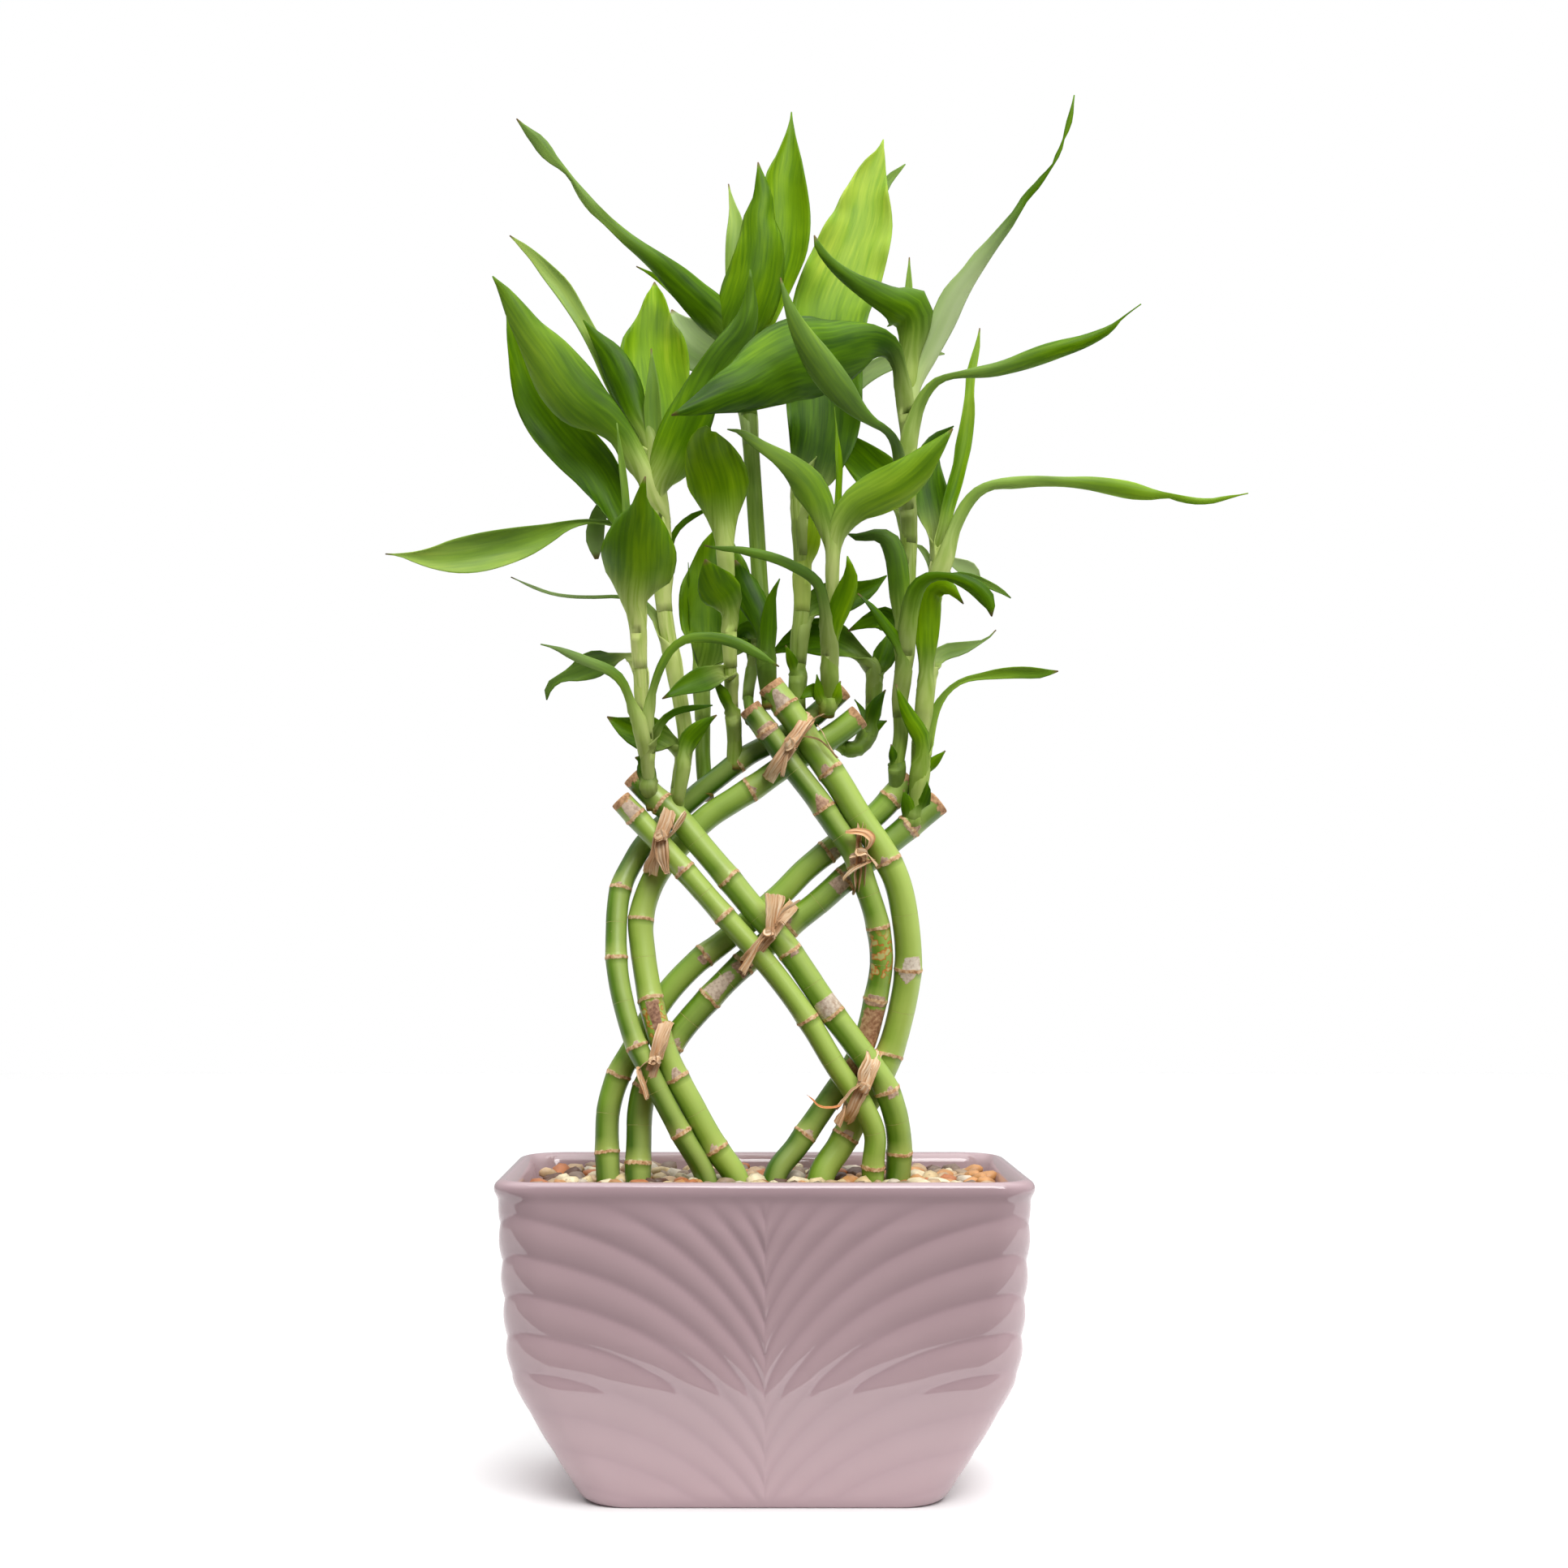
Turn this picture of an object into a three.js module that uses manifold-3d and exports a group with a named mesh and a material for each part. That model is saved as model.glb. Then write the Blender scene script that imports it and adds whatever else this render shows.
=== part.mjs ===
// Lucky bamboo: eight canes woven into a trellis and tied with raffia, with leafy shoots, standing
// in pea gravel in a glazed ceramic pot. Millimetres, +Z up. The origin lies on the pot's flat
// underside, 1 mm right of its middle, the trellis lies in the plane y = 0 and the front faces -Y.
import * as THREE from 'three';
import { mergeVertices } from 'three/addons/utils/BufferGeometryUtils.js';
import Module from 'manifold-3d';

const wasm = await Module();
wasm.setup();

// Driving dimensions of the pot
const potHeight = 97;
const potMiddle = -1;
const rimHalfWidth = 79;
const rimHalfDepth = 45;
const cornerRadius = 13;
const wall = 5;
const floorThickness = 5;

// Driving dimensions of the fan of ribs on each face of the pot. A rib crosses the middle line of
// a face at its own height, curls away from it within a millimetre or two, sweeps up by ribRise
// towards the corners, and widens on the way.
const ribPitch = 9.86;
const ribPhase = 0.724;
const ribDepth = 0.85;
const ribRise = 47.5;
const ribBend = 30;
const curlRise = 2.6;
const curlBend = 1.5;
const ribSpread = 0.0019;
const ribZone = { low: 1.8, high: 89.5 };

// Driving dimensions of the gravel and of the gaps between pieces
const bedHeight = 89;
const pebbleSpacing = 14.2;
const seatGap = 0.35;

// Driving dimensions of the canes, leaves and ties
const ringHeight = 0.4;
const ringHalfLength = 1;
const caneStep = 18;
const caneSides = 7;
const stemSides = 6;
const bladeThickness = 0.7;
const leafStep = 16;
const tieHalfHeight = 16.5;
const tieHalfDepth = 10.8;
const bandWidth = 3.2;
const bandThickness = 1.1;

// The plant's points are readings from the front: x and z where an eye in front of the plant sees
// them on the plane y = 0, then the depth y, which is behind that plane where it is positive.
const eye = new THREE.Vector3(-10, -640, 166);

// How much larger a thing at depth y is than it looks on the plane y = 0
function growth(y) {
  return 1 - y / eye.y;
}

// Returns the point in space of a reading [x, y, z]: where its line of sight reaches depth y.
function sighted([x, y, z]) {
  const scale = growth(y);
  return new THREE.Vector3(eye.x + (x - eye.x) * scale, y, eye.z + (z - eye.z) * scale);
}

// A small seeded generator of numbers from 0 to 1, so that every run gives the same draws
function seeded(seed) {
  let state = seed;
  return () => {
    state = (state * 1664525 + 1013904223) % 4294967296;
    return state / 4294967296;
  };
}

// Builds a geometry from points and triangles, dropping the triangles that have no area.
function geometryOf(points, triangles) {
  const raw = new THREE.BufferGeometry();
  raw.setAttribute('position', new THREE.Float32BufferAttribute(points.flatMap((p) => p.toArray()), 3));
  raw.setIndex(triangles.flat());
  const merged = mergeVertices(raw, 1e-4);
  const index = Array.from(merged.index.array);
  const kept = [];
  for (let i = 0; i < index.length; i += 3) {
    const [a, b, c] = index.slice(i, i + 3);
    if (a !== b && b !== c && c !== a) {
      kept.push(a, b, c);
    }
  }
  merged.setIndex(kept);
  return merged;
}

function signedVolume(geometry) {
  const position = geometry.attributes.position;
  const index = geometry.index.array;
  const corner = [new THREE.Vector3(), new THREE.Vector3(), new THREE.Vector3()];
  let total = 0;
  for (let i = 0; i < index.length; i += 3) {
    corner.forEach((v, k) => v.fromBufferAttribute(position, index[i + k]));
    total += corner[0].dot(corner[1].clone().cross(corner[2])) / 6;
  }
  return total;
}

// Turns the faces of a closed geometry outwards.
function facingOut(geometry) {
  if (signedVolume(geometry) < 0) {
    const index = Array.from(geometry.index.array);
    for (let i = 0; i < index.length; i += 3) {
      [index[i + 1], index[i + 2]] = [index[i + 2], index[i + 1]];
    }
    geometry.setIndex(index);
  }
  return geometry;
}

function solidOf(geometry) {
  return new wasm.Manifold(new wasm.Mesh({
    numProp: 3,
    vertProperties: new Float32Array(geometry.attributes.position.array),
    triVerts: new Uint32Array(geometry.index.array),
  }));
}

// The largest body of a solid as a geometry: a scrap that a cut leaves loose is dropped.
function geometryFrom(solid) {
  const bodies = solid.decompose();
  bodies.sort((a, b) => b.volume() - a.volume());
  const mesh = bodies[0].getMesh();
  const geometry = new THREE.BufferGeometry();
  const position = new Float32Array(mesh.vertProperties);
  geometry.setAttribute('position', new THREE.BufferAttribute(position, 3));
  geometry.setIndex(Array.from(mesh.triVerts));
  return geometry;
}

// The band of triangles between two rings of count points
function band(low, high, count) {
  const triangles = [];
  for (let k = 0; k < count; k += 1) {
    const next = (k + 1) % count;
    triangles.push([low + k, low + next, high + next], [low + k, high + next, high + k]);
  }
  return triangles;
}

// A closed skin through rings of points, all with the same number of points
function loft(rings) {
  const count = rings[0].length;
  const triangles = [];
  for (let i = 0; i < rings.length - 1; i += 1) {
    triangles.push(...band(i * count, (i + 1) * count, count));
  }
  const last = (rings.length - 1) * count;
  for (let k = 1; k < count - 1; k += 1) {
    triangles.push([0, k + 1, k], [last, last + k, last + k + 1]);
  }
  return facingOut(geometryOf(rings.flat(), triangles));
}

// The same skin where the last ring joins the first
function closedLoft(rings) {
  const count = rings[0].length;
  const triangles = rings.flatMap((_, i) => band(i * count, ((i + 1) % rings.length) * count, count));
  return facingOut(geometryOf(rings.flat(), triangles));
}

// Frames along a path that twist as little as possible. Each has its point, the way along, the
// way across (which starts square to the line of sight) and the way out towards the front.
function framesAlong(points) {
  const frames = [];
  points.forEach((point, i) => {
    const before = points[Math.max(i - 1, 0)];
    const after = points[Math.min(i + 1, points.length - 1)];
    const along = after.clone().sub(before).normalize();
    const across = i === 0 ? along.clone().cross(new THREE.Vector3(0, 1, 0)) : frames[i - 1].across.clone();
    across.addScaledVector(along, -across.dot(along)).normalize();
    frames.push({ point, along, across, out: along.clone().cross(across) });
  });
  return frames;
}

function readingCurve(readings) {
  const knots = readings.map(([x, y, z]) => new THREE.Vector3(x, y, z));
  return new THREE.CatmullRomCurve3(knots, false, 'centripetal');
}

// The points of a ring of a tube round a frame of its path
function ringRound(frame, radius, sides) {
  return Array.from({ length: sides }, (_, k) => {
    const angle = (2 * Math.PI * k) / sides;
    return frame.point.clone()
      .addScaledVector(frame.across, radius * Math.cos(angle))
      .addScaledVector(frame.out, radius * Math.sin(angle));
  });
}

// A round tube through readings, with a radius at each station of the curve from 0 to 1
function tube(curve, stations, sides) {
  const points = stations.map(({ t }) => sighted(curve.getPointAt(t).toArray()));
  const rings = framesAlong(points).map((frame, i) => ringRound(frame, stations[i].radius, sides));
  return loft(rings);
}

// Canes: where each runs from its foot in the gravel to its cut top, and the heights of its rings
const canes = {
  cane_left_outer: {
    radius: 3.3,
    line: [[-16.5, -1, 56], [-17.8, -2.5, 80], [-18.4, -4, 92.75], [-25.8, -5.9, 106.5],
      [-32.5, -6.8, 119], [-36.6, -6.6, 127.25], [-40.5, -6, 135.5], [-45.4, -3, 154.5],
      [-46.2, 0, 168.75], [-44.8, 3.2, 182.5], [-41.4, 5.4, 190], [-37.3, 6.6, 196.5],
      [-24.8, 7, 208.5], [-14.5, 6.8, 217], [-6.25, 6.6, 223.2], [0.25, 6.2, 226.8],
      [13.5, 5.6, 234.75], [23.5, 5.6, 243.75]],
    rings: [107.5, 133.75, 161.25, 182.5, 221.5],
  },
  cane_left_inner: {
    radius: 3.85,
    line: [[-6.5, 0, 56], [-8, -0.5, 80], [-9.1, -1.3, 92.75], [-15.9, -2.8, 103.25],
      [-23.3, -3.6, 116.5], [-28.2, -3.8, 125.5], [-31.6, -3.5, 133.75], [-35, -2, 145.5],
      [-38.1, 1, 164.25], [-38.6, 2, 172.5], [-36.6, 3, 180.75], [-32.4, 3.9, 189],
      [-19.1, 4.5, 203.6], [-9.5, 4.5, 210.1], [-3, 4.5, 214.2], [4.5, 4.6, 219.5],
      [22, 4.8, 230.5], [28.5, 4.8, 235.5]],
    rings: [102.5, 124.25, 148.5, 173, 213],
  },
  cane_right_inner: {
    radius: 3.6,
    line: [[1, 0, 56], [1.8, 1, 80], [2.75, 2, 94], [9.5, 4, 103.25], [15.25, 5, 111.5],
      [21, 5.5, 119.75], [26.75, 5.2, 128], [30.25, 4, 135.25], [33.5, 1.5, 147.5], [35.5, -1, 160],
      [34.25, -3, 171.75], [31, -4.4, 182.5], [27, -5.1, 193.25], [21, -5.3, 202.25],
      [16, -5.3, 209.75], [7.75, -5, 220.5], [2, -4.8, 228.75], [-5, -4.8, 238]],
    rings: [106.75, 148.5, 170.75, 190, 207, 231.25],
  },
  cane_right_outer: {
    radius: 4.15,
    line: [[14.5, 0, 56], [15.8, 1, 80], [17, 2, 94], [22.75, 4, 103.25], [27, 4.8, 110.75],
      [32.75, 5, 120], [37.75, 4.4, 131], [41.75, 2.4, 145.25], [43.75, 0, 158.5],
      [43, -2.4, 171.75], [40.25, -4.2, 185], [35.25, -5, 195], [28.5, -5, 204.75],
      [22, -5, 215.5], [15.25, -5, 224.75], [8.75, -5, 234.75], [1.25, -5, 245]],
    rings: [106.25, 131.75, 157.75, 191, 218.75, 238.5],
  },
  cane_rising_right_upper: {
    radius: 3.7,
    line: [[-47.5, 2, 56], [-48.5, 2.5, 80], [-48.75, 3, 95], [-49, 4, 103.25], [-48.5, 5, 114.75],
      [-45.25, 5.6, 125.5], [-41.5, 5.8, 132.25], [-31.25, 5.8, 149.25], [-21.25, 5.8, 160],
      [-13.75, 5.8, 165.75], [3.75, 5.8, 180], [12, 5.8, 188.25], [20.25, 5.8, 195],
      [34.25, 5.6, 205.75], [43.75, 5.6, 216.75]],
    rings: [101.5, 125, 162, 193.75, 210],
  },
  cane_rising_right_lower: {
    radius: 3.95,
    line: [[-38.5, 0, 56], [-39.3, 0.5, 80], [-39.5, 1, 93.25], [-39.25, 2.5, 103.25],
      [-38.75, 4, 114.75], [-37, 4.6, 121.5], [-27.75, 4.8, 136.75], [-17, 4.8, 149.25],
      [-7, 4.8, 159.25], [7.75, 4.8, 171.75], [16, 4.8, 178.25], [24.5, 4.8, 185.75],
      [38.5, 4.8, 197.25], [53, 4.8, 209]],
    rings: [98, 121.25, 135, 148.75, 159.25, 171, 185.5, 201.75],
  },
  cane_rising_left_lower: {
    radius: 3.4,
    line: [[31, -2, 56], [32, -2.4, 80], [32.75, -3, 91.5], [33, -3.8, 98.25], [33.5, -4.6, 106.5],
      [30.25, -5.6, 114.75], [22, -6.1, 127], [12, -6.3, 143.5], [0.25, -6, 159.25],
      [-13, -6, 174.25], [-25.25, -6, 188.25], [-38.75, -6, 203.25], [-44.75, -6, 209.75]],
    rings: [96.75, 118, 142.25, 174.25, 188.25, 204.75],
  },
  cane_rising_left_upper: {
    radius: 3.85,
    line: [[39, 1, 56], [40, 1, 80], [40.5, 0.5, 91.5], [41, -1.2, 104.75], [39.25, -3.4, 114.75],
      [36, -4.6, 122.75], [27, -4.8, 135.25], [19.5, -4.8, 145.25], [9.5, -4.8, 160],
      [4.5, -4.8, 166.75], [-3, -4.8, 175.25], [-11.25, -4.8, 185.25], [-19.5, -4.8, 195],
      [-27.75, -4.8, 204.75], [-35.25, -4.8, 211.5], [-40.75, -4.8, 217.25]],
    rings: [101.25, 120.5, 143.75, 163, 185.5, 208.75],
  },
};

// The station from 0 to 1 where a rising curve reaches a height.
function stationAt(curve, height) {
  let low = 0;
  let high = 1;
  for (let n = 0; n < 24; n += 1) {
    const middle = (low + high) / 2;
    if (curve.getPointAt(middle).z < height) {
      low = middle;
    } else {
      high = middle;
    }
  }
  return (low + high) / 2;
}

// A cane with a slight ridge at each ring, swollen by extra where its skin is wanted larger.
function makeCane(cane, extra = 0) {
  const curve = readingCurve(cane.line);
  const length = curve.getLength();
  const radius = cane.radius + extra;
  const half = ringHalfLength / length;
  const ridges = cane.rings.map((height) => stationAt(curve, height));
  const stations = ridges.flatMap((t) => [
    { t: t - half, radius },
    { t, radius: radius + ringHeight },
    { t: t + half, radius },
  ]);
  const plain = Math.round(length / caneStep);
  for (let n = 0; n <= plain; n += 1) {
    const t = n / plain;
    if (ridges.every((ridge) => Math.abs(ridge - t) > 3 * half)) {
      stations.push({ t, radius });
    }
  }
  stations.sort((a, b) => a.t - b.t);
  return tube(curve, stations, caneSides);
}

// Pot: half the width of its outside at each height, from the underside up to the lip
const potProfile = [
  [0, 51.8], [1.8, 54.9], [7.5, 58], [15.5, 62.6], [24, 67.1], [33, 71.7], [37.4, 73.6], [42, 74.6],
  [46, 75.1], [53, 75.5], [67, 76.4], [82, 77.2], [89.5, 77.7], [91.2, 78], [92.4, 78.6],
  [93.8, rimHalfWidth], [95.8, 78.6], [potHeight, 76.6],
];

function halfWidthAt(z) {
  const above = potProfile.findIndex(([height]) => height >= z);
  if (above <= 0) {
    return potProfile[0][1];
  }
  const [z0, w0] = potProfile[above - 1];
  const [z1, w1] = potProfile[above];
  return w0 + ((w1 - w0) * (z - z0)) / (z1 - z0);
}

// Places round a rounded rectangle: a point of the inner rectangle and the way out from it
const faceSteps = [0, 0.1, 0.25, 0.45, 0.7, 1];
const sideSteps = [0, 0.2, 0.5, 1];
const cornerTurns = [30, 60];

function perimeter(alongFace, alongSide, turns) {
  const places = [];
  const mirrored = (steps) => [...steps.slice(1).reverse().map((s) => -s), ...steps];
  for (let side = 0; side < 4; side += 1) {
    const start = -Math.PI / 2 + (side * Math.PI) / 2;
    const steps = mirrored(side % 2 === 0 ? alongFace : alongSide);
    const way = new THREE.Vector2(Math.cos(start), Math.sin(start));
    const forward = new THREE.Vector2(-way.y, way.x);
    steps.forEach((s) => {
      const place = way.clone().addScaledVector(forward, s);
      places.push({ x: place.x, y: place.y, out: way, fromMiddle: Math.abs(s) });
    });
    turns.forEach((turn) => {
      const angle = start + THREE.MathUtils.degToRad(turn);
      const corner = way.clone().add(forward);
      const out = new THREE.Vector2(Math.cos(angle), Math.sin(angle));
      places.push({ x: corner.x, y: corner.y, out, fromMiddle: 1 });
    });
  }
  return places;
}

// A point on a wall at height z, inset from the outside and raised by the ribs' relief
const depthShare = 0.55;
const sharpestCorner = 3;

function wallPoint(place, z, inset, relief = 0) {
  const halfWidth = halfWidthAt(z);
  const halfDepth = rimHalfDepth - (rimHalfWidth - halfWidth) * depthShare;
  const radius = Math.max(cornerRadius - inset, sharpestCorner);
  return new THREE.Vector3(
    potMiddle + place.x * (halfWidth - inset - radius) + place.out.x * (radius + relief),
    place.y * (halfDepth - inset - radius) + place.out.y * (radius + relief),
    z,
  );
}

// Height where the rib line that crosses the middle of a face at height start is at a place
function ribHeight(place, start) {
  const distance = place.fromMiddle * rimHalfWidth;
  const sweep = ribRise * (1 - Math.exp(-distance / ribBend));
  const curl = curlRise * (1 - Math.exp(-distance / curlBend));
  return start * (1 + ribSpread * distance) + sweep + curl;
}

function makePot() {
  const places = perimeter(faceSteps, sideSteps, cornerTurns);
  const row = (z, inset) => places.map((place) => wallPoint(place, z, inset));
  const rings = [row(0, 0)];
  const lowest = Math.floor(-ribRise / ribPitch) + 1;
  const highest = Math.ceil(ribZone.high / ribPitch);
  for (let half = 2 * lowest; half <= 2 * highest; half += 1) {
    rings.push(places.map((place) => {
      const z = ribHeight(place, (half / 2 + ribPhase) * ribPitch);
      const inZone = z > ribZone.low && z < ribZone.high;
      const ridge = inZone && half % 2 !== 0 ? ribDepth : 0;
      return wallPoint(place, THREE.MathUtils.clamp(z, ribZone.low, ribZone.high), 0, ridge);
    }));
  }
  rings.push(row(91.2, 0), row(92.4, 0), row(93.8, 0), row(95.8, 0), row(potHeight, 0));
  rings.push(row(potHeight, wall - 2), row(95.2, wall), row(bedHeight, wall), row(42, wall));
  rings.push(row(floorThickness, wall));
  return loft(rings);
}

// Gravel: the fill, a relief of pebbles on top, some that stand out of it, and a plain hole for
// each cane, with a little room round it
const reliefDepth = 6;
const loosePebbles = 12;

function makeGravel() {
  const outline = perimeter([0, 1], [0, 1], cornerTurns);
  const inset = wall + seatGap;
  const layer = (z) => outline.map((place) => wallPoint(place, z, inset));
  const fill = loft([layer(floorThickness + seatGap), layer(42), layer(bedHeight)]);
  const draw = seeded(7);
  const halfX = halfWidthAt(bedHeight) - inset - 2.5;
  const halfY = rimHalfDepth - inset - 4;
  const columns = 2 * Math.round((2 * halfX) / pebbleSpacing);
  const rows = 2 * Math.round((2 * halfY) / pebbleSpacing);
  const points = [];
  for (let j = 0; j <= rows; j += 1) {
    for (let i = 0; i <= columns; i += 1) {
      const onEdge = i === 0 || j === 0 || i === columns || j === rows;
      const isCrown = i % 2 === 1 && j % 2 === 1;
      const shift = onEdge ? 0 : 1.6;
      const rise = isCrown ? 2.2 + 1.8 * draw() : 0.3 + 0.8 * draw();
      const x = potMiddle - halfX + (2 * halfX * i) / columns + shift * (draw() - 0.5);
      const y = -halfY + (2 * halfY * j) / rows + shift * (draw() - 0.5);
      points.push(new THREE.Vector3(x, y, bedHeight + rise));
      points.push(new THREE.Vector3(x, y, bedHeight - reliefDepth));
    }
  }
  const triangles = [];
  const at = (i, j, level) => 2 * (j * (columns + 1) + i) + level;
  const quad = (a, b, c, d) => triangles.push([a, b, c], [a, c, d]);
  for (let j = 0; j < rows; j += 1) {
    for (let i = 0; i < columns; i += 1) {
      quad(at(i, j, 0), at(i + 1, j, 0), at(i + 1, j + 1, 0), at(i, j + 1, 0));
      quad(at(i, j, 1), at(i, j + 1, 1), at(i + 1, j + 1, 1), at(i + 1, j, 1));
    }
  }
  for (let i = 0; i < columns; i += 1) {
    quad(at(i, 0, 0), at(i, 0, 1), at(i + 1, 0, 1), at(i + 1, 0, 0));
    quad(at(i, rows, 0), at(i + 1, rows, 0), at(i + 1, rows, 1), at(i, rows, 1));
  }
  for (let j = 0; j < rows; j += 1) {
    quad(at(0, j, 0), at(0, j + 1, 0), at(0, j + 1, 1), at(0, j, 1));
    quad(at(columns, j, 0), at(columns, j, 1), at(columns, j + 1, 1), at(columns, j + 1, 0));
  }
  const parts = [solidOf(fill), solidOf(facingOut(geometryOf(points, triangles)))];
  for (let n = 0; n < loosePebbles; n += 1) {
    const pebble = new THREE.IcosahedronGeometry(2.8 + 1.4 * draw(), 0);
    pebble.deleteAttribute('normal');
    pebble.deleteAttribute('uv');
    pebble.scale(1.15, 0.95, 0.7);
    pebble.rotateZ(Math.PI * draw());
    pebble.translate(0, (2 * draw() - 1) * (halfY - 5), bedHeight + 2.2);
    pebble.translate(potMiddle + (2 * draw() - 1) * (halfX - 5), 0, 0);
    parts.push(solidOf(mergeVertices(pebble, 1e-3)));
  }
  return geometryFrom(wasm.Manifold.union(parts).subtract(clearance));
}

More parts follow.
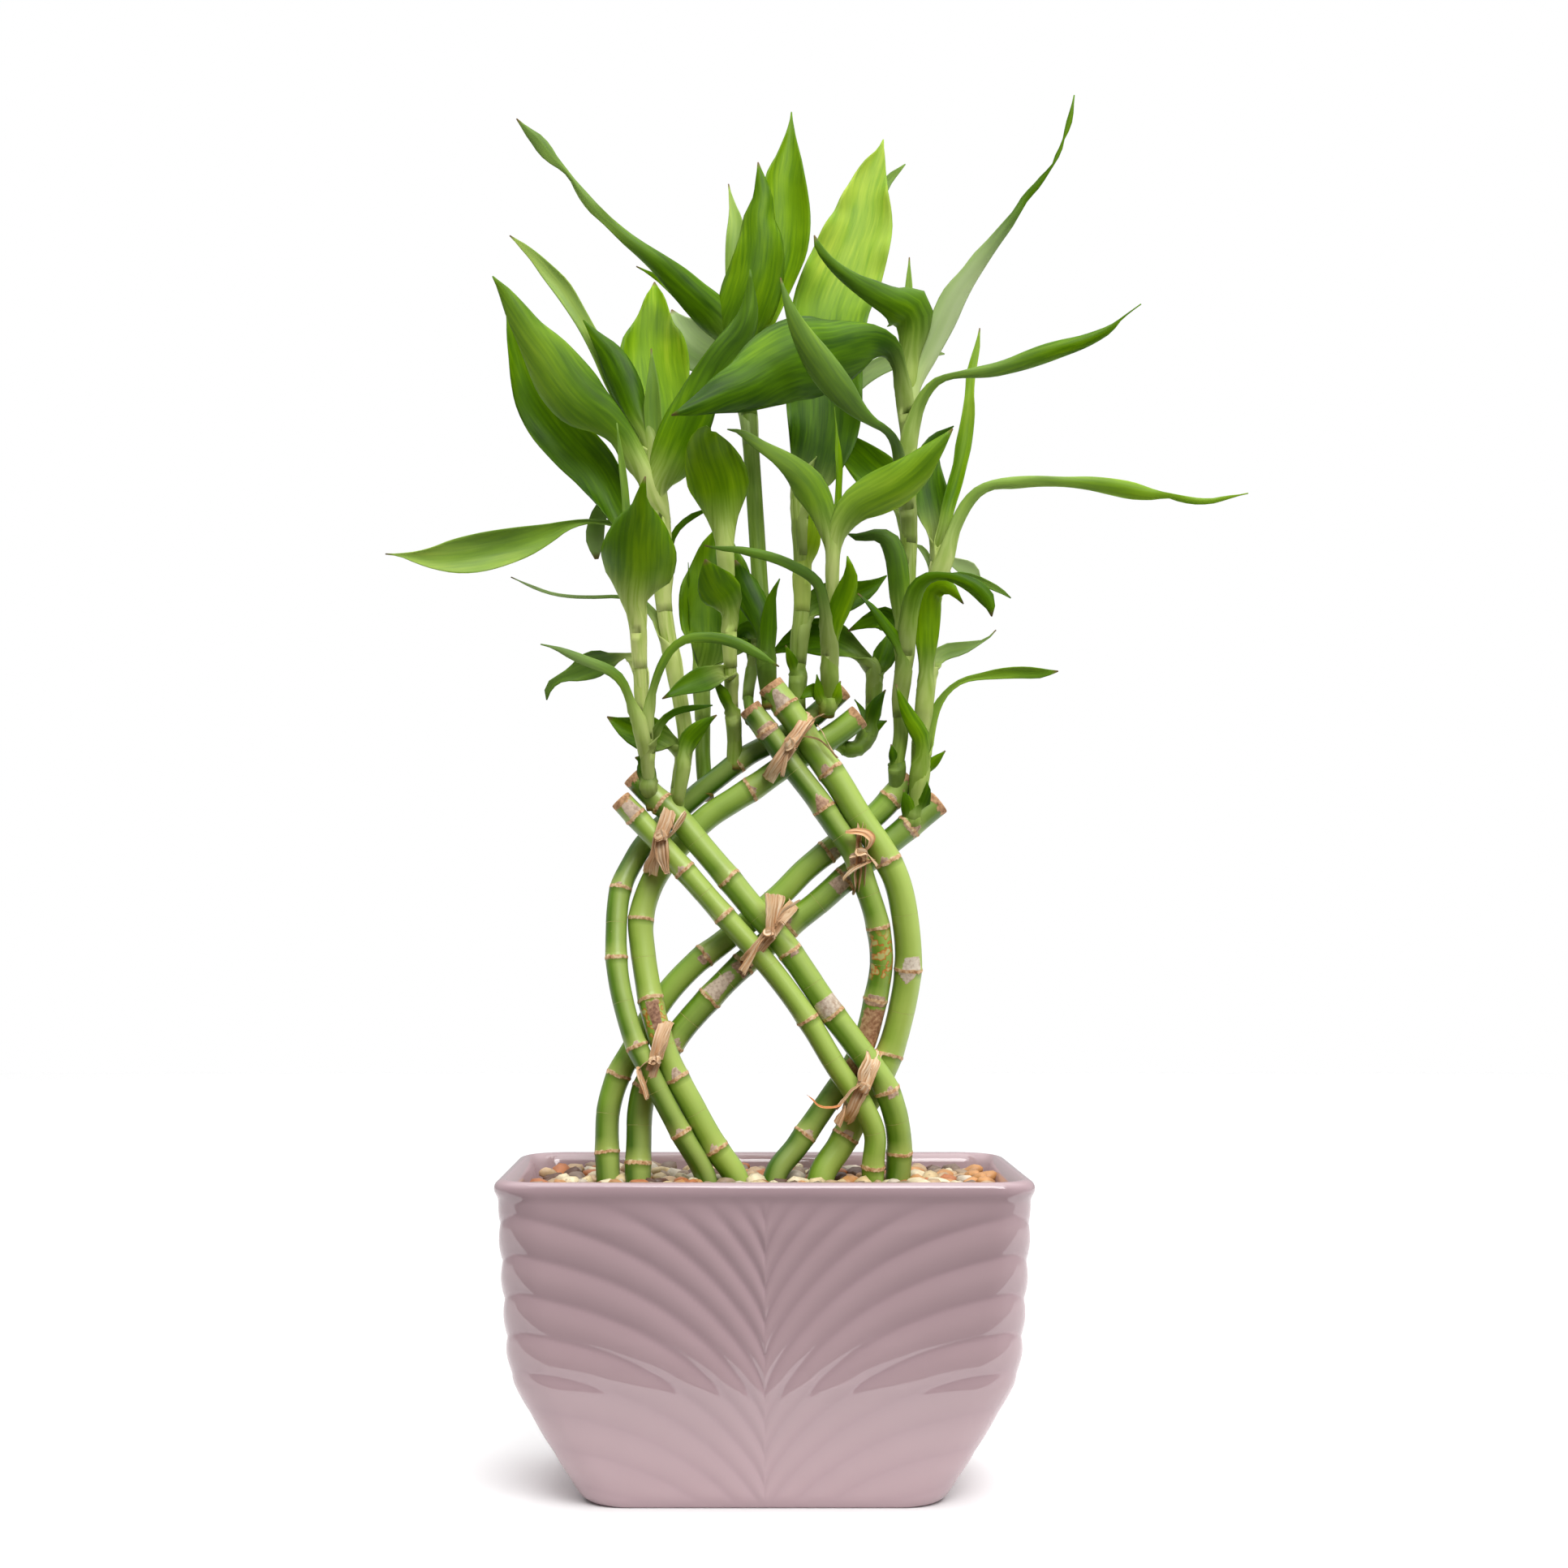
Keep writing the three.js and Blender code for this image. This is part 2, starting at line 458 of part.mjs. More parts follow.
// Shoots: the readings of each stem, with its radius as a fourth number, and of each leaf from its
// foot to its tip, with the leaf's width, the share of its length where it is widest, and turn
const shoots = {
  shoot_left_front: {
    stems: [[[-34.5, -4.8, 207, 2.6], [-35.5, -6, 211.5, 2.8], [-36.5, -9, 218.75, 2.5],
      [-37.75, -12, 231.25, 2.4], [-38.5, -14, 243.75, 2.4], [-39.25, -16, 258.75, 2.6],
      [-39.5, -18, 270, 2.8]]],
    blades: [
      { width: 22, widest: 0.45, line: [[-39.25, -16, 266.25], [-39.5, -28, 281.25],
        [-39.25, -38, 296.25], [-36.75, -45, 308.75]] },
      { width: 8, turn: [50, 50], line: [[-37.2, -13, 230], [-38.5, -14, 237], [-43, -17, 246.5],
        [-48.5, -20, 251], [-58.5, -24, 254.75], [-69, -26, 257.75]] },
      { width: 10, widest: 0.5, turn: [25, 25], line: [[-38.5, -13, 250], [-41.25, -9, 252.5],
        [-46, -4, 255], [-52, 0, 255.5], [-58.5, 3, 252], [-63, 5, 247.5], [-67.5, 6, 241]] },
      { width: 9, turn: [60, 60], line: [[-37, -11, 229], [-36, -13, 235.5], [-35, -15, 244.5],
        [-32, -17, 251.75], [-26.25, -19, 258.25], [-19.5, -20, 260.75], [-13, -20, 260.25],
        [-5.5, -20, 256], [1, -19, 250.5]] },
      { width: 6, turn: [20, 20], line: [[-36.5, -11, 226], [-33, -13, 233], [-29, -15, 236.5],
        [-24.5, -16, 238], [-17, -17, 239]] },
      { width: 4.5, turn: [30, 30], line: [[-39.3, -17, 268], [-40.5, -16, 286],
        [-40.5, -16, 303.75], [-43, -18, 316.25], [-45.25, -19, 325.5]] },
    ],
  },
  shoot_left_back: {
    stems: [
      [[-28, -4.5, 206, 2.4], [-27, -2, 213, 2.4], [-26, -1, 218.75, 2.4], [-24.75, 0, 227.5, 2.4],
        [-26.25, 0, 239.25, 2.4], [-28.25, 0, 250.25, 2.4], [-30.5, 0, 262.5, 2.4],
        [-31.75, 0, 272.5, 2.4], [-31.75, -1, 283.75, 2.4], [-32, -2, 297.5, 2.4],
        [-34, -3, 306.25, 2.4], [-34.5, -3, 316, 2.4]],
      [[-28, -4.5, 206, 1.8], [-26.5, -8, 214, 1.8], [-25.5, -9, 224, 1.8]],
    ],
    blades: [
      { width: 17, turn: [15, 15], line: [[-34.6, -4, 311.25], [-39.75, -6, 319.75],
        [-46.25, -9, 327], [-54, -12, 331.75], [-61.25, -15, 338.25], [-68, -17, 346.25],
        [-73.75, -19, 354.25], [-78.75, -20, 363.25], [-84, -22, 371]] },
      { width: 17, widest: 0.45, turn: [-15, -15], line: [[-33, -1, 281], [-39.75, 2, 289.25],
        [-44.75, 4, 295], [-51, 6, 306.25], [-58, 7, 315], [-65.25, 7, 325.5], [-71.75, 6, 336.5],
        [-76.5, 4, 347.75], [-79.75, 2, 359.75]] },
      { width: 12, turn: [30, 60], line: [[-33.75, -2, 312.5], [-34.25, -2, 322.25],
        [-39, -1, 331.75], [-44.5, 0, 341.5], [-51, 1, 348.5], [-56.5, 2, 356.5], [-63, 3, 366],
        [-71.25, 4, 375.75], [-78.75, 5, 383.5]] },
      { width: 17.5, widest: 0.5, turn: [5, 5], line: [[-33.5, -1, 309], [-32, 6, 329.5],
        [-33.5, 13, 346.25], [-34.5, 19, 358.75], [-34.25, 24, 369.25]] },
      { width: 7, line: [[-34, -3, 311], [-32.25, -4, 326.25], [-33.25, -5, 333.75],
        [-34.75, -5, 342.5], [-35.5, -5, 348.5]] },
      { width: 13, widest: 0.6, turn: [40, 40], line: [[-32.25, 0, 281], [-41, 4, 292.5],
        [-50.75, 6, 295.5], [-62.75, 6, 293.25], [-76.5, 4, 290], [-88.5, 0, 286],
        [-98.25, -4, 284.5], [-108.25, -8, 285], [-117, -12, 285.5]] },
      { width: 8, line: [[-32.4, 0, 287], [-39, 7, 293], [-46, 10, 295], [-50.5, 12, 293.5],
        [-53, 12, 289], [-54, 12, 284]] },
      { width: 6, turn: [50, 50], line: [[-31.4, 0, 281], [-28.75, 0, 290], [-26, -1, 294.75],
        [-22.25, -1, 297.75], [-17.25, -1, 299.25], [-14.75, -1, 298.75]] },
      { width: 13, widest: 0.3, turn: [10, 10], line: [[-33, -3, 297.5], [-31.75, -7, 309.5],
        [-28.5, -9, 317.5], [-25.5, -10, 325.5], [-19.75, -11, 334.25], [-12.75, -12, 343.75],
        [-6.25, -13, 354.25], [-4.25, -13, 363.75], [-4.75, -14, 373.25]] },
      { width: 5, turn: [85, 85], line: [[-31, 0, 272], [-45, 2, 272.5], [-60, 4, 272.75],
        [-66, 5, 273.75], [-78.5, 7, 278.5]] },
      { width: 6, line: [[-25.5, -9, 220], [-24, -10, 228], [-20, -11, 232.5], [-15.25, -11, 236]] },
      { width: 11, line: [[-25.4, -1, 224], [-32, 1, 228.5], [-37, 2, 230], [-43, 3, 232],
        [-49, 3, 235.5]] },
    ],
  },
  shoot_mid_left_back: {
    stems: [[[-18.5, 6.2, 210.5, 2.2], [-19, 9, 216, 2.3], [-19.5, 10, 223.75, 2.3],
      [-19.5, 12, 232.5, 2.3], [-19.75, 14, 241.25, 2.3], [-20, 15, 248, 2.3]]],
    blades: [
      { width: 24, widest: 0.4, line: [[-20, 14, 244], [-19, 16, 254], [-15.5, 19, 266],
        [-14, 22, 278], [-11, 27, 293], [-9, 31, 305]] },
      { width: 4, turn: [60, 60], line: [[-20, 15.5, 245], [-23, 18, 262], [-24, 20, 283]] },
    ],
  },
  shoot_mid_left: {
    stems: [[[-9.75, 6, 219.5, 2.4], [-9.75, 5, 224, 2.4], [-9.75, 3, 230, 2.2],
      [-10.5, 0, 238.75, 1.9], [-11, -3, 251.25, 1.9], [-11.5, -5, 263.75, 2],
      [-12, -7, 276.25, 2.1], [-12.75, -9, 288, 2.4]]],
    blades: [
      { width: 19, widest: 0.45, line: [[-12.6, -9, 285], [-13.5, -11, 297], [-14.5, -14, 307],
        [-17.5, -19, 316], [-18.5, -25, 322], [-18, -29, 324], [-17, -32, 324]] },
      { width: 11, widest: 0.5, line: [[-11.5, -5, 262], [-11.5, -9, 270], [-14.75, -12, 274.5],
        [-16.75, -15, 278.25], [-18.75, -19, 284]] },
      { width: 8.5, widest: 0.35, turn: [10, 10], line: [[-10.8, -2.5, 248.5], [-14, -6, 248.75],
        [-19, -9, 246.75], [-25.5, -12, 244.25], [-32, -14, 241]] },
      { width: 4, line: [[-10.2, 0.5, 235.5], [-12, -3, 240.5], [-16.5, -5, 247.5]] },
    ],
  },
  shoot_centre_back: {
    stems: [[[-4.75, -4, 234, 1.6], [-4.9, -1, 236.5, 1.6], [-5.5, 4, 241.25, 1.6],
      [-4.75, 8, 247.5, 1.6], [-3.25, 10, 255, 1.6], [-2, 11, 260, 1.6]]],
    blades: [
      { width: 6, line: [[-2.6, 10.5, 257.5], [-5, 12, 262], [-7, 13, 262], [-9.5, 14, 259]] },
      { width: 4, line: [[-4.3, 9, 250], [-4, 11, 257], [-2.5, 13, 266]] },
    ],
  },
  shoot_centre_tall: {
    stems: [[[1.5, -4.8, 238, 2.5], [0.5, -4.6, 245.5, 2.5], [0.25, -4.5, 250, 2.5],
      [0, -4, 256, 2.5], [-0.25, -2, 261.25, 2.5], [-1.5, 0, 271.25, 2.5], [-3, 3, 293.75, 2.5],
      [-4.5, 5, 316.25, 2.5], [-5.5, 7, 331.25, 2.5], [-6.5, 9, 344.5, 2.5]]],
    blades: [
      { width: 9, widest: 0.65, line: [[-0.25, -6.3, 252], [-0.75, -7, 260], [-2.5, -5, 267.5],
        [-5.5, -3, 273.75], [-8, -2, 279.25], [-9.5, -4, 283.75]] },
      { width: 5.5, widest: 0.35, line: [[0.2, -6.3, 250.5], [0.5, -9, 259], [1, -10, 267.25],
        [2.25, -11, 274], [4.25, -12, 278]] },
      { width: 19, widest: 0.5, line: [[-6.5, 8, 340.5], [-11, 6, 350], [-8.5, 4, 357],
        [-4.75, 3, 363.75], [-2.25, 2, 372.5], [-1, 2, 383.75], [-0.75, 3, 395],
        [-2.5, 4, 406.25]] },
      { width: 15, widest: 0.6, line: [[-6.2, 9.5, 340], [-3, 13, 353.75], [1, 15, 368.75],
        [4.5, 16, 381.25], [6.75, 17, 393.75], [7.25, 18, 406.25], [7.75, 20, 421.75]] },
      { width: 6, line: [[-6.6, 9.5, 341], [-9, 14, 356], [-10, 17, 371], [-10.5, 19, 382.5],
        [-11.5, 22, 399.5]] },
      { width: 11, widest: 0.2, turn: [30, 105], line: [[-7, 8.5, 342.5], [-9.5, 7, 350],
        [-15.75, 4, 358.5], [-22.25, 2, 366], [-31, 0, 373], [-40, -2, 379.75],
        [-49.5, -4, 387.75], [-56.75, -5, 396.25], [-62.75, -6, 404.5], [-67.75, -7, 410],
        [-76.5, -9, 419.5]] },
      { width: 5, line: [[-7, 9, 342], [-12, 10, 352], [-23.5, 11, 362.5], [-32.25, 11, 370],
        [-40, 10, 374.25]] },
      { width: 17, widest: 0.6, line: [[-5.6, 8, 329], [-11, 17, 341.25], [-20.5, 24, 349.25],
        [-25.5, 28, 355.75], [-29, 30, 360.25]] },
    ],
  },
  shoot_mid_giant: {
    stems: [[[10, 4.8, 232, 2.2], [9.8, 4.6, 237.5, 2.2], [9.5, 5, 243.75, 2.4],
      [10, 6, 256.25, 2.5], [11, 7, 270, 2.5], [11, 7, 281.25, 2.5], [10.5, 7, 293.75, 2.5],
      [10, 8, 303.75, 2.5], [11.5, 9, 313.75, 2.2]]],
    blades: [
      { width: 27, widest: 0.5, line: [[10.6, 7.5, 296.25], [15.5, 11, 308.75],
        [17.25, 13, 326.25], [17.5, 16, 341.25], [19.25, 20, 356.25], [22.5, 24, 368.75],
        [26.5, 28, 380], [30.25, 32, 392.5], [33.5, 36, 402.5], [36, 40, 413.25]] },
      { width: 3.5, line: [[9.9, 5, 248], [8, 2.5, 252.5], [6, 1, 257.5]] },
      { width: 6, line: [[10.9, 6.5, 279], [14, 5, 291], [14, 6, 302]] },
      { width: 11, line: [[10.6, 6.5, 262], [14, 14, 268.75], [19.5, 17, 271.25],
        [26.5, 19, 273], [32, 20, 275.25], [37.25, 21, 279]] },
      { width: 8, turn: [30, 30], line: [[10.8, 8.6, 309], [14, 15, 317], [21.5, 20, 328.75],
        [28, 24, 338], [36.5, 26, 343], [46.5, 27, 347], [54.75, 27, 347.25]] },
    ],
  },
  shoot_mid_right: {
    stems: [[[18.5, 3, 236, 2.3], [19.25, 0.5, 240.5, 2.4], [19.5, -2, 246, 2.4],
      [19.75, -5, 253.5, 2.3], [20, -7, 263.75, 1.8], [20.5, -9, 274.5, 1.6],
      [20.5, -10, 283.75, 1.6], [20, -11, 294, 2.2]]],
    blades: [
      { width: 7, widest: 0.65, line: [[19.5, -3, 247.5], [20.25, -9, 259], [21.25, -11, 265.25],
        [24, -13, 272.25], [26, -15, 278], [25, -17, 285]] },
      { width: 6, turn: [45, 45], line: [[19.7, -5.5, 255], [18.25, -10, 265], [17.5, -14, 273],
        [16.25, -17, 278.75], [12, -20, 281.25], [6.25, -21, 283.75], [-0.25, -21, 286],
        [-7.75, -21, 287.25], [-19, -22, 288.25]] },
      { width: 12, turn: [10, 50], line: [[20.3, -10, 279], [20, -12, 291.25],
        [18.75, -14, 301.25], [15.25, -17, 308.25], [7.75, -20, 312.5], [0.25, -22, 317.25],
        [-6, -23, 321.75], [-9, -24, 323.5]] },
      { width: 14.5, widest: 0.45, turn: [10, 10], line: [[20.4, -9.6, 279], [21.5, -12, 290],
        [25, -15, 296.75], [31, -18, 301], [38, -20, 303.25], [44.5, -21, 307],
        [49.75, -22, 313], [53.5, -22, 317.5], [57, -22, 323.5]] },
      { width: 4.5, turn: [60, 60], line: [[20.5, -9.5, 282], [21.5, -8, 296.25],
        [22, -7, 310], [21.75, -6, 321], [21, -6, 331]] },
      { width: 5, line: [[18.9, 0.5, 240], [14.5, -1, 243.5], [10.5, -2, 241]] },
    ],
  },
  shoot_back_hook: {
    stems: [[[20.5, 4.8, 228, 1.8], [22.8, 7, 226.5, 1.8], [26, 9, 224.75, 2],
      [29.5, 10, 226.75, 2.2], [32, 12, 232.5, 2.2], [33, 13, 240, 2.2], [33.25, 14, 247.5, 2.3],
      [33, 15, 254, 2.4]]],
    blades: [
      { width: 12, widest: 0.5, line: [[33.2, 14.5, 250], [27.75, 17, 255], [21.5, 19, 258.75],
        [14, 21, 260], [7.75, 22, 258.25], [1.5, 23, 254.75]] },
      { width: 7, line: [[33.3, 14, 246], [36, 16, 253.25], [37.5, 18, 257.5], [38.5, 20, 262.5]] },
      { width: 5, line: [[31.6, 11, 230], [33.5, 8, 238.25], [36.75, 8, 243.75]] },
      { width: 3.5, line: [[30.8, 11, 230], [34.5, 10, 233], [37.25, 10, 234.25]] },
      { width: 2, line: [[32, 12.4, 232], [29.5, 14, 237.5], [27.25, 14, 240.75]] },
    ],
  },
  shoot_right_inner: {
    stems: [[[40, 5.6, 211, 2.3], [40.3, 3.5, 216, 2.3], [40.25, 2, 221, 2.3], [41.5, 1, 230, 2.3],
      [41.25, 0, 241.25, 2.3], [42.25, 0, 250, 2.3], [43.25, 0, 260.25, 2.3],
      [43.75, 0, 274.5, 2.3], [44, 0, 288, 2.3], [44, 0, 301.5, 2.3], [44, 0, 313.75, 2.3],
      [43.75, 1, 326, 2.3], [43.25, 2, 338.25, 2.3], [43.3, 1, 347, 2.2]]],
    blades: [
      { width: 14, widest: 0.4, turn: [0, 40], line: [[43.4, 1, 344], [44.5, -2, 353.75],
        [43.5, -5, 361.25], [37.75, -9, 366.25], [30.25, -12, 370.75], [24, -14, 375],
        [19, -16, 379.25], [15, -17, 383.75]] },
      { width: 11, widest: 0.3, turn: [10, 75], line: [[43.6, 1, 332], [47.5, 1, 342.5],
        [51.5, 1, 352.5], [58, 0, 363.75], [65.25, -1, 374.25], [72.75, -2, 383.75],
        [79.5, -3, 394.25], [86, -3, 403.25], [91, -4, 413.25], [94.75, -5, 426.75]] },
      { width: 9, widest: 0.55, turn: [30, 30], line: [[43.4, -1, 320], [44.5, -5, 330],
        [47.75, -6, 336.75], [54, -7, 339.75], [64, -8, 341.25], [75.25, -9, 343.25],
        [87.75, -10, 347], [100.25, -10, 352.75], [114.75, -10, 362]] },
      { width: 24, widest: 0.55, line: [[43.2, 0, 330], [41.25, -6, 340], [38.5, -11, 347.25],
        [30.25, -18, 350.75], [20.25, -24, 349.25], [10.25, -29, 346.25], [0.25, -33, 342.25],
        [-11, -36, 336.75], [-28.5, -40, 328.25]] },
      { width: 9, widest: 0.5, turn: [30, 30], line: [[43.6, -1.5, 304], [41, -10, 315.75],
        [37.75, -18, 322], [32, -27, 325.5], [24, -35, 331.75], [17.75, -40, 339.75],
        [12, -43, 347], [8, -44, 355], [4.5, -44, 370.5]] },
      { width: 13, line: [[43.8, 1, 293], [39.75, 9, 303.75], [33.5, 15, 310.5],
        [27.75, 20, 316.25], [22, 23, 321], [16, 25, 326]] },
      { width: 4.5, line: [[43.3, 2, 342], [43.5, 4, 356], [43.75, 5, 366.25], [44, 6, 376.75]] },
      { width: 8, widest: 0.45, turn: [0, 50], line: [[43, -1, 258], [41.5, -5, 268.75],
        [40.5, -6, 278.75], [39.5, -7, 286.25], [37.25, -7, 291.25], [33.5, -6, 291.25],
        [29, -5, 290], [25.25, -4, 291.75]] },
      { width: 4.5, turn: [30, 30], line: [[42, -1, 246.5], [41.75, -4, 256.25],
        [38.25, -5, 262.5], [33.25, -6, 268.5], [28.25, -6, 273.5]] },
      { width: 8, line: [[42.5, 1, 254], [39, 9, 263.75], [34, 12, 266], [29.5, 13, 264],
        [25.25, 14, 261.75]] },
      { width: 9, widest: 0.7, turn: [20, 20], line: [[43, -1, 255], [43.5, -6, 267.5],
        [45.5, -9, 275.25], [49.5, -12, 278.25], [55.25, -14, 278], [61, -15, 276],
        [66, -15, 273], [69.25, -15, 267]] },
      { width: 3, line: [[40.3, 1.5, 220], [39.2, -1, 223.5], [38.5, -2, 227]] },
    ],
  },
  shoot_right_outer: {
    stems: [[[45, 4.8, 202.5, 2.4], [46, 3.6, 208, 2.4], [46.75, 2, 213.5, 2.4],
      [47, 2, 221.25, 2.4], [47.25, 2, 228, 2.4], [48.75, 2, 236.25, 2.4], [49.5, 2, 250, 2.4],
      [49.75, 2, 260.25, 2.4], [50.75, 2, 270.5, 2.4], [53, 1, 281.25, 2.4],
      [54.75, 1, 289, 2.4]]],
    blades: [
      { width: 9, widest: 0.5, turn: [60, 60], line: [[53.3, 0, 280], [56, -2, 292.5],
        [60.25, -3, 301.75], [67.75, -4, 307], [76.5, -5, 308.5], [89, -6, 308.75],
        [101.5, -6, 308.25], [115.25, -6, 306], [126.5, -6, 303.5], [136.5, -6, 302.25],
        [148.25, -6, 304.25]] },
      { width: 9, widest: 0.35, turn: [50, 50], line: [[53.4, 1.5, 281], [56, 3, 295],
        [59, 4, 306.25], [61.75, 5, 316.25], [63.5, 6, 327.5], [64.25, 7, 340],
        [65.75, 8, 354.75]] },
      { width: 11, line: [[53.4, 2, 283], [52, 6, 294], [50.5, 8, 302.5], [49.5, 10, 312.5],
        [51.5, 11, 320], [57.75, 12, 325]] },
      { width: 9, widest: 0.6, line: [[48.7, 0.5, 238], [49.5, -2, 256], [49.75, -3, 270],
        [51.5, -5, 275.5], [56, -8, 275.5], [60.75, -9, 270.25]] },
      { width: 5.5, widest: 0.7, turn: [40, 40], line: [[47.3, 1, 219], [50.5, 1, 230],
        [54, 0, 239.25], [60.25, -1, 245.75], [69, -2, 249.25], [79, -3, 250.5],
        [89.75, -4, 249.5]] },
      { width: 6, widest: 0.35, line: [[49.6, 3, 251], [54, 9, 254.75], [60.25, 11, 256.25],
        [67, 13, 258.75], [70.5, 13, 262]] },
      { width: 5, line: [[53.6, 2, 281], [58, 8, 283.5], [62, 9, 283], [65.5, 9, 279]] },
      { width: 4, line: [[51.8, 2, 276], [49.5, 6, 283.75], [46, 8, 288]] },
      { width: 6, turn: [20, 20], line: [[47, 0.5, 218], [48.5, -4, 228.25], [45.25, -6, 234.25],
        [42, -7, 240], [40, -8, 245.5]] },
      { width: 3.5, line: [[47.2, 1.5, 218], [51, 0, 221], [55.25, -1, 225]] },
    ],
  },
};

// A leaf blade: its half width along its length as a share of the full half width, from the
// narrow neck over the widest place to the drawn-out tip
function bladeShare(t, widest, neck) {
  if (t < widest) {
    const rise = (t / widest) ** 1.25;
    return neck + (1 - neck) * rise * rise * (3 - 2 * rise);
  }
  const fall = (t - widest) / (1 - widest);
  return Math.max(1 - fall ** 1.8, 0) ** 1.15;
}

// The blade is a thin sheet folded along its midrib. turn is how far it is turned away from the
// front, in degrees at its foot and at its tip, and fold how steeply its halves rise.
const neckWidth = 2.6;
const tipWidth = 0.9;

function makeBlade({ line, width, widest = 0.42, turn = [0, 0], fold = 14 }) {
  const curve = readingCurve(line);
  const count = THREE.MathUtils.clamp(Math.round(curve.getLength() / leafStep) + 2, 4, 8);
  const stations = Array.from({ length: count }, (_, i) => i / (count - 1));
  const frames = framesAlong(stations.map((t) => sighted(curve.getPointAt(t).toArray())));
  const slope = Math.tan(THREE.MathUtils.degToRad(fold));
  const neck = Math.min(neckWidth / width, 0.9);
  const points = [];
  frames.forEach(({ point, along, across, out }, i) => {
    const angle = THREE.MathUtils.degToRad(THREE.MathUtils.lerp(turn[0], turn[1], stations[i]));
    const sideways = across.clone().multiplyScalar(Math.cos(angle));
    sideways.addScaledVector(out, Math.sin(angle));
    const upwards = along.clone().cross(sideways).normalize();
    const share = bladeShare(stations[i], widest, neck);
    const half = (Math.max(width * share, tipWidth) / 2) * growth(point.y);
    [0.5, -0.5].forEach((face) => {
      [-1, 0, 1].forEach((side) => {
        const rise = Math.abs(side) * half * slope + face * bladeThickness;
        points.push(point.clone().addScaledVector(sideways, side * half).addScaledVector(upwards, rise));
      });
    });
  });
  const top = (i, j) => i * 6 + j;
  const under = (i, j) => i * 6 + 3 + j;
  const triangles = [];
  const quad = (a, b, c, d) => triangles.push([a, b, c], [a, c, d]);
  const last = count - 1;
  for (let i = 0; i < last; i += 1) {
    for (let j = 0; j < 2; j += 1) {
      quad(top(i, j), top(i, j + 1), top(i + 1, j + 1), top(i + 1, j));
      triangles.push([under(i, j), under(i + 1, j + 1), under(i, j + 1)]);
      triangles.push([under(i, j), under(i + 1, j), under(i + 1, j + 1)]);
    }
    quad(top(i, 0), top(i + 1, 0), under(i + 1, 0), under(i, 0));
    quad(top(i, 2), under(i, 2), under(i + 1, 2), top(i + 1, 2));
  }
  for (let j = 0; j < 2; j += 1) {
    quad(top(0, j), under(0, j), under(0, j + 1), top(0, j + 1));
    quad(top(last, j), top(last, j + 1), under(last, j + 1), under(last, j));
  }
  return facingOut(geometryOf(points, triangles));
}

function makeStem(line) {
  const points = line.map((reading) => sighted(reading));
  return loft(framesAlong(points).map((frame, i) => ringRound(frame, line[i][3], stemSides)));
}

// A shoot is one body: its stems and leaves joined, with its foot cut to fit the canes it touches.
function makeShoot({ stems, blades }) {
  const parts = [...stems.map(makeStem), ...blades.map(makeBlade)].map(solidOf);
  return geometryFrom(wasm.Manifold.union(parts).subtract(clearance));
}

// Ties: the crossing that each holds, as the reading of its knot, and the tails of its raffia,
// as readings with the half width of the strand
const ties = {
  tie_top: {
    knot: [5.6, 0, 226.5],
    tails: [[[9, -11.5, 227, 1.6], [13, -13, 231, 1], [17.25, -12, 235.5, 0.7]],
      [[7.5, -11.5, 225, 1.6], [6.5, -13, 221, 1.2], [5.25, -12, 217.25, 0.8]]],
  },
  tie_upper_left: {
    knot: [-32, 0, 198.25],
    tails: [[[-31.5, -11.5, 199, 1.6], [-29, -13, 203, 1], [-27, -12, 208, 0.7]],
      [[-32, -11.5, 197, 1.6], [-32.3, -13, 193.5, 1.2], [-32.5, -12.5, 190, 0.8]]],
  },
  tie_upper_right: {
    knot: [30.25, 0, 194],
    tails: [[[30, -11.5, 195, 1.8], [29.5, -13, 199, 3], [29, -12, 202, 4]],
      [[29.5, -11.5, 193, 1.8], [28.5, -13, 189, 3], [27.5, -12.5, 185.75, 3.4]]],
  },
  tie_centre: {
    knot: [0.75, 0, 169.25],
    tails: [[[1, -11.5, 170, 1.8], [1.5, -13, 174.5, 2.4], [2.5, -12.5, 179.25, 3.4]],
      [[0, -11.5, 168.5, 1.8], [-3, -13, 164, 2.4], [-6.75, -12.5, 158.75, 3]]],
  },
  tie_lower_left: {
    knot: [-33.75, 0, 130.5],
    tails: [[[-33, -11.5, 131.5, 1.6], [-31, -13, 134.5, 1], [-29.5, -12, 137.25, 0.7]],
      [[-34.5, -11.5, 129, 1.8], [-37, -13, 123, 2.2], [-37.5, -12.5, 117, 2]]],
  },
  tie_lower_right: {
    knot: [29.25, 0, 123],
    tails: [[[29.5, -11.5, 124, 1.6], [31, -13, 129, 1], [31.75, -12, 133, 0.7]],
      [[28, -11.5, 122, 1.8], [20, -13.5, 120.5, 1.6], [12.75, -13, 118.5, 0.7]],
      [[28.5, -11.5, 121, 1.6], [25, -13.5, 115, 1.6], [22, -13, 109.75, 0.8]]],
  },
};

// A flat band of raffia along points: across is the way of its width.
function strip(points, across, halfWidths, closed) {
  const count = points.length;
  const rings = points.map((point, i) => {
    const before = closed ? points[(i + count - 1) % count] : points[Math.max(i - 1, 0)];
    const after = closed ? points[(i + 1) % count] : points[Math.min(i + 1, count - 1)];
    const along = after.clone().sub(before).normalize();
    const out = along.clone().cross(across).normalize();
    return [[1, 1], [-1, 1], [-1, -1], [1, -1]].map(([side, face]) => point.clone()
      .addScaledVector(across, side * halfWidths[i])
      .addScaledVector(out, (face * bandThickness) / 2));
  });
  return closed ? closedLoft(rings) : loft(rings);
}

// Makes a circle's cosine or sine that of a loop with flatter sides.
function squared(value) {
  return Math.sign(value) * Math.abs(value) ** (2 / 3);
}

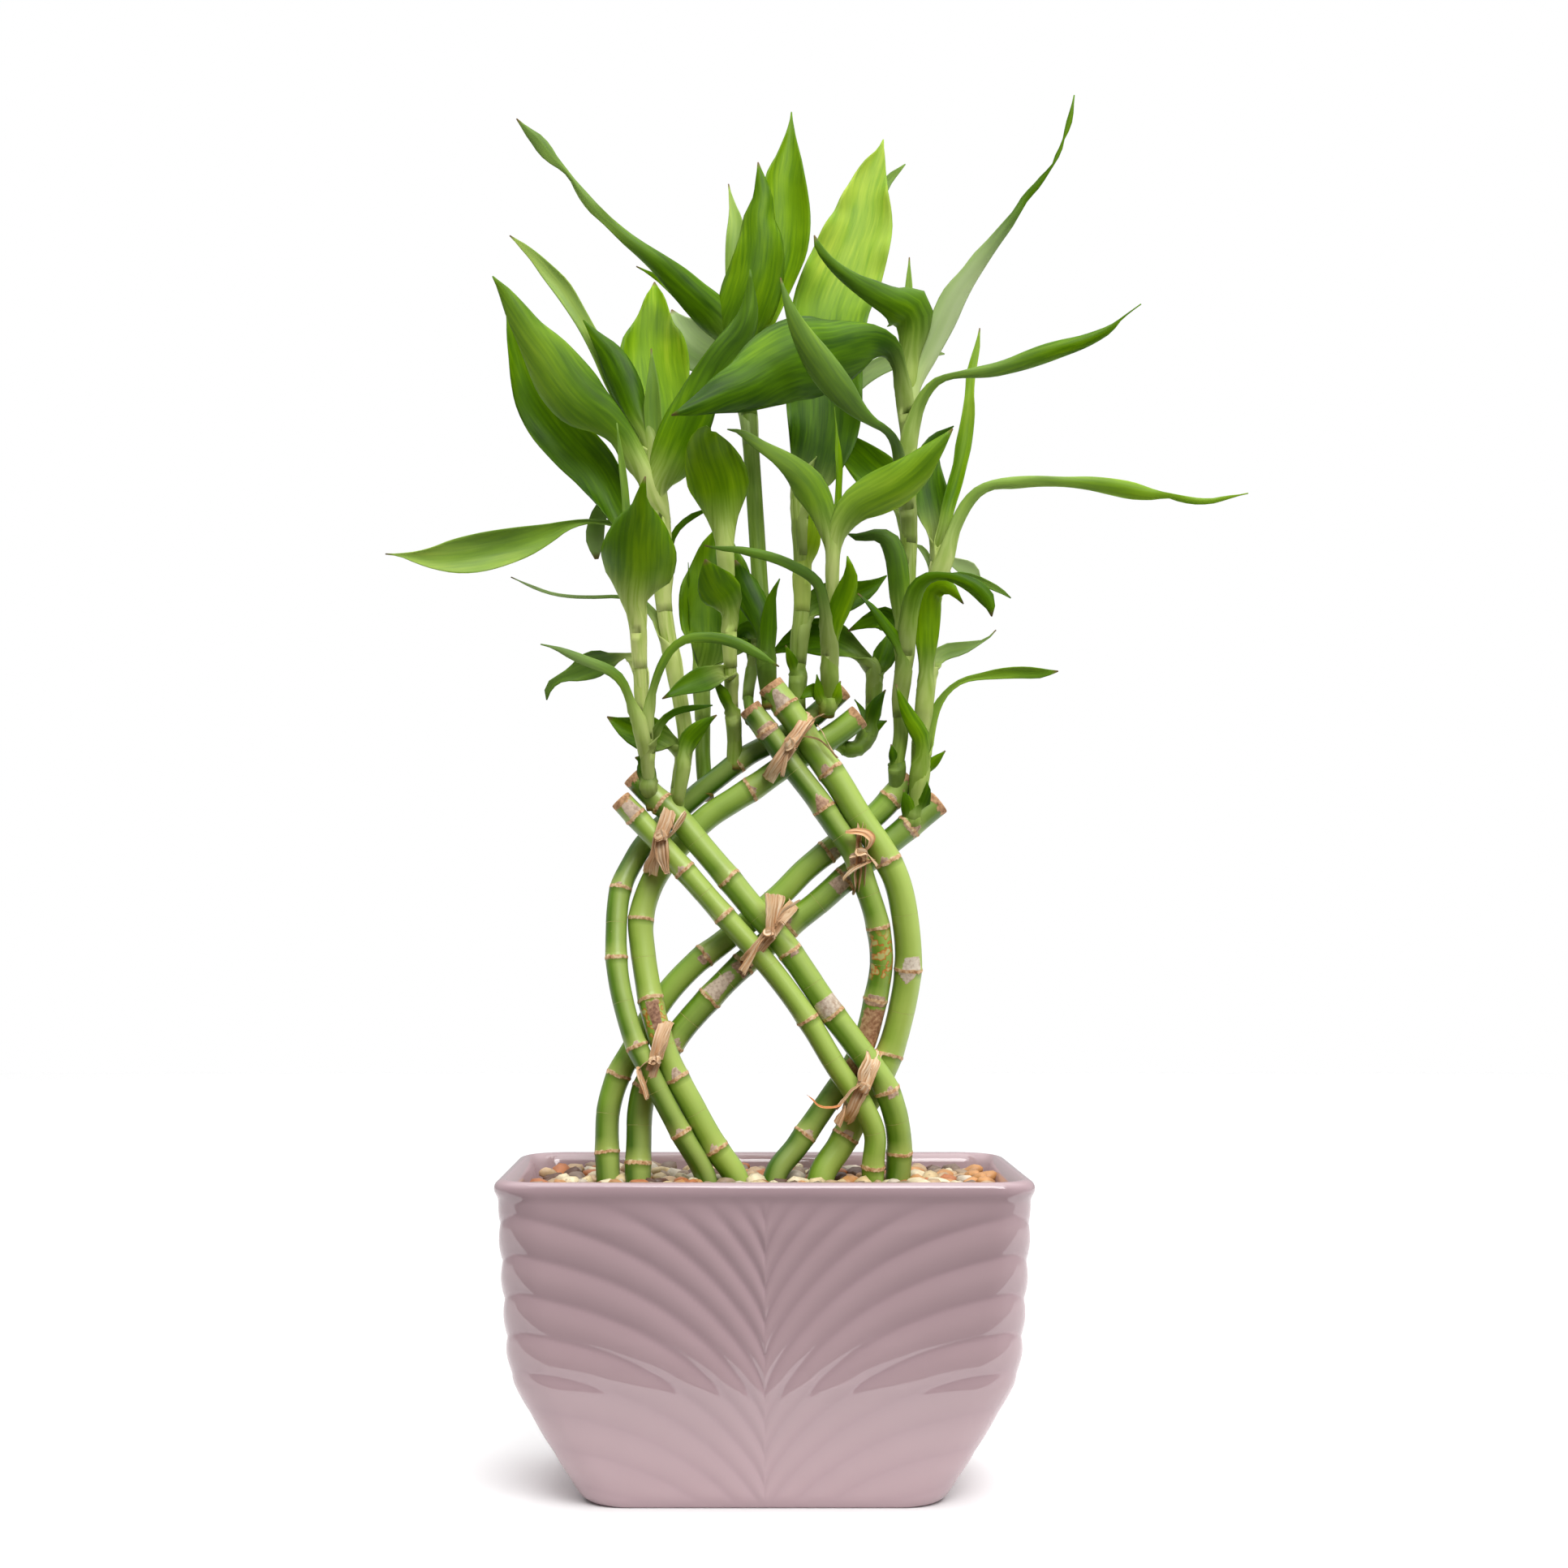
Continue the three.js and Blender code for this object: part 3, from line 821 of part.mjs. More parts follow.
function makeTie({ knot, tails }) {
  const middle = sighted(knot);
  const across = new THREE.Vector3(1, 0, 0);
  const turns = 10;
  const loop = Array.from({ length: turns }, (_, i) => {
    const angle = (2 * Math.PI * (i + 0.5)) / turns;
    const [across, upwards] = [Math.cos(angle), Math.sin(angle)].map(squared);
    return middle.clone().add(new THREE.Vector3(0, tieHalfDepth * across, tieHalfHeight * upwards));
  });
  const parts = [strip(loop, across, loop.map(() => bandWidth / 2), true)];
  tails.forEach((tail) => {
    const points = tail.map((reading) => sighted(reading));
    parts.push(strip(points, across, tail.map((reading) => reading[3]), false));
  });
  const bulk = new THREE.IcosahedronGeometry(2.6, 0);
  bulk.deleteAttribute('normal');
  bulk.deleteAttribute('uv');
  bulk.scale(1.1, 0.75, 1);
  bulk.translate(middle.x, middle.y - tieHalfDepth - 0.6, middle.z);
  parts.push(mergeVertices(bulk, 1e-3));
  return geometryFrom(wasm.Manifold.union(parts.map(solidOf)).subtract(clearance));
}

// Finishes, with each piece's colour as it looks in daylight
function finish(color, roughness) {
  return new THREE.MeshStandardMaterial({ color, roughness, metalness: 0 });
}

// Space that the shoots and ties leave free round every cane
const clearance = wasm.Manifold.union(
  Object.values(canes).map((cane) => solidOf(makeCane(cane, seatGap))),
);

const bamboo = new THREE.Group();

function place(name, geometry, material) {
  const mesh = new THREE.Mesh(geometry, material);
  mesh.name = name;
  bamboo.add(mesh);
}

place('pot', makePot(), finish(0xb49ea1, 0.15));
place('gravel', makeGravel(), finish(0xb8aa98, 0.8));
Object.entries(canes).forEach(([name, cane]) => {
  place(name, makeCane(cane), finish(0x6f9a3e, 0.4));
});
Object.entries(ties).forEach(([name, tie]) => {
  place(name, makeTie(tie), finish(0xb98f5e, 0.85));
});
Object.entries(shoots).forEach(([name, shoot]) => {
  place(name, makeShoot(shoot), finish(0x7fae3c, 0.45));
});

export default bamboo;
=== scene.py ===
import math

import bpy
import numpy as np
from mathutils import Matrix


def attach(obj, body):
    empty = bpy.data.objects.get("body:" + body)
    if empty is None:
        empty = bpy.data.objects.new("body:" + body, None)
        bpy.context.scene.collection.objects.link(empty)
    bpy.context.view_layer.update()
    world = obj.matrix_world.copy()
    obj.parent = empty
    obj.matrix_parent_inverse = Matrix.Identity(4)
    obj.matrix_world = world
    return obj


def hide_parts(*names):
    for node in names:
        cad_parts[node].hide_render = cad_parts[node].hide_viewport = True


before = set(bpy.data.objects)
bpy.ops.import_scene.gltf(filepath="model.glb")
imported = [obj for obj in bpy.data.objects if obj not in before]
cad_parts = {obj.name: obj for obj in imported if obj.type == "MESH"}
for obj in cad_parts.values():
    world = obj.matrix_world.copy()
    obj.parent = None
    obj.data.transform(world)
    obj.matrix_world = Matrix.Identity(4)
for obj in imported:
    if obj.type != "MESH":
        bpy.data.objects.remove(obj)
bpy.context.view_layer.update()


# Camera: it stands level, 640 mm in front of the trellis and a little left of its middle, and
# looks square at it. The shift puts the plant where the photograph has it.
def add_object(name, data):
    """A new object in the scene, at the origin"""
    thing = bpy.data.objects.new(name, data)
    bpy.context.collection.objects.link(thing)
    return thing


PHOTO_SIDE = 1932
FOCAL_PIXELS = 2560
PRINCIPAL = (904, 1161)
EYE = np.array([-0.010, -0.640, 0.166])

camera_data = bpy.data.cameras.new("camera")
camera_data.sensor_width = 36
camera_data.lens = camera_data.sensor_width * FOCAL_PIXELS / PHOTO_SIDE
camera_data.shift_x = 0.5 - PRINCIPAL[0] / PHOTO_SIDE
camera_data.shift_y = PRINCIPAL[1] / PHOTO_SIDE - 0.5
camera = add_object("camera", camera_data)
camera.location = EYE
camera.rotation_euler = (math.pi / 2, 0, 0)
bpy.context.scene.camera = camera


# Pot: slip-cast ceramic, a rounded rectangle in plan with a tapered foot and a rolled lip. Each
# face has a fan of ribs that starts at a vein down its middle. It is glazed all over in a glossy
# dusty mauve with a few iron specks.
def srgb(red, green, blue):
    """A colour as a paint chart gives it, from 0 to 255, as the linear colour that nodes take"""
    return tuple((channel / 255) ** 2.2 for channel in (red, green, blue)) + (1.0,)


def feed(tree, node, inputs):
    """Fills a node's inputs. Each is named or numbered, and takes a value or another's output."""
    for key, value in inputs.items():
        if isinstance(value, bpy.types.NodeSocket):
            tree.links.new(value, node.inputs[key])
        else:
            node.inputs[key].default_value = value


def put(tree, kind, inputs=None, **settings):
    """A new node in a tree"""
    node = tree.nodes.new(kind)
    for name, value in settings.items():
        setattr(node, name, value)
    feed(tree, node, inputs or {})
    return node


def calc(tree, operation, *values):
    """A math node's result"""
    return put(tree, "ShaderNodeMath", dict(enumerate(values)), operation=operation).outputs[0]


def vary(tree, base, value, amount):
    """A base that a value from 0 to 1 lowers or raises by up to half an amount"""
    return calc(tree, "MULTIPLY_ADD", calc(tree, "SUBTRACT", value, 0.5), amount, base)


def fade(tree, value, start, end, low=0.0, high=1.0, **settings):
    """A number that goes from low to high while a value goes from start to end, and no further"""
    inputs = {0: value, 1: start, 2: end, 3: low, 4: high}
    return put(tree, "ShaderNodeMapRange", inputs, **settings).outputs[0]


def vector(tree, *values):
    """A vector from numbers"""
    return put(tree, "ShaderNodeCombineXYZ", dict(enumerate(values))).outputs[0]


def scaled(tree, arrow, factor):
    """A vector times a number"""
    return put(tree, "ShaderNodeVectorMath", {0: arrow, "Scale": factor}, operation="SCALE").outputs[0]


def noise(tree, place, scale, detail, **settings):
    """Noise at a place: the first output is a value, the second a colour."""
    inputs = {"Vector": place, "Scale": scale, "Detail": detail}
    return put(tree, "ShaderNodeTexNoise", inputs, **settings).outputs


def bump(tree, height, strength, distance, **inputs):
    """A normal that makes a height look raised"""
    inputs = {"Strength": strength, "Distance": distance, "Height": height, **inputs}
    return put(tree, "ShaderNodeBump", inputs).outputs[0]


def read(tree, name, kind="FLOAT"):
    """A named attribute, in a geometry tree or in a material"""
    if tree.bl_idname == "GeometryNodeTree":
        node = put(tree, "GeometryNodeInputNamedAttribute", {"Name": name}, data_type=kind)
        return next(socket for socket in node.outputs if socket.enabled)
    return put(tree, "ShaderNodeAttribute", attribute_name=name).outputs["Fac"]


def store(tree, geometry, name, value, domain="POINT"):
    """Geometry that keeps a number under a name"""
    node = put(tree, "GeometryNodeStoreNamedAttribute", {"Geometry": geometry, "Name": name},
               data_type="FLOAT", domain=domain)
    tree.links.new(value, next(s for s in node.inputs if s.enabled and s.name == "Value"))
    return node.outputs[0]


def position(tree):
    """The place of each point of the geometry that reads it"""
    return put(tree, "GeometryNodeInputPosition").outputs[0]


def position_parts(tree):
    """The same place as its three numbers"""
    return put(tree, "ShaderNodeSeparateXYZ", {0: position(tree)}).outputs


def moved(tree, geometry, offset):
    """Geometry with its points shifted"""
    inputs = {"Geometry": geometry, "Offset": offset}
    return put(tree, "GeometryNodeSetPosition", inputs).outputs[0]


def worn(tree, geometry, scale, amount):
    """Geometry with its points pushed about by noise"""
    colour = noise(tree, position(tree), scale, detail=1.0)[1]
    push = put(tree, "ShaderNodeVectorMath", {0: colour, 1: (0.5, 0.5, 0.5)}, operation="SUBTRACT")
    return moved(tree, geometry, scaled(tree, push.outputs[0], amount))


def shaping_tree(name, sizes):
    """Opens a Geometry Nodes tree whose inputs are a geometry, the named sizes and a material."""
    tree = bpy.data.node_groups.new(name, "GeometryNodeTree")
    tree.interface.new_socket("Geometry", in_out="INPUT", socket_type="NodeSocketGeometry")
    tree.interface.new_socket("Geometry", in_out="OUTPUT", socket_type="NodeSocketGeometry")
    for size in sizes:
        tree.interface.new_socket(size, in_out="INPUT", socket_type="NodeSocketFloat")
    tree.interface.new_socket("Material", in_out="INPUT", socket_type="NodeSocketMaterial")
    return tree, tree.nodes.new("NodeGroupInput").outputs


def close_tree(tree, geometry, material):
    """Ends a tree: what it made is real geometry, smooth, in its material."""
    real = put(tree, "GeometryNodeRealizeInstances", {"Geometry": geometry})
    smooth = put(tree, "GeometryNodeSetShadeSmooth", {0: real.outputs[0]})
    inputs = {"Geometry": smooth.outputs[0], "Material": material}
    painted = put(tree, "GeometryNodeSetMaterial", inputs)
    put(tree, "NodeGroupOutput", {0: painted.outputs[0]})
    return tree


def shaped(name, base, tree, sizes):
    """Runs a tree on a base mesh and returns its result as a plain mesh object at the origin."""
    maker = add_object(name + "_maker", base)
    modifier = maker.modifiers.new("shape", "NODES")
    modifier.node_group = tree
    for item in tree.interface.items_tree:
        if item.in_out == "INPUT" and item.name in sizes:
            modifier[item.identifier] = sizes[item.name]
    depsgraph = bpy.context.evaluated_depsgraph_get()
    mesh = bpy.data.meshes.new_from_object(maker.evaluated_get(depsgraph), depsgraph=depsgraph)
    maker.modifiers.clear()
    bpy.data.objects.remove(maker)
    mesh.name = name
    return add_object(name, mesh)


def number_points(mesh, **numbers):
    """Keeps a number or a vector for each point of a mesh under each name."""
    for label, values in numbers.items():
        values = np.asarray(values, float)
        kind, key = ("FLOAT_VECTOR", "vector") if values.ndim == 2 else ("FLOAT", "value")
        mesh.attributes.new(label, kind, "POINT").data.foreach_set(key, values.ravel())


def mesh_of(name, points, faces=(), edges=(), **numbers):
    """A mesh from its points and its faces or edges, with its points' numbers"""
    mesh = bpy.data.meshes.new(name)
    mesh.from_pydata([tuple(point) for point in points], list(edges), list(faces))
    number_points(mesh, **numbers)
    return mesh


def tube_faces(rows, sides, first=0):
    """The faces between rows of points that each run round a tube"""
    return [(low + k, low + (k + 1) % sides, low + sides + (k + 1) % sides, low + sides + k)
            for low in range(first, first + (rows - 1) * sides, sides) for k in range(sides)]


def end_faces(rows, sides, first=0):
    """The two faces that close such a tube"""
    last = first + (rows - 1) * sides
    return [tuple(range(first, first + sides))[::-1], tuple(range(last, last + sides))]


def distances(path):
    """How far along a path each of its points lies"""
    return np.concatenate([[0], np.cumsum(np.linalg.norm(np.diff(path, axis=0), axis=1))])


def sampled(stops, walked, rows):
    """Rows of numbers that are known at some distances, read at others"""
    return np.column_stack([np.interp(stops, walked, column) for column in rows.T])


def smooth_path(points, count):
    """Evenly spaced points on the smooth curve that runs through a list of points"""
    steps_between = 24
    knots = np.array(points, float)
    knots = np.vstack([2 * knots[0] - knots[1], knots, 2 * knots[-1] - knots[-2]])
    share = np.linspace(0, 1, steps_between, endpoint=False)[:, None]
    bends = []
    for a, b, c, d in zip(knots, knots[1:], knots[2:], knots[3:]):
        first, middle, last = (max(np.linalg.norm(q[:3] - p[:3]), 1e-9) ** 0.5
                               for p, q in ((a, b), (b, c), (c, d)))
        leave = ((b - a) / first - (c - a) / (first + middle) + (c - b) / middle) * middle
        arrive = ((c - b) / middle - (d - b) / (middle + last) + (d - c) / last) * middle
        bends.append((2 * share**3 - 3 * share**2 + 1) * b + (share**3 - 2 * share**2 + share) * leave
                     + (3 * share**2 - 2 * share**3) * c + (share**3 - share**2) * arrive)
    fine = np.vstack(bends + [knots[-2:-1]])
    walked = distances(fine[:, :3])
    return sampled(np.linspace(0, walked[-1], count), walked, fine)


POT_MIDDLE = -0.001
RIM = np.array([0.079, 0.045])
CORNER = 0.013
WALL = 0.005
TAPER_SHARE = 0.55
# Height and half width of the outside from the foot to the lip, in millimetres
POT_OUTSIDE = [
    (0, 51.8), (0.3, 53.2), (1.8, 54.9), (4.7, 56.6), (7.5, 58), (11.9, 60.6), (15.5, 62.6),
    (19.4, 64.7), (24, 67.1), (28.5, 69.5), (33, 71.7), (37.4, 73.6), (41.8, 74.5), (46, 75.1),
    (53, 75.5), (60, 76), (67, 76.4), (75, 76.8), (82, 77.2), (87, 77.5), (89.5, 77.7), (91.2, 78),
    (92.2, 78.5), (93.4, 79.05), (94.6, 79.1), (95.8, 78.6), (96.6, 77.6), (97, 76.4)]
# The same for the inside, from the lip to the floor
POT_INSIDE = [(96.8, 75.2), (96, 74.2), (94, 73.4), (87, 71.6), (42, 70.4), (14, 56.5), (8, 54), (5, 50)]


def half_depth(half_width, inset=0):
    """Half the pot's depth where half its width is given: its front tapers less than its ends."""
    return RIM[1] - (RIM[0] - half_width - inset) * TAPER_SHARE - inset


def pot_mesh():
    """Rows of points up the outside and down the inside, closest at the middle of each face.
    ribbed says how much of the ribs a point shows, and outward which way they stand out."""
    corner_steps, crowding, least_corner = 16, 1.35, 0.004
    stand, out = [], []
    for side, half_count in enumerate((52, 30, 52, 30)):
        angle = -math.pi / 2 + side * math.pi / 2
        way = np.array([math.cos(angle), math.sin(angle)])
        forward = np.array([-way[1], way[0]])
        steps = np.linspace(0, 1, half_count + 1) ** crowding
        for step in np.concatenate([-steps[:0:-1], steps]):
            stand.append(way + forward * step)
            out.append(way)
        for turn in np.linspace(0, math.pi / 2, corner_steps)[1:-1]:
            stand.append(way + forward)
            out.append(way * math.cos(turn) + forward * math.sin(turn))
    stand, out = np.array(stand), np.array(out)
    # The ribs rise out of the wall over 3 mm at the foot and sink into it over 9 mm below the lip.
    ribs_from, ribs_to = 0.0012, 0.0925
    rows, ribbed = [], []
    for line, steps, inset in ((POT_OUTSIDE, 170, 0), (POT_INSIDE, 30, WALL)):
        for height, half_width, _ in smooth_path([(z / 1000, w / 1000, 0) for z, w in line], steps):
            radius = max(CORNER - inset, least_corner)
            inner = np.array([half_width, half_depth(half_width, inset)]) - radius
            rows.append(np.column_stack([stand * inner + out * radius, np.full(len(out), height)]))
            edge = min((height - ribs_from) / 0.003, (ribs_to - height) / 0.009, 1)
            ribbed += [max(edge, 0) if inset == 0 else 0] * len(out)
    faces = tube_faces(len(rows), len(out)) + end_faces(len(rows), len(out))
    outward = np.column_stack([np.tile(out, (len(rows), 1)), np.zeros(len(ribbed))])
    return mesh_of("pot", np.vstack(rows), faces, ribbed=ribbed, outward=outward)


def rib_tree():
    """Raises the fan of ribs: a rib's line is at start height on the middle line of a face and
    sweeps up towards the corners, and between two lines the wall swells."""
    sizes = ["Pitch", "Phase", "Rise", "Bend", "Curl", "Curl Bend", "Spread", "Depth", "Side Ratio"]
    tree, given = shaping_tree("fan of ribs", sizes)
    place = position_parts(tree)
    across = calc(tree, "ABSOLUTE", place["X"])
    depth = calc(tree, "MULTIPLY", calc(tree, "ABSOLUTE", place["Y"]), given["Side Ratio"])
    distance = calc(tree, "MINIMUM", across, depth)
    backwards = calc(tree, "MULTIPLY", distance, -1.0)
    sweep = 0.0
    for rise, bend in (("Rise", "Bend"), ("Curl", "Curl Bend")):
        left = calc(tree, "EXPONENT", calc(tree, "DIVIDE", backwards, given[bend]))
        sweep = calc(tree, "MULTIPLY_ADD", given[rise], calc(tree, "SUBTRACT", 1.0, left), sweep)
    widening = calc(tree, "MULTIPLY_ADD", given["Spread"], distance, 1.0)
    start = calc(tree, "DIVIDE", calc(tree, "SUBTRACT", place["Z"], sweep), widening)
    turn = calc(tree, "SUBTRACT", calc(tree, "DIVIDE", start, given["Pitch"]), given["Phase"])
    saw = calc(tree, "ABSOLUTE", calc(tree, "MULTIPLY_ADD", calc(tree, "FRACT", turn), 2.0, -1.0))
    swell = calc(tree, "SUBTRACT", 1.0, calc(tree, "POWER", saw, 1.8))
    # Towards the foot the ribs grow fainter away from the middle line.
    low = fade(tree, place["Z"], 0.050, 0.036)
    faint = calc(tree, "MULTIPLY", low, fade(tree, distance, 0.002, 0.030, 0.35, 0.65))
    height = calc(tree, "MULTIPLY", calc(tree, "MULTIPLY", swell, given["Depth"]), read(tree, "ribbed"))
    height = calc(tree, "MULTIPLY", height, calc(tree, "SUBTRACT", 1.0, faint))
    push = scaled(tree, read(tree, "outward", "FLOAT_VECTOR"), height)
    raised = moved(tree, given["Geometry"], push)
    kept = store(tree, raised, "swell", calc(tree, "MULTIPLY", swell, read(tree, "ribbed")))
    return close_tree(tree, kept, given["Material"])


def new_material(name):
    """A material with one Principled shader. Returns it with its tree and that shader."""
    material = bpy.data.materials.new(name)
    material.use_nodes = True
    return material, material.node_tree, material.node_tree.nodes["Principled BSDF"]


def mix_colours(tree, share, first, second, blend="MIX"):
    """The mix of two colours"""
    return put(tree, "ShaderNodeMix", {0: share, 6: first, 7: second}, data_type="RGBA",
               blend_type=blend).outputs[2]


def ramp(tree, value, stops):
    """Colours along a value from 0 to 1"""
    node = put(tree, "ShaderNodeValToRGB", {0: value})
    while len(node.color_ramp.elements) < len(stops):
        node.color_ramp.elements.new(0.5)
    for element, (stop, colour) in zip(node.color_ramp.elements, stops):
        element.position = stop
        element.color = colour
    return node.outputs[0]


def object_place(tree):
    """A point's place on its object, for a material"""
    return put(tree, "ShaderNodeTexCoord").outputs["Object"]


def effect_group(name, sizes, results):
    """Opens a shader node group for an effect that several materials share."""
    group = bpy.data.node_groups.new(name, "ShaderNodeTree")
    group.interface.new_socket("Vector", in_out="INPUT", socket_type="NodeSocketVector")
    for size in sizes:
        group.interface.new_socket(size, in_out="INPUT", socket_type="NodeSocketFloat")
    for label, kind in results.items():
        group.interface.new_socket(label, in_out="OUTPUT", socket_type="NodeSocket" + kind)
    return group, group.nodes.new("NodeGroupInput").outputs, group.nodes.new("NodeGroupOutput")


def use(tree, group, **inputs):
    """Places an effect group in a material, on the object's own places."""
    return put(tree, "ShaderNodeGroup", {"Vector": object_place(tree), **inputs}, node_tree=group).outputs


def specks_effect():
    """Small round specks, few and far between: Mask is 1 on a speck."""
    group, given, result = effect_group("specks", ["Scale", "Share", "Radius"], {"Mask": "Float"})
    cells = put(group, "ShaderNodeTexVoronoi", {"Vector": given["Vector"], "Scale": given["Scale"]})
    chosen = put(group, "ShaderNodeSeparateColor", {0: cells.outputs["Color"]})
    rare = calc(group, "LESS_THAN", chosen.outputs[0], given["Share"])
    near = fade(group, cells.outputs["Distance"], calc(group, "MULTIPLY", given["Radius"], 0.4),
                given["Radius"], 1.0, 0.0, interpolation_type="SMOOTHSTEP")
    feed(group, result, {"Mask": calc(group, "MULTIPLY", rare, near)})
    return group


def mottle_effect():
    """Soft cloudy variation: Shade runs from 0 to 1 and Normal carries its fine unevenness."""
    group, given, result = effect_group("mottle", ["Scale", "Strength", "Depth"],
                                        {"Shade": "Float", "Normal": "Vector"})
    broad = noise(group, given["Vector"], given["Scale"], detail=3.0)[0]
    fine_scale = calc(group, "MULTIPLY", given["Scale"], 6.0)
    fine = noise(group, given["Vector"], fine_scale, detail=2.0)[0]
    feed(group, result, {"Shade": broad, "Normal": bump(group, fine, given["Strength"], given["Depth"])})
    return group


SPECKS = specks_effect()
MOTTLE = mottle_effect()


def glaze():
    """The pot's skin: a glossy mauve, a little cloudy, with iron specks of two sizes"""
    material, tree, shader = new_material("mauve glaze")
    cloud = use(tree, MOTTLE, Scale=22.0, Strength=0.05, Depth=0.0004)
    ground = mix_colours(tree, cloud["Shade"], srgb(168, 142, 147), srgb(178, 152, 157))
    # The glaze is thin and pale on the crowns of the ribs and gathers darker between them.
    crowned = calc(tree, "MULTIPLY", read(tree, "swell"), 0.25)
    ground = mix_colours(tree, crowned, ground, srgb(192, 166, 168))
    large = use(tree, SPECKS, Scale=34.0, Share=0.035, Radius=0.022)
    small = use(tree, SPECKS, Scale=95.0, Share=0.012, Radius=0.05)
    iron = calc(tree, "MAXIMUM", large["Mask"], small["Mask"])
    ground = mix_colours(tree, calc(tree, "MULTIPLY", iron, 0.75), ground, srgb(92, 72, 74))
    feed(tree, shader, {"Base Color": ground, "Normal": cloud["Normal"], "Roughness": 0.07, "IOR": 1.66})
    return material


pot = shaped("glazed_pot", pot_mesh(), rib_tree(), {
    "Pitch": 0.00986, "Phase": 0.724, "Rise": 0.0475, "Bend": 0.030, "Curl": 0.0026, "Curl Bend": 0.0015,
    "Spread": 1.9, "Depth": 0.00085, "Side Ratio": RIM[0] / RIM[1], "Material": glaze(),
})
pot.data.transform(Matrix.Translation((POT_MIDDLE, 0, 0)))
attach(pot, "root")
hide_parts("pot")


# Canes: eight living canes, smooth and satin green, with a raised papery ring at each joint and
# a dry cut top. They were trained to this weave as they grew, and stand loose in the gravel.
def grown(places):
    """How much larger things at a place are than they read: further back, more"""
    return 1 - np.asarray(places)[..., 1] / EYE[1]


def sighted(reading):
    """Readings of (across, depth, height) in millimetres as real places in metres. Across and height
    are read where the line of sight from the camera passes the trellis's own plane."""
    reading = np.asarray(reading, float) / 1000
    return np.stack([EYE[0] + (reading[..., 0] - EYE[0]) * grown(reading), reading[..., 1],
                     EYE[2] + (reading[..., 2] - EYE[2]) * grown(reading)], axis=-1)


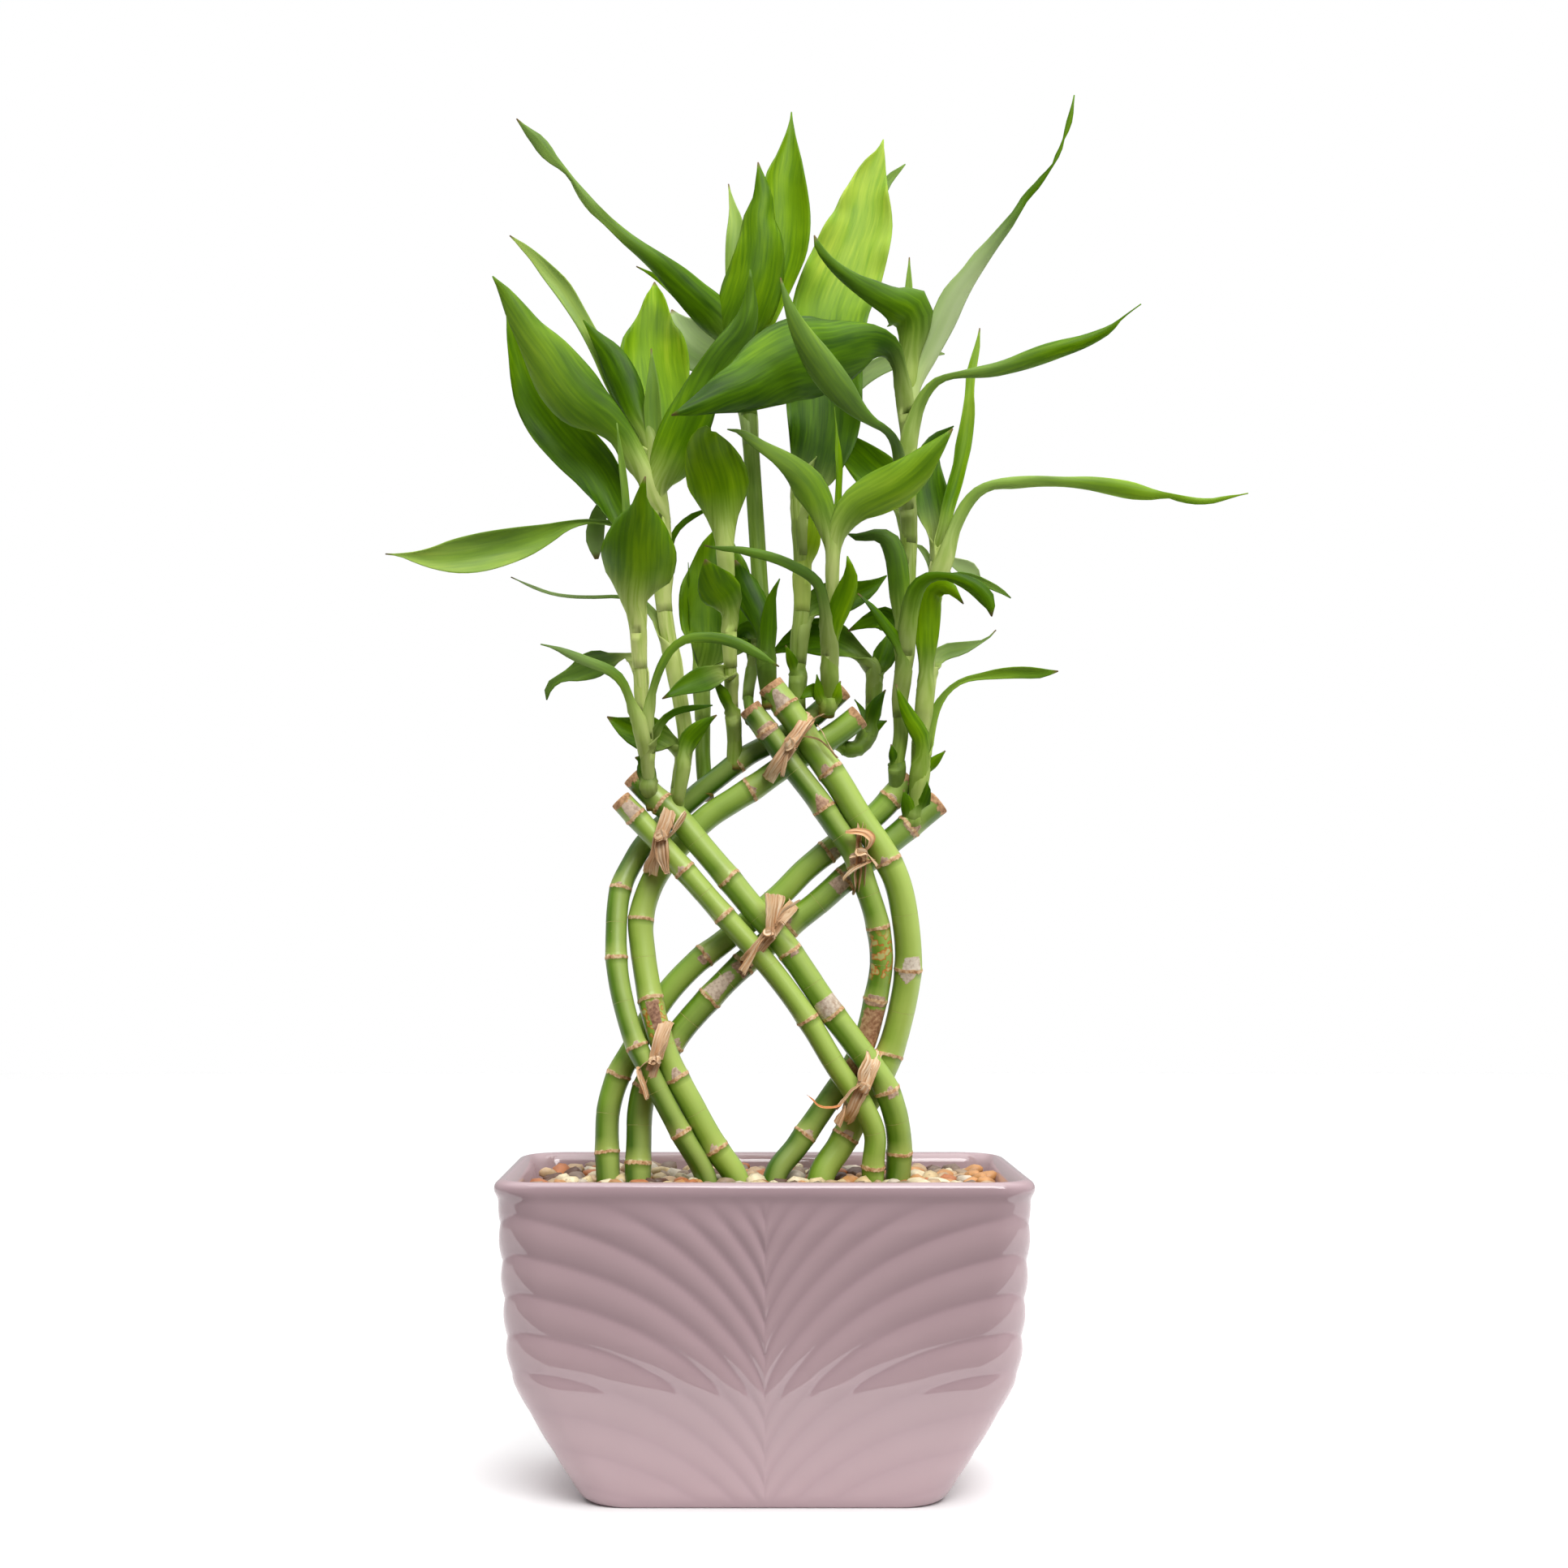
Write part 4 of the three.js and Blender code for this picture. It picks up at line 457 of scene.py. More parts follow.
# Radius, the heights of the ringed joints, and the line from the foot to the cut top
CANES = {
    "cane_left_outer": (3.3, (107.5, 133.75, 161.25, 182.5, 221.5),
        [(-16.5, -1, 56), (-17.8, -2.5, 80), (-18.4, -4, 92.75), (-25.8, -5.9, 106.5),
         (-32.5, -6.8, 119), (-36.6, -6.6, 127.25), (-40.5, -6, 135.5), (-45.4, -3, 154.5),
         (-46.2, 0, 168.75), (-44.8, 3.2, 182.5), (-41.4, 5.4, 190), (-37.3, 6.6, 196.5),
         (-24.8, 7, 208.5), (-14.5, 6.8, 217), (-6.25, 6.6, 223.2), (.25, 6.2, 226.8),
         (13.5, 5.6, 234.75), (23.5, 5.6, 243.75)]),
    "cane_left_inner": (3.85, (102.5, 124.25, 148.5, 173, 213),
        [(-6.5, 0, 56), (-8, -.5, 80), (-9.1, -1.3, 92.75), (-15.9, -2.8, 103.25),
         (-23.3, -3.6, 116.5), (-28.2, -3.8, 125.5), (-31.6, -3.5, 133.75), (-35, -2, 145.5),
         (-38.1, 1, 164.25), (-38.6, 2, 172.5), (-36.6, 3, 180.75), (-32.4, 3.9, 189),
         (-19.1, 4.5, 203.6), (-9.5, 4.5, 210.1), (-3, 4.5, 214.2), (4.5, 4.6, 219.5),
         (22, 4.8, 230.5), (28.5, 4.8, 235.5)]),
    "cane_right_inner": (3.6, (106.75, 148.5, 170.75, 190, 207, 231.25),
        [(1, 0, 56), (1.8, 1, 80), (2.75, 2, 94), (9.5, 4, 103.25), (15.25, 5, 111.5),
         (21, 5.5, 119.75), (26.75, 5.2, 128), (30.25, 4, 135.25), (33.5, 1.5, 147.5),
         (35.5, -1, 160), (34.25, -3, 171.75), (31, -4.4, 182.5), (27, -5.1, 193.25),
         (21, -5.3, 202.25), (16, -5.3, 209.75), (7.75, -5, 220.5), (2, -4.8, 228.75),
         (-5, -4.8, 238)]),
    "cane_right_outer": (4.15, (106.25, 131.75, 157.75, 191, 218.75, 238.5),
        [(14.5, 0, 56), (15.8, 1, 80), (17, 2, 94), (22.75, 4, 103.25), (27, 4.8, 110.75),
         (32.75, 5, 120), (37.75, 4.4, 131), (41.75, 2.4, 145.25), (43.75, 0, 158.5),
         (43, -2.4, 171.75), (40.25, -4.2, 185), (35.25, -5, 195), (28.5, -5, 204.75),
         (22, -5, 215.5), (15.25, -5, 224.75), (8.75, -5, 234.75), (1.25, -5, 245)]),
    "cane_rising_right_upper": (3.7, (101.5, 125, 162, 193.75, 210),
        [(-47.5, 2, 56), (-48.5, 2.5, 80), (-48.75, 3, 95), (-49, 4, 103.25), (-48.5, 5, 114.75),
         (-45.25, 5.6, 125.5), (-41.5, 5.8, 132.25), (-31.25, 5.8, 149.25), (-21.25, 5.8, 160),
         (-13.75, 5.8, 165.75), (3.75, 5.8, 180), (12, 5.8, 188.25), (20.25, 5.8, 195),
         (34.25, 5.6, 205.75), (43.75, 5.6, 216.75)]),
    "cane_rising_right_lower": (3.95, (98, 121.25, 135, 148.75, 159.25, 171, 185.5, 201.75),
        [(-38.5, 0, 56), (-39.3, .5, 80), (-39.5, 1, 93.25), (-39.25, 2.5, 103.25),
         (-38.75, 4, 114.75), (-37, 4.6, 121.5), (-27.75, 4.8, 136.75), (-17, 4.8, 149.25),
         (-7, 4.8, 159.25), (7.75, 4.8, 171.75), (16, 4.8, 178.25), (24.5, 4.8, 185.75),
         (38.5, 4.8, 197.25), (53, 4.8, 209)]),
    "cane_rising_left_lower": (3.4, (96.75, 118, 142.25, 174.25, 188.25, 204.75),
        [(31, -2, 56), (32, -2.4, 80), (32.75, -3, 91.5), (33, -3.8, 98.25), (33.5, -4.6, 106.5),
         (30.25, -5.6, 114.75), (22, -6.1, 127), (12, -6.3, 143.5), (.25, -6, 159.25),
         (-13, -6, 174.25), (-25.25, -6, 188.25), (-38.75, -6, 203.25), (-44.75, -6, 209.75)]),
    "cane_rising_left_upper": (3.85, (101.25, 120.5, 143.75, 163, 185.5, 208.75),
        [(39, 1, 56), (40, 1, 80), (40.5, .5, 91.5), (41, -1.2, 104.75), (39.25, -3.4, 114.75),
         (36, -4.6, 122.75), (27, -4.8, 135.25), (19.5, -4.8, 145.25), (9.5, -4.8, 160),
         (4.5, -4.8, 166.75), (-3, -4.8, 175.25), (-11.25, -4.8, 185.25), (-19.5, -4.8, 195),
         (-27.75, -4.8, 204.75), (-35.25, -4.8, 211.5), (-40.75, -4.8, 217.25)]),
}
# Dry papery scars on the green, by cane: height of the joint, start and end along the cane from
# it, offset to the right, half width, how pointed the far end is, and from white (0) to brown (1)
SCARS = {
    "cane_rising_right_lower": [
        (148.75, .3, 11, -.5, 3.4, .55, .3), (159.25, -3.2, 2.6, .4, 3.4, .4, .75),
        (171, .2, 2.4, -1.6, 1.8, .8, .7), (185.5, -5, 2.2, .2, 3.0, .3, .55),
        (201.75, -1.5, 2.6, .8, 3.6, .5, .75), (135, .2, 2.5, 1, 2.4, .9, .5)],
    "cane_rising_right_upper": [
        (193.75, -.5, 4.5, 1.8, 2.6, .6, .35), (162, -2.4, 1.2, .6, 2.0, .5, .7),
        (210, .1, 1.6, 0, 2.6, .8, .6)],
    "cane_rising_left_upper": [
        (143.75, .2, 6, .3, 4.6, .1, .15), (120.5, -2, 1.2, 1, 2.2, .7, .6),
        (163, -1.4, .6, .8, 2.0, .7, .6)],
    "cane_rising_left_lower": [
        (204.75, -.6, 5.5, .4, 2.7, .3, .45), (188.25, -.4, 1.6, -.6, 2.4, .9, .6),
        (118, 0, 1.8, .8, 2, .9, .5)],
    "cane_right_outer": [
        (157.75, .2, 4.6, .8, 3.4, .3, .05), (157.75, -4.0, -.1, -.4, 3.8, 1, .25),
        (238.5, .2, 6.5, -.4, 3.4, .9, .35), (218.75, -1, 2.8, -1.2, 2.4, .7, .75),
        (191, -.6, 2, -1.4, 2.6, .8, .7), (106.25, -.3, 2.2, 0, 2.6, .7, .4)],
    "cane_right_inner": [
        (207, .2, 5.2, .2, 3.4, 1, .85), (231.25, -1.8, 1.6, 0, 4, .2, .8),
        (190, -.8, 4, -.2, 3.4, .5, .7), (148.5, -26, -1.2, .6, 3.9, .1, 1),
        (148.5, -1.4, 1.8, 0, 4, .3, .75), (106.75, -.4, 2, .4, 2.6, .7, .5)],
    "cane_left_inner": [
        (148.5, -12, -.6, .4, 2.4, .5, .9), (213, -.4, 1.4, .6, 2.6, .8, .7),
        (124.25, -.4, 3.2, .6, 2.6, .8, .5), (102.5, 0, 2.2, -.4, 2.4, .9, .5)],
    "cane_left_outer": [
        (133.75, -.4, 1.4, .4, 2.2, .8, .6), (182.5, -.4, 1.0, -.8, 2.0, .8, .6),
        (107.5, -.2, 1.6, 0, 2.2, .8, .5)],
}
# Small rusty blotches on two canes: from height, to height
BLOTCHES = {"cane_right_inner": (153, 171), "cane_left_inner": (133, 148.5)}
# How light the green of each cane is, from 0 to 1
CANE_TONES = {
    "cane_left_outer": .2, "cane_left_inner": .75, "cane_right_inner": .35, "cane_right_outer": .8,
    "cane_rising_right_upper": .5, "cane_rising_right_lower": .3, "cane_rising_left_lower": .7,
    "cane_rising_left_upper": .45}


def cane_line(name):
    """A cane's fine reading, the same as real places, and how far along it each is"""
    reading = smooth_path(CANES[name][2], count=1200)
    place = sighted(reading)
    return reading, place, distances(place)


def cane_base(name):
    """A cane's line, with its girth, its distances along and to the nearest joint, and how near it
    is to the cut"""
    step, dried_length = 0.0008, 0.0026
    radius, rings, _ = CANES[name]
    reading, place, walked = cane_line(name)
    stops = np.linspace(0, walked[-1], int(walked[-1] / step))
    # The last few steps close the cut top, which is a little sunken and dry.
    top_steps = np.array([0.2, 0.35, 0.43, 0.47, 0.50, 0.52]) / 1000
    top_girths = [1.0, 0.99, 0.96, 0.90, 0.74, 0.4, 0.02]
    stops = np.concatenate([stops, walked[-1] + top_steps])
    top_steps_on = stops[-len(top_steps):] - walked[-1]
    close = np.concatenate([np.ones(len(stops) - len(top_girths)), top_girths])
    spot = sampled(stops, walked, place)
    end = place[-1] - place[-2]
    spot[-len(top_steps):] = place[-1] + np.outer(top_steps_on, end / np.linalg.norm(end))
    to_joint = stops[:, None] - np.interp(rings, reading[:, 2], walked)
    to_ring = to_joint[np.arange(len(stops)), np.abs(to_joint).argmin(axis=1)]
    # A joint is a little swollen, and the cane is a little slimmer above it.
    swell = 1 + 0.045 * np.exp(-(to_ring / 0.003) ** 2) - 0.012 * np.exp(-((to_ring - 0.010) / 0.006) ** 2)
    edges = [(k, k + 1) for k in range(len(spot) - 1)]
    return mesh_of(name, spot, edges=edges, girth=radius / 1000 * grown(spot) * swell * close,
                   to_ring=to_ring, along=stops, cut=np.clip(1 - (walked[-1] - stops) / dried_length, 0, 1))


def round_profile(tree, sides):
    """A circle to sweep, and the numbers of a place on it"""
    inputs = {"Resolution": sides, "Radius": 1.0}
    return put(tree, "GeometryNodeCurvePrimitiveCircle", inputs).outputs[0], position_parts(tree)


def swept(tree, line, profile):
    """A profile swept along a line, as thick as the line's girth, with closed ends"""
    inputs = {"Curve": line, "Profile Curve": profile, "Scale": read(tree, "girth"), "Fill Caps": True}
    return put(tree, "GeometryNodeCurveToMesh", inputs).outputs[0]


def cane_tree():
    """A round cane along a line, with a thin raised ring wherever to_ring passes nought"""
    tree, given = shaping_tree("ringed cane", ["Sides", "Ring Height", "Ring Width", "Wander", "Seed"])
    line = put(tree, "GeometryNodeMeshToCurve", {0: given["Geometry"]})
    profile, on_circle = round_profile(tree, given["Sides"])
    profile = store(tree, profile, "round_x", on_circle[0])
    profile = store(tree, profile, "round_y", on_circle[1])
    cane = swept(tree, line.outputs[0], profile)
    place = position(tree)
    wander, frill = (noise(tree, place, scale, detail=1.0, noise_dimensions="4D")[0]
                     for scale in (160.0, 700.0))
    for texture in (wander, frill):
        feed(tree, texture.node, {"W": given["Seed"]})
    from_ring = vary(tree, read(tree, "to_ring"), wander, given["Wander"])
    edge = calc(tree, "DIVIDE", from_ring, given["Ring Width"])
    lip = calc(tree, "EXPONENT", calc(tree, "MULTIPLY", calc(tree, "MULTIPLY", edge, edge), -1.0))
    lift = calc(tree, "MULTIPLY", calc(tree, "MULTIPLY", lip, given["Ring Height"]),
                calc(tree, "MULTIPLY_ADD", frill, 1.5, 0.25))
    way = put(tree, "GeometryNodeInputNormal").outputs[0]
    raised = moved(tree, cane, scaled(tree, way, lift))
    return close_tree(tree, store(tree, raised, "from_ring", from_ring), given["Material"])


def scar_cane(piece, name):
    """Writes on a finished cane where its papery scars and rusty blotches lie, which way each point faces
    for the painted highlight and shade, and how light its green is.
    """
    mesh = piece.data
    count = len(mesh.vertices)
    spot, along = np.empty(count * 3), np.empty(count)
    mesh.vertices.foreach_get("co", spot)
    mesh.attributes["along"].data.foreach_get("value", along)
    radius = CANES[name][0] / 1000
    reading, place, walked = cane_line(name)
    way = np.gradient(place, axis=0)
    way /= np.linalg.norm(way, axis=1)[:, None]
    from_middle = spot.reshape(-1, 3) - sampled(along, walked, place)
    right = np.cross((0, 1, 0), sampled(along, walked, way))
    aside = (from_middle * right).sum(axis=1)
    in_front = np.clip(0.3 - from_middle[:, 1] / radius, 0, 1)
    scar = np.zeros(count)
    tone = np.full(count, 0.5)
    for joint, start, end, offset, half, pointed, brown in SCARS.get(name, []):
        from_joint = (along - np.interp(joint, reading[:, 2], walked)) * 1000
        share = (from_joint - start) / (end - start)
        if end <= 0:
            share = 1 - share
        room = half * (1 - pointed * np.clip(share, 0, 1))
        # Above 0 on the scar, to 1 at its middle, and only on the front of the cane
        inside = np.minimum(1 - np.abs(aside * 1000 - offset) / np.maximum(room, 0.05),
                            (0.5 - np.abs(share - 0.5)) * 2.5)
        inside = np.where(in_front > 0.05, np.clip(inside * 1.6, -1, 1), -1)
        tone = np.where(inside > scar, brown, tone)
        scar = np.maximum(scar, inside)
    blotch = np.zeros(count)
    if name in BLOTCHES:
        low, high = np.interp(BLOTCHES[name], reading[:, 2], walked)
        share = (along - low) / (high - low)
        blotch = np.clip(np.minimum(share, 1 - share) * 5, 0, 1) * in_front
    # Painted highlight and shade: the side of a cane that faces the lamps is paler, the side away from them
    # darker. The lowest and the highest parts are darker too.
    height = spot[2::3]
    dim = np.clip((0.128 - height) / 0.035, 0, 1) + np.clip((height - 0.190) / 0.035, 0, 1)
    painted_light_way = np.array([0.45, -0.77, 0.45])
    number_points(mesh, scar=scar, scar_tone=tone, blotch=blotch, sunny=from_middle @ painted_light_way / radius,
                  tone=CANE_TONES[name] - 0.4 * dim)


def cane_skin():
    """The canes' skin: streaky green with painted highlight and shade across it, with papery rings, scars,
    rusty blotches and dry cut tops
    """
    material, tree, shader = new_material("living cane")
    turn = vector(tree, calc(tree, "MULTIPLY", read(tree, "round_x"), 0.0045),
                  calc(tree, "MULTIPLY", read(tree, "round_y"), 0.0045),
                  calc(tree, "MULTIPLY", read(tree, "along"), 0.05))
    streak = noise(tree, turn, scale=900.0, detail=2.0)[0]
    where = object_place(tree)
    fray = noise(tree, where, scale=900.0, detail=3.0)[0]
    cloud = use(tree, MOTTLE, Scale=60.0, Strength=0.03, Depth=0.0002)
    shade = vary(tree, read(tree, "tone"), cloud["Shade"], 0.8)
    green = ramp(tree, vary(tree, shade, streak, 0.22), [
        (0.0, srgb(70, 106, 20)), (0.25, srgb(98, 136, 32)), (0.45, srgb(126, 164, 50)),
        (1.0, srgb(170, 196, 84))])
    sunny = read(tree, "sunny")
    # Painted highlight: a paler green on the side that faces the lamps
    green = mix_colours(tree, fade(tree, sunny, 0.5, 1.0, 0.0, 0.6), green, srgb(196, 216, 118))
    # Painted shade: a darker green on the side away from the lamps
    green = mix_colours(tree, fade(tree, sunny, 0.6, -0.6, 0.0, 0.75), green, srgb(70, 104, 20))
    # Just above each joint the skin is paler. Just below it a band of painted shade darkens it, as under
    # the raised ring.
    from_ring = read(tree, "from_ring")
    is_above = calc(tree, "GREATER_THAN", from_ring, 0.0)
    above = calc(tree, "MULTIPLY", fade(tree, from_ring, 0.0012, 0.0050, 0.55, 0.0), is_above)
    green = mix_colours(tree, above, green, srgb(176, 194, 98))
    # Painted shade under each raised ring
    below = calc(tree, "MULTIPLY", fade(tree, from_ring, -0.0024, -0.0006, 0.0, 0.75),
                 calc(tree, "SUBTRACT", 1.0, is_above))
    green = mix_colours(tree, below, green, srgb(88, 118, 26))
    width = calc(tree, "MULTIPLY_ADD", fray, 0.0011, 0.00006)
    on_ring = calc(tree, "DIVIDE", calc(tree, "ABSOLUTE", from_ring), width)
    on_ring = fade(tree, calc(tree, "SUBTRACT", 1.0, on_ring), -0.1, 0.25)
    papery = ramp(tree, fray, [(0.3, srgb(150, 100, 62)), (0.48, srgb(204, 158, 112)),
                               (0.68, srgb(232, 204, 160))])
    # Scars: a little ragged at the edge, mottled inside
    on_scar = fade(tree, vary(tree, read(tree, "scar"), fray, 0.5), 0.12, 0.24)
    stain = calc(tree, "MULTIPLY_ADD", fray, 0.5, calc(tree, "MULTIPLY", cloud["Shade"], 0.5))
    white = ramp(tree, stain, [(0.38, srgb(186, 162, 138)), (0.54, srgb(226, 214, 194))])
    brown = ramp(tree, stain, [(0.38, srgb(116, 72, 52)), (0.5, srgb(166, 118, 86)),
                               (0.62, srgb(204, 160, 122))])
    scar_colour = mix_colours(tree, read(tree, "scar_tone"), white, brown)
    blots = noise(tree, where, scale=480.0, detail=1.0)[0]
    on_blot = calc(tree, "MULTIPLY", fade(tree, blots, 0.51, 0.54), read(tree, "blotch"))
    rust = ramp(tree, blots, [(0.52, srgb(176, 96, 28)), (0.60, srgb(214, 150, 78)),
                              (0.66, srgb(196, 196, 120))])
    on_cut = fade(tree, vary(tree, read(tree, "cut"), fray, 1.2), 0.30, 0.42)
    cut_wood = ramp(tree, fray, [(0.3, srgb(142, 96, 60)), (0.6, srgb(206, 160, 116))])
    skin = mix_colours(tree, on_blot, green, rust)
    skin = mix_colours(tree, on_scar, skin, scar_colour)
    skin = mix_colours(tree, on_ring, skin, papery)
    skin = mix_colours(tree, on_cut, skin, cut_wood)
    dry = calc(tree, "MAXIMUM", calc(tree, "MAXIMUM", on_ring, on_scar), on_cut)
    rough = calc(tree, "MULTIPLY_ADD", dry, 0.42, calc(tree, "MULTIPLY_ADD", cloud["Shade"], 0.12, 0.27))
    relief = calc(tree, "MULTIPLY_ADD", dry, calc(tree, "MULTIPLY", fray, 0.8),
                  calc(tree, "MULTIPLY", streak, 0.03))
    feed(tree, shader, {"Base Color": skin, "Roughness": rough,
                        "Normal": bump(tree, relief, strength=0.5, distance=0.0003)})
    return material


CANE_TREE = cane_tree()
CANE_SKIN = cane_skin()
for number, name in enumerate(CANES):
    cane = shaped(name + "_living", cane_base(name), CANE_TREE, {
        "Sides": 32, "Ring Height": 0.00026, "Ring Width": 0.00034, "Wander": 0.0018, "Seed": 3.7 * number,
        "Material": CANE_SKIN,
    })
    scar_cane(cane, name)
    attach(cane, "root")
    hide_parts(name)


# Gravel: rounded pea gravel in cream, grey, tan and brown, poured round the feet of the canes to
# just under the rim. The deeper fill is hidden, so it is one bed.
def cane_feet():
    """Where each cane goes into the gravel, and its radius"""
    level, feet = 0.087, []
    for radius, _, line in CANES.values():
        low = sighted(smooth_path(line, count=60))[:14]
        feet.append((*low[np.abs(low[:, 2] - level).argmin(), :2], radius / 1000))
    return np.array(feet)


def bed_mesh():
    """The fill, closed, with a fine uneven top. clear is the distance to the nearest cane."""
    sides, rings, surface = 120, 30, 0.0885
    wall, play, squareness = 0.0057, 0.0006, 0.35
    angles = np.linspace(0, 2 * math.pi, sides, endpoint=False)
    round_places = np.array([(math.cos(angle), math.sin(angle)) for angle in angles])
    square = np.sign(round_places) * np.abs(round_places) ** squareness
    heights, widths = zip(*POT_OUTSIDE)
    points = []
    for height in (0.0055, 0.042, surface):
        half = np.interp(height * 1000, heights, widths) / 1000
        for x, y in square * (np.array([half, half_depth(half)]) - wall - play):
            points.append((POT_MIDDLE + x, y, height))
    top = [0] * len(points)
    half = np.array([points[-sides][0] - POT_MIDDLE, 0.0390])
    for ring in range(1, rings):
        for x, y in square * half * (1.015 * (1 - ring / rings)):
            points.append((POT_MIDDLE + x, y, surface + 0.0005 * math.sin(x * 400) * math.cos(y * 500)))
    points.append((POT_MIDDLE, 0, surface))
    top += [1] * (len(points) - len(top))
    feet = cane_feet()
    clear = [(np.linalg.norm(feet[:, :2] - point[:2], axis=1) - feet[:, 2]).min() for point in points]
    last = len(points) - 1
    faces = tube_faces(rings + 2, sides)
    faces += [(last - sides + k, last - sides + (k + 1) % sides, last) for k in range(sides)]
    faces.append(tuple(range(sides))[::-1])
    return mesh_of("bed", points, faces, clear=clear, top=top)


def random_value(tree, low, high, seed, kind="FLOAT"):
    """A random number or vector for each pebble"""
    node = put(tree, "FunctionNodeRandomValue", data_type=kind)
    lowest, highest = [k for k, socket in enumerate(node.inputs) if socket.enabled][:2]
    feed(tree, node, {lowest: low, highest: high, "Seed": seed})
    return next(socket for socket in node.outputs if socket.enabled)


def gravel_tree():
    """Pebbles lie on the bed a set distance apart, each of its own size, turn and colour: first a
    sunken layer that closes the gaps, then the upper one, which stays clear of the canes."""
    sizes = ["Spacing", "Density", "Small", "Large", "Gap", "Seed", "Lift"]
    tree, given = shaping_tree("pea gravel", sizes)
    seed = put(tree, "FunctionNodeFloatToInt", {0: given["Seed"]}).outputs[0]
    stone = put(tree, "GeometryNodeMeshIcoSphere", {"Radius": 1.0, "Subdivisions": 2})
    layers = [given["Geometry"]]
    for layer, (spacing, gap, lift) in enumerate(((0.95, 0.0, -0.3), (1.0, 1.0, 1.0))):
        room = calc(tree, "GREATER_THAN", read(tree, "clear"), calc(tree, "MULTIPLY", given["Gap"], gap))
        chosen = calc(tree, "MULTIPLY", room, calc(tree, "GREATER_THAN", read(tree, "top"), 0.5))
        layer_seed = put(tree, "FunctionNodeIntegerMath", {0: seed, 1: 11 * layer}, operation="ADD")
        spots = put(tree, "GeometryNodeDistributePointsOnFaces", {
            "Mesh": given["Geometry"], "Selection": chosen, "Density Max": given["Density"],
            "Distance Min": calc(tree, "MULTIPLY", given["Spacing"], spacing),
            "Seed": layer_seed.outputs[0]}, distribute_method="POISSON")
        first = 40 * layer
        girth = random_value(tree, given["Small"], given["Large"], first + 1)
        form = random_value(tree, (1.0, 0.78, 0.55), (1.45, 1.0, 0.8), first + 2, "FLOAT_VECTOR")
        turn = random_value(tree, (-0.35, -0.35, 0.0), (0.35, 0.35, 6.28), first + 3, "FLOAT_VECTOR")
        placed = put(tree, "GeometryNodeInstanceOnPoints", {
            "Points": spots.outputs[0], "Instance": stone.outputs[0], "Rotation": turn,
            "Scale": scaled(tree, form, girth)})
        tint = random_value(tree, 0.0, 1.0, first + 4)
        tinted = store(tree, placed.outputs[0], "tint", tint, domain="INSTANCE")
        lifted = put(tree, "GeometryNodeTranslateInstances", {
            0: tinted, "Local Space": False,
            "Translation": vector(tree, 0.0, 0.0, calc(tree, "MULTIPLY", given["Lift"], lift))})
        real = put(tree, "GeometryNodeRealizeInstances", {"Geometry": lifted.outputs[0]})
        layers.append(worn(tree, real.outputs[0], scale=190.0, amount=0.0034))
    heap = tree.nodes.new("GeometryNodeJoinGeometry")
    for layer in reversed(layers):
        tree.links.new(layer, heap.inputs[0])
    return close_tree(tree, heap.outputs[0], given["Material"])


def pebble_stone():
    """The gravel's skin: each pebble has one of ten stone colours, cloudy and grained."""
    material, tree, shader = new_material("pea gravel")
    stone = ramp(tree, read(tree, "tint"), [
        (0.0, srgb(184, 154, 118)), (0.14, srgb(226, 210, 174)), (0.26, srgb(156, 132, 108)),
        (0.36, srgb(196, 140, 86)), (0.48, srgb(212, 186, 138)), (0.60, srgb(122, 102, 88)),
        (0.68, srgb(176, 106, 60)), (0.78, srgb(200, 186, 166)), (0.88, srgb(92, 62, 46)),
        (0.93, srgb(220, 198, 152))])
    stone.node.color_ramp.interpolation = "CONSTANT"
    cloud = use(tree, MOTTLE, Scale=260.0, Strength=0.25, Depth=0.0003)
    shade = fade(tree, cloud["Shade"], 0.3, 0.7, 0.74, 1.12)
    stone = mix_colours(tree, 1.0, stone, shade, "MULTIPLY")
    grains = use(tree, SPECKS, Scale=620.0, Share=0.3, Radius=0.35)
    stone = mix_colours(tree, calc(tree, "MULTIPLY", grains["Mask"], 0.4), stone, srgb(88, 72, 60))
    feed(tree, shader, {"Base Color": stone, "Normal": cloud["Normal"], "Roughness": 0.42})
    return material


gravel = shaped("pea_gravel", bed_mesh(), gravel_tree(), {
    "Spacing": 0.0044, "Density": 150000.0, "Small": 0.0020, "Large": 0.0035, "Gap": 0.0017, "Seed": 5.0,
    "Lift": 0.0038, "Material": pebble_stone(),
})
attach(gravel, "root")
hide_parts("gravel")


